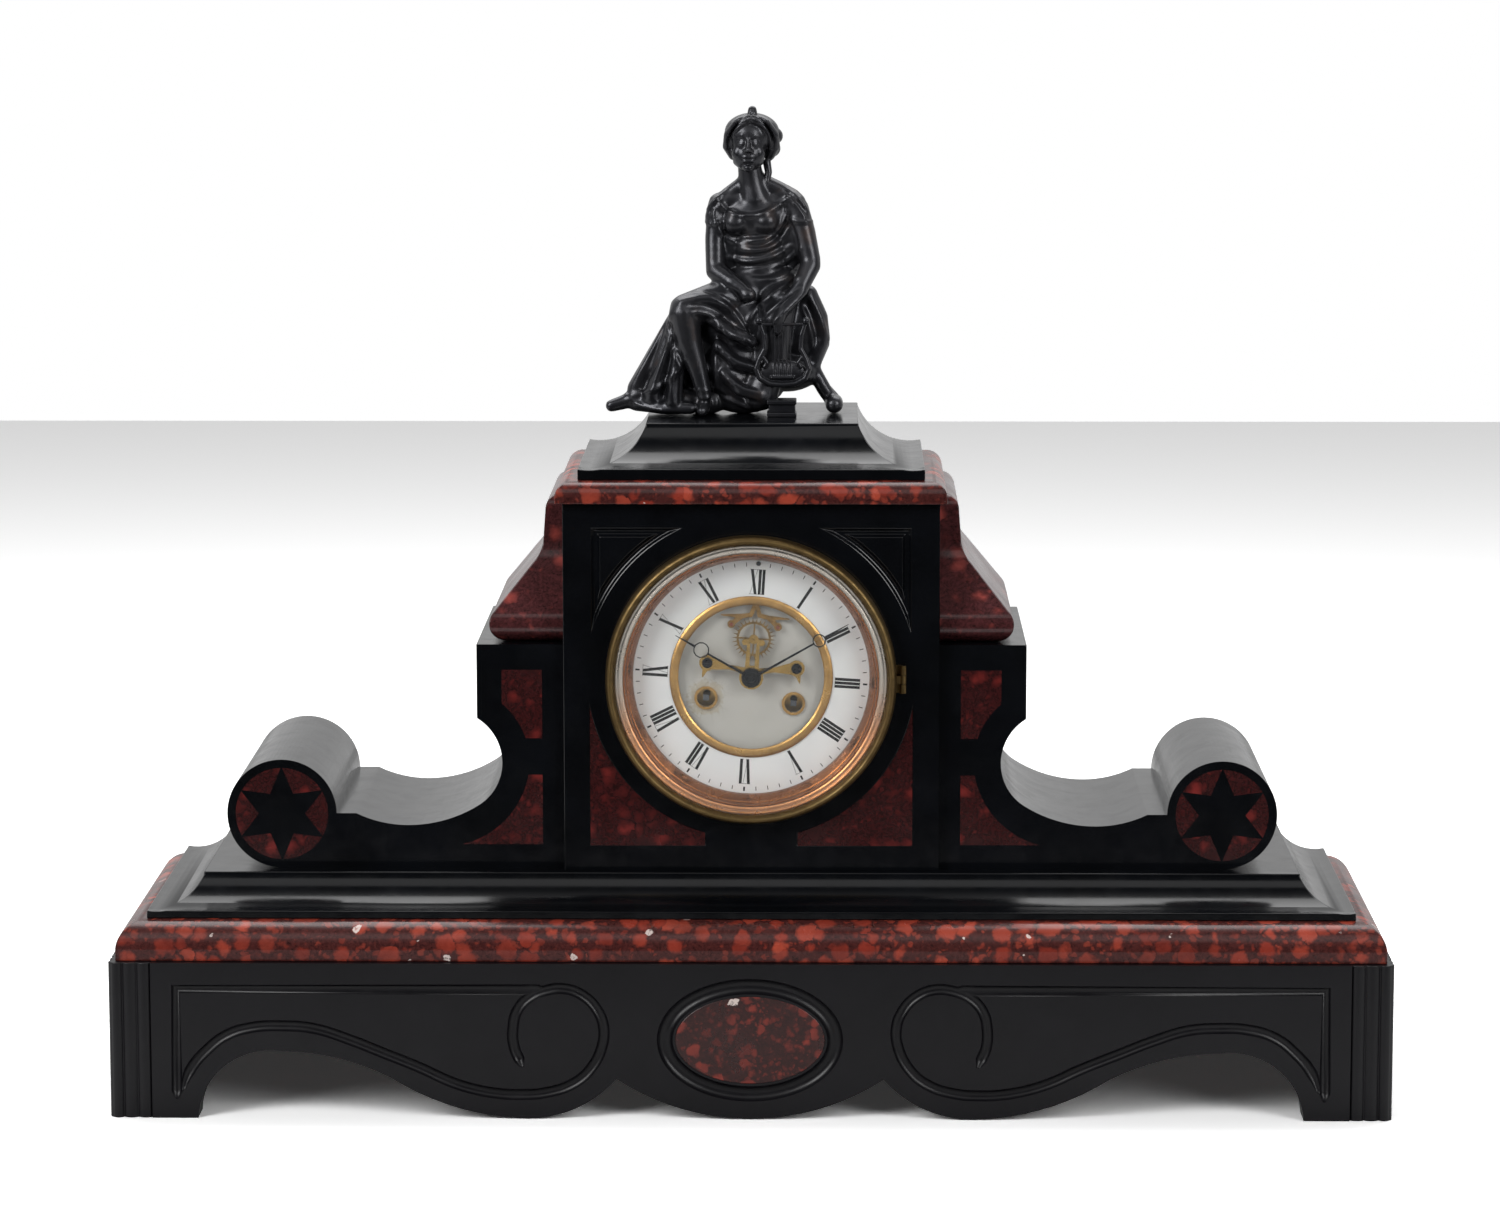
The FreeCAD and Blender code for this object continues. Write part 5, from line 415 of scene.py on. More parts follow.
def eased(piece, arris_mm, segments=2):
    """Rounds the arrises as a mason or a filer leaves them, and keeps broad flats flat in the light."""
    arris = piece.modifiers.new("eased_arris", "BEVEL")
    arris.width = arris_mm * MM
    arris.segments = segments
    arris.limit_method = "ANGLE"
    arris.angle_limit = math.radians(ARRIS_ANGLE)
    arris.use_clamp_overlap = True
    normals = piece.modifiers.new("even_normals", "WEIGHTED_NORMAL")
    normals.keep_sharp = True
    normals.weight = 80


def worked(node_name, arris_mm, material, whole_faces=True):
    """Stands for a solid of the same shape, with eased arrises, or with crisp flats where no width is given."""
    name = node_name + "_worked"
    mesh = as_mesh(merged_copy(node_name, whole_faces), name)
    piece = dressed(mesh, name, material, frame["nodes"][node_name]["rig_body"], ARRIS_ANGLE)
    if arris_mm:
        eased(piece, arris_mm)
    else:
        crisp_flats(piece.data)
    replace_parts(piece, node_name)


def at_dial(u_mm, w_mm, y):
    """A point of the dial, u to the right and w up from its centre, in the turned movement."""
    x = u_mm * math.cos(DIAL_TURN) + w_mm * math.sin(DIAL_TURN)
    z = -u_mm * math.sin(DIAL_TURN) + w_mm * math.cos(DIAL_TURN)
    return Vector((x * MM, y, DIAL_Z + z * MM))


def spun(profile_mm):
    """A closed ring turned about the dial's axis, from a closed profile of (radius, y) in millimetres."""
    bm = bmesh.new()
    verts = [bm.verts.new((r * MM, y * MM, DIAL_Z)) for r, y in profile_mm]
    edges = [bm.edges.new((a, b)) for a, b in zip(verts, verts[1:] + verts[:1])]
    bmesh.ops.spin(bm, geom=verts + edges, cent=(0.0, 0.0, DIAL_Z), axis=(0.0, 1.0, 0.0), angle=math.tau,
                   steps=TURN_STEPS, use_merge=True)
    return bm


def rounded(profile, radius):
    """The same closed profile with its corners rounded, for a soft turned moulding."""
    soft = []
    for index, corner in enumerate(profile):
        here = Vector(corner)
        before = Vector(profile[index - 1]) - here
        after = Vector(profile[(index + 1) % len(profile)]) - here
        reach = min(radius, before.length * 0.45, after.length * 0.45)
        start = here + before.normalized() * reach
        end = here + after.normalized() * reach
        for step in range(ROUND_STEPS + 1):
            t = step / ROUND_STEPS
            soft.append(tuple(start * (1 - t) ** 2 + here * 2 * t * (1 - t) + end * t ** 2))
    return soft


def joined(*meshes):
    """One bmesh from several."""
    whole = bmesh.new()
    for bm in meshes:
        part = as_mesh(bm, "part")
        whole.from_mesh(part)
        bpy.data.meshes.remove(part)
    return whole


def bar(low, high):
    """A straight bar between two corners in metres."""
    bm = bmesh.new()
    bmesh.ops.create_cube(bm, size=1.0)
    bmesh.ops.scale(bm, vec=Vector(high) - Vector(low), verts=bm.verts)
    bmesh.ops.translate(bm, vec=(Vector(high) + Vector(low)) / 2, verts=bm.verts)
    return bm


def about_dial(angle):
    """Turns a piece made upright over the origin to a clock angle about the dial's centre."""
    return Matrix.Translation((0.0, 0.0, DIAL_Z)) @ Matrix.Rotation(angle, 4, "Y")


def applied(piece):
    """Works a piece's modifiers into its mesh."""
    depsgraph = bpy.context.evaluated_depsgraph_get()
    mesh = bpy.data.meshes.new_from_object(piece.evaluated_get(depsgraph))
    old = piece.data
    piece.modifiers.clear()
    piece.data = mesh
    bpy.data.meshes.remove(old)


# The case: each piece with the width of its eased arrises; a piece without any keeps its triangles

CASE = (
    ("cap", 0.5, POLISHED_SLATE, "black_slate"),
    ("plinth", 0.5, POLISHED_SLATE, "black_slate"),
    ("block_side_slabs", 0.4, POLISHED_SLATE, "black_slate"),
    ("block_back", 0.4, SAWN_SLATE, "black_slate"),
    ("block_front", 0.35, POLISHED_SLATE, "black_slate"),
    ("left_wing", 0.0, POLISHED_SLATE, "black_slate"),
    ("right_wing", 0.0, POLISHED_SLATE, "black_slate"),
    ("base_side_panels", 0.5, HONED_SLATE, "black_slate"),
    ("base_back_panel", 0.5, SAWN_SLATE, "black_slate"),
    ("base_corner_blocks", 0.35, HONED_SLATE, "black_slate"),
    ("base_red_slab", 0.5, SLAB_MARBLE, "red_marble"),
    ("top_red_slab", 0.5, SLAB_MARBLE, "red_marble"),
    ("left_console", 0.5, DARK_MARBLE, "red_marble"),
    ("right_console", 0.5, DARK_MARBLE, "red_marble"),
    ("apron_oval_inlay", 0.3, OVAL_MARBLE, "red_marble"),
    ("corner_inlays", 0.0, INLAY_MARBLE, "red_marble"),
    ("scroll_star_inlays", 0.0, INLAY_MARBLE, "red_marble"),
)
for node_name, arris_mm, finish, slot_name in CASE:
    worked(node_name, arris_mm, finish, whole_faces=arris_mm > 0)


# The apron's carving: hollows cut with a round tool whose centre runs a little in front of the face
TOOL_RADIUS = 3.0
TOOL_STAND = 0.8
RING_TOOL_RADIUS = 4.2
RING_TOOL_STAND = 1.2
OVAL_HALF_WIDTH = 37.5
OVAL_HALF_HEIGHT = 22.3
OVAL_Z = 40.8
RING_OUTSIDE = 5.2
RING_POINTS = 40
GROOVE_FADE = 0.4
APRON_SHARP = 32.0
EDGE_GROOVE = ((-101.0, 66.4), (-106.0, 66.4), (-287.9, 66.4), (-287.9, 14.0), (-287.9, 9.8))
SCROLL_GROOVE = (
    (-285.0, 14.3), (-281.5, 24.1), (-272.9, 34.8), (-262.5, 42.8), (-249.5, 46.8), (-234.8, 47.6),
    (-219.2, 46.4), (-201.9, 41.0), (-184.5, 34.0), (-165.0, 26.0), (-150.0, 19.0), (-138.0, 15.2),
    (-125.0, 13.0), (-115.7, 12.6), (-102.6, 13.6), (-88.7, 18.3), (-79.5, 26.5), (-74.1, 37.8),
    (-73.3, 47.3), (-76.4, 56.0), (-83.3, 63.4), (-92.6, 67.0), (-101.8, 66.2), (-110.3, 62.6),
    (-116.4, 56.0), (-118.7, 47.3), (-118.4, 37.8), (-115.7, 30.6), (-114.1, 26.7),
)


def groove_tool(path_mm, radius_mm, stand_mm, side, closed=False, smooth=True):
    """The body that a round tool sweeps along a path on the apron's face; it fades out at both open ends."""
    curve = bpy.data.curves.new("groove_tool", "CURVE")
    curve.dimensions = "3D"
    curve.bevel_depth = radius_mm * MM
    curve.bevel_resolution = 5
    curve.use_fill_caps = True
    curve.resolution_u = 5
    line = curve.splines.new("BEZIER" if smooth else "POLY")
    points = line.bezier_points if smooth else line.points
    points.add(len(path_mm) - 1)
    for index, (point, (x, z)) in enumerate(zip(points, path_mm)):
        spot = (side * x * MM, APRON_FACE - stand_mm * MM, z * MM)
        point.co = spot if smooth else (*spot, 1.0)
        if smooth:
            point.handle_left_type = point.handle_right_type = "AUTO"
        if not closed and index in (0, len(path_mm) - 1):
            point.radius = GROOVE_FADE
    line.use_cyclic_u = closed
    swept = placed("groove_tool", curve)
    mesh = bpy.data.meshes.new_from_object(swept.evaluated_get(bpy.context.evaluated_depsgraph_get()))
    bpy.data.objects.remove(swept)
    bpy.data.curves.remove(curve)
    return placed("groove_tool", mesh)


def carve(piece, tools):
    """Cuts each tool's sweep out of the piece and takes the tools away."""
    for tool in tools:
        cut = piece.modifiers.new("cut", "BOOLEAN")
        cut.operation = "DIFFERENCE"
        cut.solver = "EXACT"
        cut.object = tool
    applied(piece)
    for tool in tools:
        old = tool.data
        bpy.data.objects.remove(tool)
        bpy.data.meshes.remove(old)
    piece.data.materials.clear()
    piece.data.materials.append(HONED_SLATE)
    for polygon in piece.data.polygons:
        polygon.use_smooth = True
        polygon.material_index = 0
    piece.data.set_sharp_from_angle(angle=math.radians(APRON_SHARP))


def carved_apron():
    """The front apron with its ring round the oval, its edge grooves and its scrolls."""
    mesh = as_mesh(merged_copy("base_front_apron"), "apron")
    piece = dressed(mesh, "base_front_apron_carved", HONED_SLATE, "clock_case", APRON_SHARP)
    ring = [(math.cos(turn) * (OVAL_HALF_WIDTH + RING_OUTSIDE),
             OVAL_Z + math.sin(turn) * (OVAL_HALF_HEIGHT + RING_OUTSIDE))
            for turn in (math.tau * step / RING_POINTS for step in range(RING_POINTS))]
    tools = [groove_tool(ring, RING_TOOL_RADIUS, RING_TOOL_STAND, 1, closed=True)]
    for side in (1, -1):
        tools.append(groove_tool(EDGE_GROOVE, TOOL_RADIUS, TOOL_STAND, side, smooth=False))
        tools.append(groove_tool(SCROLL_GROOVE, TOOL_RADIUS, TOOL_STAND, side))
    carve(piece, tools)
    crisp_flats(piece.data)
    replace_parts(piece, "base_front_apron")


carved_apron()


# The dial

NUMERAL_LOW = 42.3
NUMERAL_HIGH = 55.1
HEAVY_STROKE = 1.45
THIN_STROKE = 0.17
LETTER_GAP = 0.5
SERIF_OVERHANG = 0.5
PAINT_PROUD = 0.04
PAINT_SUNK = 0.02
# Width, inner and outer end of a mark
FIVE_MARK = (0.9, 56.6, 58.8)
MINUTE_MARK = (0.4, 56.5, 58.5)
LETTER_WIDTHS = {"I": 1.35, "V": 3.7, "X": 3.7}
HOURS = ("XII", "I", "II", "III", "IIII", "V", "VI", "VII", "VIII", "IX", "X", "XI")


def stroke(foot_mm, head_mm, width_mm, low_mm, high_mm, angle):
    """One painted stroke that stands on a clock angle, from its foot to its head outwards."""
    bm = bmesh.new()
    bmesh.ops.create_cube(bm, size=1.0)
    for vert in bm.verts:
        along = vert.co.z + 0.5
        vert.co.x = (foot_mm + (head_mm - foot_mm) * along + vert.co.x * width_mm) * MM
        vert.co.z = (low_mm + (high_mm - low_mm) * along) * MM
        vert.co.y = CHAPTER_FACE - PAINT_PROUD * MM if vert.co.y < 0 else CHAPTER_FACE + PAINT_SUNK * MM
    bmesh.ops.transform(bm, matrix=about_dial(angle), verts=bm.verts)
    return bm


def numeral(word, angle):
    """A roman hour, read from the dial's centre outwards: heavy bars, hair strokes and hair serifs."""
    left = -(sum(LETTER_WIDTHS[letter] for letter in word) + LETTER_GAP * (len(word) - 1)) / 2
    strokes = []
    for letter in word:
        right = left + LETTER_WIDTHS[letter]
        middle = (left + right) / 2
        left_bar, right_bar = left + HEAVY_STROKE / 2, right - HEAVY_STROKE / 2
        lines = {
            "I": ((left_bar, left_bar, HEAVY_STROKE),),
            "V": ((middle, left_bar, HEAVY_STROKE), (middle, right - THIN_STROKE, THIN_STROKE)),
            "X": ((right_bar, left_bar, HEAVY_STROKE), (left + THIN_STROKE, right - THIN_STROKE, THIN_STROKE)),
        }
        strokes += [stroke(*line, NUMERAL_LOW, NUMERAL_HIGH, angle) for line in lines[letter]]
        for edge in (NUMERAL_LOW, NUMERAL_HIGH - THIN_STROKE):
            if letter != "V" or edge != NUMERAL_LOW:
                strokes.append(stroke(middle, middle, LETTER_WIDTHS[letter] + SERIF_OVERHANG, edge,
                                      edge + THIN_STROKE, angle))
        left = right + LETTER_GAP
    return strokes


def painted_dial():
    """The twelve hours and the minute marks; the mark of the twelfth hour is left to its numeral."""
    strokes = []
    for hour, word in enumerate(HOURS):
        strokes += numeral(word, DIAL_TURN + math.radians(30 * hour))
    for minute in range(1, 60):
        mark = FIVE_MARK if minute % 5 == 0 else MINUTE_MARK
        strokes.append(stroke(0.0, 0.0, *mark, DIAL_TURN + math.radians(6 * minute)))
    piece_from(joined(*strokes), "dial_numerals", PAINT, "clock_case")


painted_dial()
CENTRE_ENAMEL = enamel("white_centre_enamel", "#c8c5bd", "#bdbab3", tuple(at_dial(-22.2, -12.75, RECESS_FACE)))


# The brass, steel and enamel that is seen, eased as a turner and a filer leave them
METALWORK = (
    ("casing_ring", 0.2, OLD_BRASS, "polished_brass"),
    ("chapter_ring", 0.3, WHITE_ENAMEL, "white_enamel"),
    ("centre_dial", 0.0, CENTRE_ENAMEL, "white_enamel"),
    ("winding_ferrules", 0.15, GILT_BRASS, "polished_brass"),
    ("hour_hand", 0.1, BLUED_STEEL, "blued_steel"),
    ("minute_hand", 0.1, BLUED_STEEL, "blued_steel"),
    ("escapement_bridge", 0.12, BRIDGE_BRASS, "movement_brass"),
    ("anchor", 0.1, ANCHOR_BRASS, "movement_brass"),
    ("escape_wheel", 0.05, ESCAPE_BRASS, "movement_brass"),
    ("bridge_screws", 0.12, BLUED_STEEL, "blued_steel"),
    ("pallet_stones", 0.05, CARNELIAN, "red_stone"),
    ("bell", 0.2, BELL_BRONZE, "bell_bronze"),
    ("rear_ring", 0.2, OLD_BRASS, "polished_brass"),
    ("rear_door", 0.2, OLD_BRASS, "polished_brass"),
    ("pendulum_bob", 0.2, CLOCK_BRASS, "movement_brass"),
    ("movement_back_plate", 0.2, CLOCK_BRASS, "movement_brass"),
    ("movement_front_plate", 0.2, CLOCK_BRASS, "movement_brass"),
)
for node_name, arris_mm, finish, slot_name in METALWORK:
    worked(node_name, arris_mm, finish)

# The bezel with its knuckle, the sight ring, the gilt ring, the bevelled glass and the coppered bead that holds
# its edge: all turned on the dial's axis. Sections are (radius, depth) in millimetres.
BEZEL_SECTION = ((73.3, -45.6), (73.5, -50.5), (73.1, -53.4), (72.2, -55.2), (70.9, -55.9), (69.9, -55.2),
                 (69.2, -53.8), (68.8, -53.0), (68.8, -51.0), (64.4, -51.0), (64.4, -49.2), (66.2, -45.6))
SIGHT_SECTION = ((59.7, -39.5), (60.1, -42.2), (61.2, -45.2), (62.2, -47.2), (62.35, -47.9), (62.9, -48.1),
                 (63.4, -49.4), (63.7, -51.0), (64.3, -51.0), (64.2, -48.0), (62.6, -43.4), (61.0, -39.5))
KNUCKLE_X = 76.6
KNUCKLE_Y = -46.9
KNUCKLE_RADIUS = 1.7
KNUCKLE_HALF = 2.0
ARM_X = 72.6
ARM_HALF = 1.2


def bezel():
    """The turned bezel and the middle knuckle of its hinge."""
    knuckle = bmesh.new()
    bmesh.ops.create_cone(knuckle, cap_ends=True, segments=32, radius1=KNUCKLE_RADIUS * MM,
                          radius2=KNUCKLE_RADIUS * MM, depth=2 * KNUCKLE_HALF * MM)
    bmesh.ops.translate(knuckle, vec=(KNUCKLE_X * MM, KNUCKLE_Y * MM, DIAL_Z), verts=knuckle.verts)
    arm = bar((ARM_X * MM, (KNUCKLE_Y - ARM_HALF) * MM, DIAL_Z - KNUCKLE_HALF * MM),
              (KNUCKLE_X * MM, (KNUCKLE_Y + ARM_HALF) * MM, DIAL_Z + KNUCKLE_HALF * MM))
    whole = joined(spun(rounded(BEZEL_SECTION, 0.5)), knuckle, arm)
    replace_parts(piece_from(whole, "turned_bezel", OLD_BRASS, "bezel"), "bezel_ring")


bezel()
sight = piece_from(spun(rounded(SIGHT_SECTION, 0.3)), "turned_sight_ring", COPPERY_BRASS,
                   frame["nodes"]["sight_ring"]["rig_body"])
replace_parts(sight, "sight_ring")
gilt_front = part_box("gilt_ring")[0].y / MM
gilt_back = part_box("gilt_ring")[1].y / MM
GILT_SECTION = ((36.8, gilt_back), (36.9, gilt_front + 0.6), (37.9, gilt_front + 0.1), (38.9, gilt_front),
                (40.1, gilt_front + 0.15), (41.3, gilt_front + 0.7), (41.4, gilt_back))
gilt = piece_from(spun(rounded(GILT_SECTION, 0.2)), "turned_gilt_ring", GILT_BRASS, "clock_case")
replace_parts(gilt, "gilt_ring")
GLASS_SECTION = ((0.0, -53.2), (64.2, -53.2), (68.6, -51.95), (68.6, -51.68), (0.0, -51.68))
BEAD_SECTION = ((64.3, -50.6), (64.45, -51.2), (65.3, -51.62), (66.1, -51.3), (66.5, -51.05), (66.9, -51.3),
                (67.7, -51.62), (68.5, -51.3), (68.6, -50.6))
glass = piece_from(spun(GLASS_SECTION), "bevelled_glass", CRYSTAL, "bezel", smooth_under=10.0)
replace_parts(glass, "bezel_glass")
piece_from(spun(rounded(BEAD_SECTION, 0.3)), "glass_bead", BEAD_BRASS, "bezel",
           smooth_under=40.0)


# Works that keep their solids
KEPT = {
    # The dial pan takes the near-black brass that stands for the shade in the recess
    "dial_pan": PAN_BRASS_PAINTED_SHADE, "going_barrel": CLOCK_BRASS, "strike_barrel": CLOCK_BRASS,
    "going_winding_arbor": ARBOR_STEEL, "strike_winding_arbor": ARBOR_STEEL,
    "intermediate_wheel": CLOCK_BRASS, "centre_wheel": CLOCK_BRASS, "third_wheel": CLOCK_BRASS,
    "cannon_pinion": CLOCK_STEEL, "minute_wheel": CLOCK_BRASS, "hour_wheel": CLOCK_BRASS,
    "hammer_wheel": CLOCK_BRASS, "fly": CLOCK_BRASS, "hammer": CLOCK_STEEL, "bell_stand": CLOCK_BRASS,
    "suspension_cock": CLOCK_BRASS, "regulator_arbor": BLUED_STEEL, "pendulum_rod": CLOCK_STEEL,
    "casing_straps": CLOCK_BRASS, "strap_screws": BLUED_STEEL,
}
for node_name, finish in KEPT.items():
    mesh = frame["nodes"][node_name].data
    mesh.materials.clear()
    mesh.materials.append(finish)


# The figure: forms built up as a modeller does, one skin over them, then folds and hollows worked along paths.
# Stations are (right, back, up, radius) in millimetres.
BODY_VOXEL = 0.8
HEAD_VOXEL = 0.42
HEAD_MIDDLE = Vector((-1.0, 46.0, 474.0))
HEAD_FULLNESS = (1.07, 1.05, 1.0)


def ball(forms, place, radii, fineness=3):
    """A ball with its own radius each way."""
    bm = bmesh.new()
    size = Matrix.Diagonal((*(radius * MM for radius in radii), 1.0))
    bmesh.ops.create_icosphere(bm, subdivisions=fineness, radius=1.0,
                               matrix=Matrix.Translation(Vector(place) * MM) @ size)
    forms.append(bm)


def limb(forms, *stations):
    """A limb or a roll of cloth that passes through its stations."""
    for start, end in zip(stations, stations[1:]):
        first, last = Vector(start[:3]), Vector(end[:3])
        steps = max(2, math.ceil((last - first).length / (0.35 * min(start[3], end[3]))))
        for step in range(steps + 1):
            share = step / steps
            radius = start[3] * (1 - share) + end[3] * share
            ball(forms, first.lerp(last, share), (radius, radius, radius), 2)


def built(table):
    """The forms of a table: a ball has a place and three radii, a limb has stations."""
    forms = []
    for first, *others in table:
        (ball if len(first) == 3 else limb)(forms, first, *others)
    return forms


def skinned(forms, voxel_mm, rounds, floor=None):
    """One closed skin over all the forms, smoothed; nothing of it goes under its floor."""
    lump = placed("forms", as_mesh(joined(*forms), "forms"))
    skin = lump.modifiers.new("skin", "REMESH")
    skin.mode = "VOXEL"
    skin.voxel_size = voxel_mm * MM
    applied(lump)
    mesh = lump.data
    bpy.data.objects.remove(lump)
    bm = bmesh.new()
    bm.from_mesh(mesh)
    bpy.data.meshes.remove(mesh)
    for _ in range(rounds):
        bmesh.ops.smooth_vert(bm, verts=bm.verts, factor=0.5, use_axis_x=True, use_axis_y=True, use_axis_z=True)
    if floor is not None:
        for vert in bm.verts:
            vert.co.z = max(vert.co.z, floor)
    return bm


def drawn(path, step_mm):
    """A path of (right, up) with its corners eased, as close points."""
    points = [Vector(point) for point in path]
    for _ in range(3):
        eased_points = [points[0]]
        for here, there in zip(points, points[1:]):
            eased_points += [here.lerp(there, 0.25), here.lerp(there, 0.75)]
        points = eased_points + [points[-1]]
    close = []
    for here, there in zip(points, points[1:]):
        steps = max(1, math.ceil((there - here).length / step_mm))
        close += [here.lerp(there, step / steps) for step in range(steps)]
    return close + [points[-1]]


def modelled(bm, strokes, from_y=-0.1, way=1.0):
    """Raises or sinks the skin along paths drawn on the side that it is seen from; a stroke is (width, height,
    path)."""
    bm.normal_update()
    bm.verts.ensure_lookup_table()
    surface = BVHTree.FromBMesh(bm)
    places = KDTree(len(bm.verts))
    for vert in bm.verts:
        places.insert(vert.co, vert.index)
    places.balance()
    moves = {}
    for width, height, path in strokes:
        reach = width * MM
        nearest = {}
        points = drawn(path, width * 0.3)
        for number, point in enumerate(points):
            hit = surface.ray_cast(Vector((point.x * MM, from_y, point.y * MM)), Vector((0.0, way, 0.0)))[0]
            if hit is None:
                continue
            fade = min(1.0, 0.35 + 3.0 * min(number, len(points) - 1 - number) / len(points))
            for _, index, distance in places.find_range(hit, reach):
                push = fade * (1 - (distance / reach) ** 2) ** 2
                if push > nearest.get(index, 0.0):
                    nearest[index] = push
        for index, push in nearest.items():
            moves[index] = moves.get(index, 0.0) + push * height * MM
    shifts = [(bm.verts[index], bm.verts[index].normal * move) for index, move in moves.items()]
    for vert, shift in shifts:
        vert.co += shift
    bmesh.ops.smooth_vert(bm, verts=bm.verts, factor=0.4, use_axis_x=True, use_axis_y=True, use_axis_z=True)
    return bm


def cast(bm, name):
    """A piece of the figure in its patinated metal."""
    piece_from(bm, name, PATINATED, "clock_case", smooth_under=60.0)


# Rows with a place and three radii are balls, and a last number is their fineness; the others are limbs
BODY_FORMS = (
    # Trunk, shoulders and neck
    ((1.5, 48, 443), (18, 9.5, 13.5)),
    ((3, 48, 425), (14.5, 9.5, 13.5)),
    ((4, 50, 408), (23, 14, 12)),
    ((-14, 47.5, 451.5, 5.2), (19, 48, 451.5, 5.4)),
    ((-2, 46.5, 469, 6.4), (-0.8, 47.3, 460, 7.2), (1, 48, 452, 9)),
    ((-2, 48, 462, 4.8), (-13.5, 48, 453.5, 4.6)),
    ((2, 48, 462, 4.8), (12, 48, 457.2, 4.8), (20, 48, 453, 4.8)),
    ((-13, 50, 430), (8, 7, 17)),
    ((19, 50, 431), (10, 7, 18)),
    ((-9.5, 42.5, 440.5), (6.6, 6.6, 6.4)),
    ((6.5, 42.5, 441), (7.0, 6.8, 6.6)),
    # The robe falls from the back over the seat
    ((1, 51, 452, 9), (1.5, 51.5, 436, 11), (2, 52, 420, 12.5), (3, 54, 404, 14.5), (3, 55, 386, 15.5),
     (2, 55, 366, 15.5), (2, 54, 358, 15)),
    ((17, 54, 404, 12), (21, 55, 386, 13.5), (18, 54, 368, 13)),
    ((-12, 52, 400, 10), (-18, 52, 384, 12), (-24, 51, 364, 12), (-28, 50, 352, 10)),
    # Arms, from sleeve to hand
    ((-17.6, 47, 449.8, 6.0), (-19.6, 46.5, 443, 5.8)),
    ((-19, 46.5, 447, 5.4), (-19.8, 45, 432, 5.5), (-19.6, 42, 417, 5.3)),
    ((-19.4, 41, 415.6, 5.4), (-11, 34, 410.5, 4.7), (-5.5, 31, 407, 3.5)),
    ((-2.6, 30, 404), (4.6, 3.8, 4.2)),
    ((21, 47, 450, 6.4), (23.8, 46.5, 442, 6.4)),
    ((22.6, 46.5, 447, 6.4), (25.8, 45, 435, 6.6), (29.4, 42, 421, 5.6)),
    ((29.6, 41, 418.6, 5.5), (23.5, 34, 406, 4.6), (15.5, 27, 396.5, 3.3)),
    ((15.5, 27, 396.5, 3.1), (13, 25.5, 391, 3.1), (12.8, 25, 386, 2.6)),
    # Legs under the cloth, the bare shin and the sandalled foot
    ((-2, 46, 403, 12), (-18, 38, 400, 11), (-35, 31, 396.5, 8.4)),
    ((-35.5, 30, 395, 8.2), (-33, 30, 380, 7.0), (-28, 29, 364, 5.0), (-25, 28, 352, 3.9)),
    ((-25, 30, 347.5, 3.6), (-25.5, 25.5, 345.6, 3.4), (-26.5, 22.8, 344.6, 2.6)),
    ((12, 47, 403, 12), (12, 38, 398, 10.5), (12, 36, 392, 9.4)),
    ((12, 36, 392, 9.4), (9, 36, 370, 9.5), (4, 34, 353, 9.5)),
    # Skirt: rolls from the knee to the hem, and the cloth between the knees
    ((-38.5, 38, 392.5, 5.2), (-50.5, 40, 371, 5.6), (-60.5, 40, 354.5, 5.2)),
    ((-39, 34, 390, 5), (-46, 34, 368, 5.4), (-52, 34, 351, 5)),
    ((-37, 32, 384, 4), (-40, 31, 364, 4.6), (-41, 30, 349, 4.6)),
    ((-45, 44, 360), (11, 9, 15)),
    ((-25, 43, 368), (11, 8, 26)),
    ((-25, 41, 348), (12, 9, 7)),
    ((-61, 38, 347, 4), (-46, 31, 345.6, 3.6), (-32, 29.5, 345.4, 3.2)),
    ((-43, 40, 349), (21, 9, 7)),
    ((-9, 41, 388), (21, 11, 17)),
    ((-10, 39, 366), (17, 10.5, 17)),
    ((-5, 41, 350), (17, 9, 8.5)),
    ((-22, 31, 392, 3.4), (-12, 28, 386, 3.2), (-1, 28, 380, 3.4)),
    ((-18, 30, 378, 3), (-9, 28, 369, 3.4), (2, 28, 366, 3)),
    ((-15, 30, 364, 3), (-7, 28, 355, 3.4), (4, 27, 352, 3)),
    # The far foot comes out of the hem
    ((-59, 39, 351, 4.8), (-67, 38, 347.8, 4.0), (-73.4, 37, 346, 3.4)),
    # Seat, its cloth, and the scroll feet
    ((23, 53, 384), (14.5, 15, 21)),
    ((28, 46, 403, 5.4), (33.6, 46, 391, 5.2), (35, 46, 380, 5), (30.6, 46, 368, 5)),
    ((33.5, 56, 389, 5), (35.2, 56, 377, 4.6), (30, 56, 366, 5)),
    ((17, 50, 363), (18, 17, 11)),
    ((31.5, 46, 363, 4), (36.5, 45, 354, 4.0), (41, 44, 347.5, 3.8)),
    ((41.8, 39, 346.6, 4.9), (41.8, 48, 346.6, 4.9)),
    ((30.5, 62, 362, 4), (36, 63, 353, 3.6), (41.5, 64, 347, 3.6)),
)
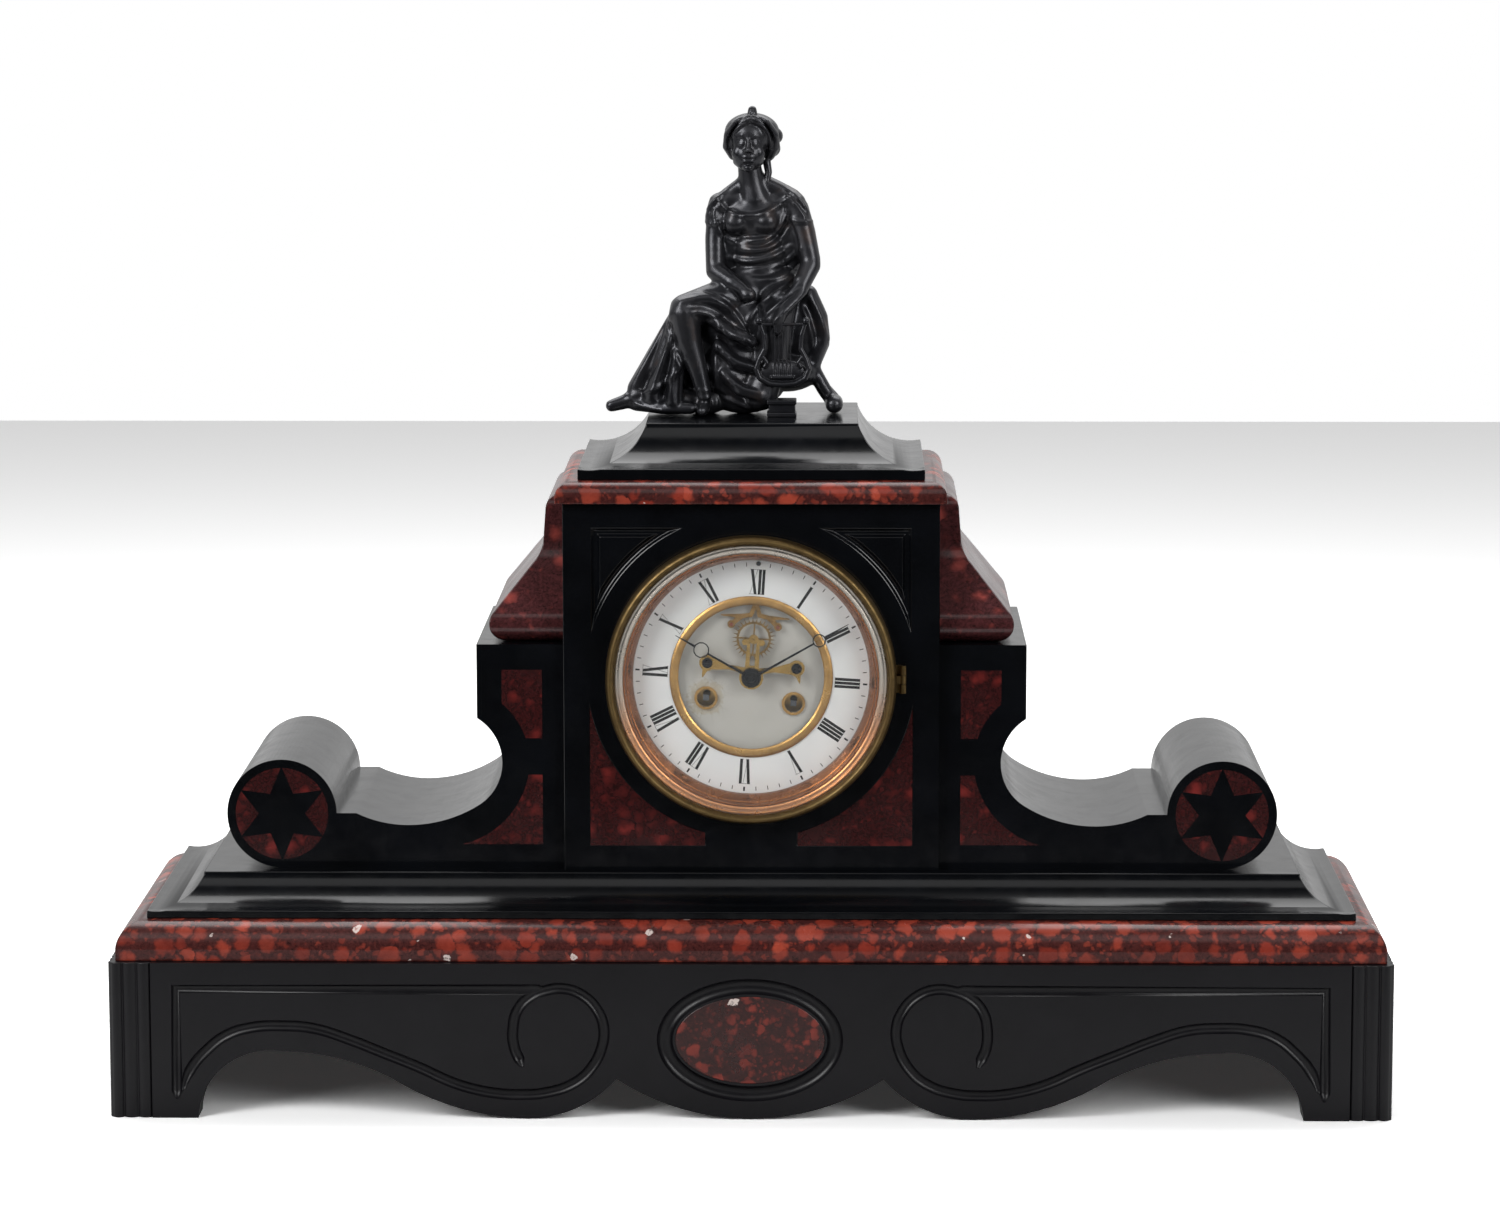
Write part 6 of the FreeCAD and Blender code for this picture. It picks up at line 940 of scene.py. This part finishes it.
# Strokes on the cloth and the hands, as seen from the front
FRONT_FOLDS = (
    # Neckline and the slung bodice
    (2.2, 1.3, ((-19.5, 453), (-15, 447), (-9, 444.2), (3, 444), (12, 448.5), (21, 455))),
    (2.0, 1.0, ((-20.5, 451), (-20, 442), (-16.5, 434), (-10, 430), (-1, 428.5))),
    (2.2, 1.1, ((-6, 431.5), (4, 431), (12, 435), (17.5, 446))),
    (2.2, 1.0, ((-8, 427), (5, 426), (14.5, 431), (20, 441))),
    (1.8, -0.9, ((-5, 429), (5, 428.4), (13, 433), (18.6, 443))),
    (2.0, 1.0, ((-13, 422), (-3, 420), (8, 422), (20, 428))),
    (1.8, -0.9, ((-12, 424.4), (-2, 422.6), (8, 424.4), (18, 430))),
    (2.2, 1.0, ((-6, 416), (6, 416.5), (16, 419), (24, 427))),
    (2.0, 0.9, ((4, 411), (14, 412), (22, 418))),
    (1.8, -0.8, ((0, 413.6), (10, 414), (20, 420))),
    # Sleeves gathered on the shoulders, and their hems
    (1.6, 0.9, ((14, 456), (20, 452), (25, 446), (27, 441))),
    (1.5, 0.9, ((17, 457.5), (23.5, 453), (28.5, 446))),
    (1.4, -0.8, ((16, 456.8), (22, 452.2), (27, 445))),
    (1.5, 0.9, ((18.6, 442.5), (25, 440.5), (31, 441))),
    (1.5, 0.9, ((-14, 456.5), (-20, 452), (-24, 447))),
    (1.4, -0.7, ((-15, 454), (-20, 449), (-23.5, 443.5))),
    (1.5, 0.9, ((-26, 441), (-21, 439.5), (-16, 441))),
    (1.6, -0.9, ((-15.5, 446), (-15, 436), (-14.5, 426))),
    (1.6, -0.9, ((19.5, 440), (22.5, 431), (23.5, 420))),
    # Cloth drawn over the near thigh
    (2.6, 1.3, ((-37, 401.5), (-25, 403.5), (-13, 398), (-4, 385))),
    (2.4, -1.1, ((-34, 398.5), (-24, 399.5), (-13, 393), (-6, 382))),
    (2.4, 1.2, ((-30, 405), (-18, 403.5), (-8, 395), (-1.5, 382))),
    (2.2, -1.0, ((-24, 406), (-13, 401.5), (-5, 392), (0, 381))),
    (2.4, 1.1, ((-31, 396), (-22, 394.5), (-14, 387), (-9, 378))),
    (2.4, 1.1, ((-20, 389), (-10, 383), (-1, 380.5))),
    (2.4, -1.1, ((-19, 384.5), (-9, 378), (0, 376.5))),
    (2.4, 1.1, ((-19, 378), (-9, 369.5), (2, 367))),
    (2.4, -1.1, ((-18, 372), (-8, 364), (2, 362))),
    (2.2, 1.0, ((-16, 364), (-7, 356.5), (4, 354))),
    (2.2, -1.0, ((-16, 358), (-8, 351), (2, 349))),
    (2.2, 1.0, ((-17, 352), (-9, 348), (-1, 346))),
    (2.4, 1.0, ((-17, 392), (-19, 376), (-19, 360), (-19, 347))),
    (2.4, 1.3, ((23, 413), (11, 405), (1, 397), (-4, 388))),
    (2.4, -1.2, ((24, 408.5), (12, 400), (3, 391))),
    (2.4, 1.2, ((27, 405.5), (17, 397), (7, 387))),
    (2.2, 1.0, ((-18, 356), (-9, 350), (0, 344))),
    # Rolls of the skirt fan out from the knee
    (2.6, 1.4, ((-42, 395), (-44.5, 384), (-40, 372), (-35, 362))),
    (2.6, 1.2, ((-43, 393), (-52, 375), (-62, 357))),
    (2.6, -1.4, ((-42, 388), (-49, 371), (-57, 355))),
    (2.6, 1.3, ((-42, 385), (-47.5, 368), (-53, 352))),
    (2.6, -1.4, ((-41, 380), (-44.5, 365), (-47, 350))),
    (2.4, 1.2, ((-39.5, 375), (-41.5, 362), (-42.5, 349))),
    (2.2, -1.1, ((-36.5, 369), (-37, 358), (-37.5, 348))),
    (2.4, 1.0, ((-62, 352), (-50, 355), (-40, 363), (-35, 372))),
    (1.6, 0.9, ((-66, 352.5), (-62, 347.5), (-50, 344.8), (-36, 344.6))),
    # Cloth on the seat
    (2.4, 1.1, ((29, 403), (34, 393), (37.5, 382))),
    (2.4, -1.1, ((27, 400), (31, 390), (34, 378))),
    (2.2, 1.0, ((25, 398), (29.5, 386), (31, 374))),
    # Knuckles and fingers
    (0.9, -0.8, ((-5.6, 402), (-5.2, 399.4))),
    (0.9, -0.8, ((-3.6, 402), (-3.4, 399.2))),
    (0.9, -0.8, ((-1.6, 402), (-1.6, 399.4))),
    (0.9, -0.8, ((0.4, 402.6), (0.2, 400.2))),
    (0.9, -0.7, ((11.8, 390), (11.6, 384))),
    (0.9, -0.7, ((13.6, 390), (13.6, 384))),
    # Sandal straps and toes
    (0.9, 0.6, ((-29, 356), (-25.5, 354.6), (-21.5, 356))),
    (0.9, 0.6, ((-28.4, 352), (-25, 350.8), (-21.6, 352))),
    (0.8, -0.6, ((-27.6, 345.6), (-27.8, 343))),
    (0.8, -0.6, ((-25.4, 345.6), (-25.5, 343))),
)
# Strokes on the back, which is met from behind; right stays the front view's right
BACK_FOLDS = (
    (2.4, 1.2, ((-15, 456), (-6, 448), (6, 447), (17, 455))),
    (2.2, 1.0, ((-13, 446), (-4, 437), (8, 437), (18, 447))),
    (2.2, -1.0, ((-13, 450), (-4, 441.5), (8, 441.5), (18, 451))),
    (2.4, 1.2, ((-15, 424), (0, 419.5), (20, 424))),
    (2.2, -1.0, ((-15, 420.5), (0, 416), (20, 420.5))),
    (2.6, 1.3, ((-10, 416), (-14, 396), (-20, 372), (-27, 350))),
    (2.6, -1.2, ((-6, 415), (-9, 395), (-13, 370), (-16, 348))),
    (2.6, 1.3, ((0, 414), (-1, 394), (-3, 370), (-4, 348))),
    (2.6, -1.2, ((6, 414), (7, 394), (6, 370), (5, 350))),
    (2.6, 1.3, ((12, 415), (15, 395), (15, 372), (14, 354))),
    (2.6, -1.1, ((17, 416), (23, 398), (25, 378), (22, 360))),
    (2.6, 1.2, ((-18, 400), (-28, 380), (-40, 356))),
)


def figure_body():
    """The trunk, the limbs, the robe and the seat in one skin, with the folds worked in from both sides."""
    bm = skinned(built(BODY_FORMS), BODY_VOXEL, 5, FIGURE_FLOOR)
    cast(modelled(modelled(bm, FRONT_FOLDS), BACK_FOLDS, from_y=0.2, way=-1.0), "figure_body")


HEAD_FORMS = (
    # Skull, jaw, cheeks and neck
    ((-2.2, 46, 484), (9.8, 10.8, 11.6), 4),
    ((-2.4, 42.4, 475.5), (8.0, 7.4, 8.8), 4),
    ((-2.4, 37.8, 468.8), (2.6, 2.4, 2.4)),
    ((-7.0, 42.5, 472.0, 3.0), (-2.4, 39.4, 469.2, 2.7), (2.2, 42.5, 472.0, 3.0)),
    ((-2.3, 41.6, 479.8), (7.8, 6.3, 6.8), 4),
    ((-6.6, 39.6, 476.4), (3.8, 3.4, 4.4)),
    ((1.8, 39.6, 476.4), (3.8, 3.4, 4.4)),
    ((-2.2, 46.4, 470, 5.4), (-1.4, 47, 464, 5.4)),
    # Brows, eyes and nose
    ((-8.0, 38.9, 485.0, 1.3), (-5.2, 37.0, 485.8, 1.4), (-2.4, 36.5, 485.0, 1.3)),
    ((3.2, 38.9, 485.0, 1.3), (0.4, 37.0, 485.8, 1.4), (-2.4, 36.5, 485.0, 1.3)),
    ((-2.4, 35.6, 483.6, 1.0), (-2.4, 34.3, 479.6, 1.1), (-2.4, 33.7, 478.0, 1.35)),
    ((-3.8, 35.1, 477.7), (0.95, 1.1, 0.9)),
    ((-1.0, 35.1, 477.7), (0.95, 1.1, 0.9)),
    # Hair parted in the middle, drawn to a knot, with one curl on the neck and an ornament above the brow
    ((-0.8, 48.5, 486.5), (13.2, 11.5, 10.0), 4),
    ((-1.6, 38.2, 494, 2.4), (-7.0, 38.3, 491.6, 2.9), (-11.2, 41.5, 485.5, 3.2),
     (-12.0, 45, 479.5, 3.0), (-9.6, 48, 474.5, 2.6)),
    ((-0.6, 38.2, 494, 2.4), (5.4, 38.3, 491.6, 2.9), (9.2, 41.5, 485.5, 3.2),
     (9.8, 45, 479.5, 3.2), (7.6, 48, 474.5, 2.8)),
    ((10.0, 49, 484.5), (4.2, 4.6, 4.4)),
    ((8.6, 51, 478), (4.4, 4.8, 4.6)),
    ((6.4, 47, 471, 2.1), (7.2, 46, 466, 1.9), (6.4, 45, 460.5, 1.6)),
    ((-0.5, 40.2, 494.8, 2.9), (-0.5, 41, 498.3, 2.2)),
)
FACE_TOUCHES = (
    # Eye hollows, then lids
    (2.4, -0.55, ((-7.4, 482.6), (-5.6, 482.8), (-4.2, 482.4))),
    (2.4, -0.55, ((2.6, 482.6), (0.8, 482.8), (-0.6, 482.4))),
    (1.5, 0.75, ((-6.6, 481.7), (-5.0, 481.7))),
    (1.5, 0.75, ((1.8, 481.7), (0.2, 481.7))),
    (0.7, 0.4, ((-8.0, 481.8), (-6.6, 482.9), (-5.0, 482.9), (-3.8, 481.6))),
    (0.7, 0.4, ((3.2, 481.8), (1.8, 482.9), (0.2, 482.9), (-1.0, 481.6))),
    (0.6, 0.3, ((-7.8, 481.4), (-6.0, 480.4), (-4.0, 481.3))),
    (0.6, 0.3, ((3.0, 481.4), (1.2, 480.4), (-0.8, 481.3))),
    # Mouth
    (1.1, 0.55, ((-4.6, 474.0), (-3.2, 474.7), (-2.4, 474.4), (-1.6, 474.7), (-0.2, 474.0))),
    (0.7, -0.45, ((-5.2, 473.4), (-3.6, 473.7), (-2.4, 473.5), (-1.2, 473.7), (0.4, 473.4))),
    (1.2, 0.7, ((-4.2, 472.5), (-2.4, 472.1), (-0.6, 472.5))),
    (1.2, -0.5, ((-3.8, 470.9), (-2.4, 470.7), (-1.0, 470.9))),
    (0.9, -0.4, ((-2.4, 476.2), (-2.4, 475.3))),
    # The parting
    (0.9, -0.8, ((-1.1, 497), (-1.1, 492.6))),
)


def figure_head():
    """The head with its face and its dressed hair in a finer skin."""
    touches = list(FACE_TOUCHES)
    # Waves of the hair run from the parting down both sides
    for side, middle in ((-1, -1.4), (1, -0.8)):
        for wave in range(5):
            lift = 1.5 * wave
            touches.append((1.0, -0.9, ((middle + side * 1.2, 496.2 - lift * 0.6),
                                         (middle + side * (5.4 + wave * 0.5), 494.2 - lift * 0.7),
                                         (middle + side * (8.6 + wave * 0.4), 489.4 - lift * 0.6),
                                         (middle + side * (9.4 + wave * 0.5), 484.0 - lift * 0.4),
                                         (middle + side * (9.0 + wave * 0.5), 478.0))))
    bm = modelled(skinned(built(HEAD_FORMS), HEAD_VOXEL, 3), touches)
    bmesh.ops.scale(bm, vec=HEAD_FULLNESS, space=Matrix.Translation(-HEAD_MIDDLE * MM), verts=bm.verts)
    cast(bm, "figure_head")


# The lyre, in front of the far knee
LYRE_MIDDLE = 15.2
LYRE_Y = 24.6
LYRE_VOXEL = 0.32
# Stations are (out from the middle, up, radius): the arms with the foot's curl, and the scrolls inside them
LYRE_ARM = ((11.8, 390.5, 1.0), (9.6, 384, 1.2), (9.2, 377, 1.3), (12.0, 371.5, 1.4), (13.6, 366.5, 1.5),
            (11.6, 361.5, 1.5), (6.5, 358.8, 1.5), (0, 358.2, 1.5))
LYRE_SCROLL = ((12.4, 371, 1.1), (9.6, 372, 1.1), (8.0, 369.6, 1.1), (9.4, 367.6, 1.0))


def lyre_limb(forms, side, stations):
    """A limb of the lyre on one side of its middle."""
    limb(forms, *((LYRE_MIDDLE + side * out, LYRE_Y, up, radius) for out, up, radius in stations))


def figure_lyre():
    """Two arms on a hollow body, a yoke, a bridge and five strings."""
    forms = []
    for side in (-1, 1):
        lyre_limb(forms, side, LYRE_ARM)
        lyre_limb(forms, side, LYRE_SCROLL)
        ball(forms, (LYRE_MIDDLE + side * 12.0, LYRE_Y, 391.2), (2.1, 2.1, 2.1))
    lyre_limb(forms, 1, ((-11.8, 389.4, 0.8), (11.8, 389.4, 0.8)))
    ball(forms, (LYRE_MIDDLE, LYRE_Y + 2.4, 364.5), (13.0, 2.6, 6.6))
    for string in range(5):
        lyre_limb(forms, 1, ((2 * string - 4, 389, 0.42), (2 * string - 4, 362.5, 0.42)))
    lyre_limb(forms, 1, ((-5.4, 362, 0.9), (5.4, 362, 0.9)))
    cast(skinned(forms, LYRE_VOXEL, 1), "figure_lyre")


def figure_book():
    """A closed book lies under the lyre: two boards and the leaves between them."""
    floor_mm = FIGURE_FLOOR / MM
    boards = joined(
        bar((7.2 * MM, 22.4 * MM, FIGURE_FLOOR), (22.4 * MM, 36 * MM, (floor_mm + 2.2) * MM)),
        bar((8.0 * MM, 23.4 * MM, (floor_mm + 2.1) * MM), (21.8 * MM, 36 * MM, (floor_mm + 6.4) * MM)),
        bar((7.2 * MM, 22.4 * MM, (floor_mm + 6.3) * MM), (22.4 * MM, 36 * MM, (floor_mm + 8.6) * MM)))
    piece = piece_from(boards, "figure_book", PATINATED, "clock_case")
    eased(piece, 0.5, 3)
    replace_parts(piece, "figure")


figure_body()
figure_head()
figure_lyre()
figure_book()


# Floor, background, lamps and camera

FLOOR_FRONT = -0.45
FLOOR_BACK = 3.0
FLOOR_SIDE = 3.0
FLOOR_TO_CAMERA = 1.5
FLOOR_VEIL = 0.03
PAPER_GREY = 0.62
WHITE = (1.0, 1.0, 1.0, 1.0)
# The studio's brightness on the camera's side and behind the clock, and the depths between which it changes
STUDIO_DARK = 0.02
STUDIO_PALE = 0.7
STUDIO_FRONT = -0.35
STUDIO_BEHIND = 0.45


def floor_and_background():
    """A pale floor that stays white to the camera and keeps the clock's soft shadow; the studio is pale behind
    and above the clock and dark on the camera's side, as a black clock is lit."""
    bm = bmesh.new()
    bmesh.ops.create_grid(bm, x_segments=1, y_segments=1, size=1.0)
    bmesh.ops.scale(bm, vec=(FLOOR_SIDE, (FLOOR_BACK - FLOOR_FRONT) / 2, 1.0), verts=bm.verts)
    bmesh.ops.translate(bm, vec=(0.0, (FLOOR_BACK + FLOOR_FRONT) / 2, 0.0), verts=bm.verts)
    floor = placed("pale_floor", as_mesh(bm, "pale_floor"))
    material = bpy.data.materials.new("pale_paper_floor")
    material.use_nodes = True
    tree = material.node_tree
    tree.nodes.clear()
    rays = tree.nodes.new("ShaderNodeLightPath")
    paper = node(tree, "ShaderNodeBsdfDiffuse", {"Color": (PAPER_GREY,) * 3 + (1.0,)})
    shown = node(tree, "ShaderNodeBsdfDiffuse", {"Color": (FLOOR_TO_CAMERA,) * 3 + (1.0,)})
    veil = node(tree, "ShaderNodeEmission", {"Strength": FLOOR_VEIL})
    lifted = node(tree, "ShaderNodeAddShader", {0: shown, 1: veil})
    mixed = node(tree, "ShaderNodeMixShader", {0: rays.outputs["Is Camera Ray"], 1: paper, 2: lifted})
    node(tree, "ShaderNodeOutputMaterial", {"Surface": mixed})
    floor.data.materials.append(material)
    world = bpy.data.worlds.new("studio")
    bpy.context.scene.world = world
    world.use_nodes = True
    sky = world.node_tree
    sky.nodes.clear()
    rays = sky.nodes.new("ShaderNodeLightPath")
    direction = sky.nodes.new("ShaderNodeTexCoord").outputs["Generated"]
    parts = node(sky, "ShaderNodeSeparateXYZ", {"Vector": direction})
    depth = node(sky, "ShaderNodeMapRange", {
        "Value": parts.outputs["Y"], "From Min": STUDIO_FRONT, "From Max": STUDIO_BEHIND,
        "To Min": STUDIO_DARK, "To Max": STUDIO_PALE}, SOFT_STEP)
    grey = node(sky, "ShaderNodeBackground", {"Color": WHITE, "Strength": depth})
    white = node(sky, "ShaderNodeBackground", {"Color": WHITE, "Strength": 1.0})
    shown = node(sky, "ShaderNodeMath", {
        0: rays.outputs["Is Camera Ray"], 1: rays.outputs["Is Transmission Ray"]}, GREATER)
    mixed = node(sky, "ShaderNodeMixShader", {0: shown, 1: grey, 2: white})
    node(sky, "ShaderNodeOutputWorld", {"Surface": mixed})


# White softboxes: place, the point they face, width, height and power
LAMPS = {
    "overhead_softbox": ((0.0, 0.75, 1.75), (0.0, 0.0, 0.2), 2.2, 1.2, 24.0),
    "front_softbox": ((0.0, -1.3, 1.75), (0.0, 0.0, 0.2), 2.6, 0.9, 5.0),
    "left_softbox": ((-1.5, -1.4, 1.3), (0.0, 0.0, 0.25), 0.9, 1.2, 30.0),
    "right_softbox": ((1.5, -1.5, 1.1), (0.0, 0.0, 0.25), 0.9, 1.2, 20.0),
}

floor_and_background()
for name, (place, aim, width, height, power) in LAMPS.items():
    data = bpy.data.lights.new(name, "AREA")
    data.shape = "RECTANGLE"
    data.size = width
    data.size_y = height
    data.energy = power
    light = placed(name, data)
    light.location = place
    light.rotation_mode = "QUATERNION"
    light.rotation_quaternion = (Vector(aim) - Vector(place)).to_track_quat("-Z", "Y")

# The camera that the photo's straight edges gave: where it stands, its turn about each axis and its lens
CAMERA_PLACE = (0.03861, -2.5349, 0.63134)
CAMERA_TURN = (90 - 8.714, 0.049, 0.893)
LENS_MM = 120.0
SENSOR_MM = 36.0

camera_data = bpy.data.cameras.new("studio_camera")
camera_data.lens = LENS_MM
camera_data.sensor_width = SENSOR_MM
camera_data.clip_start = 0.1
camera_data.clip_end = 20.0
camera = placed("studio_camera", camera_data)
camera.location = CAMERA_PLACE
camera.rotation_euler = [math.radians(turn) for turn in CAMERA_TURN]
bpy.context.scene.camera = camera
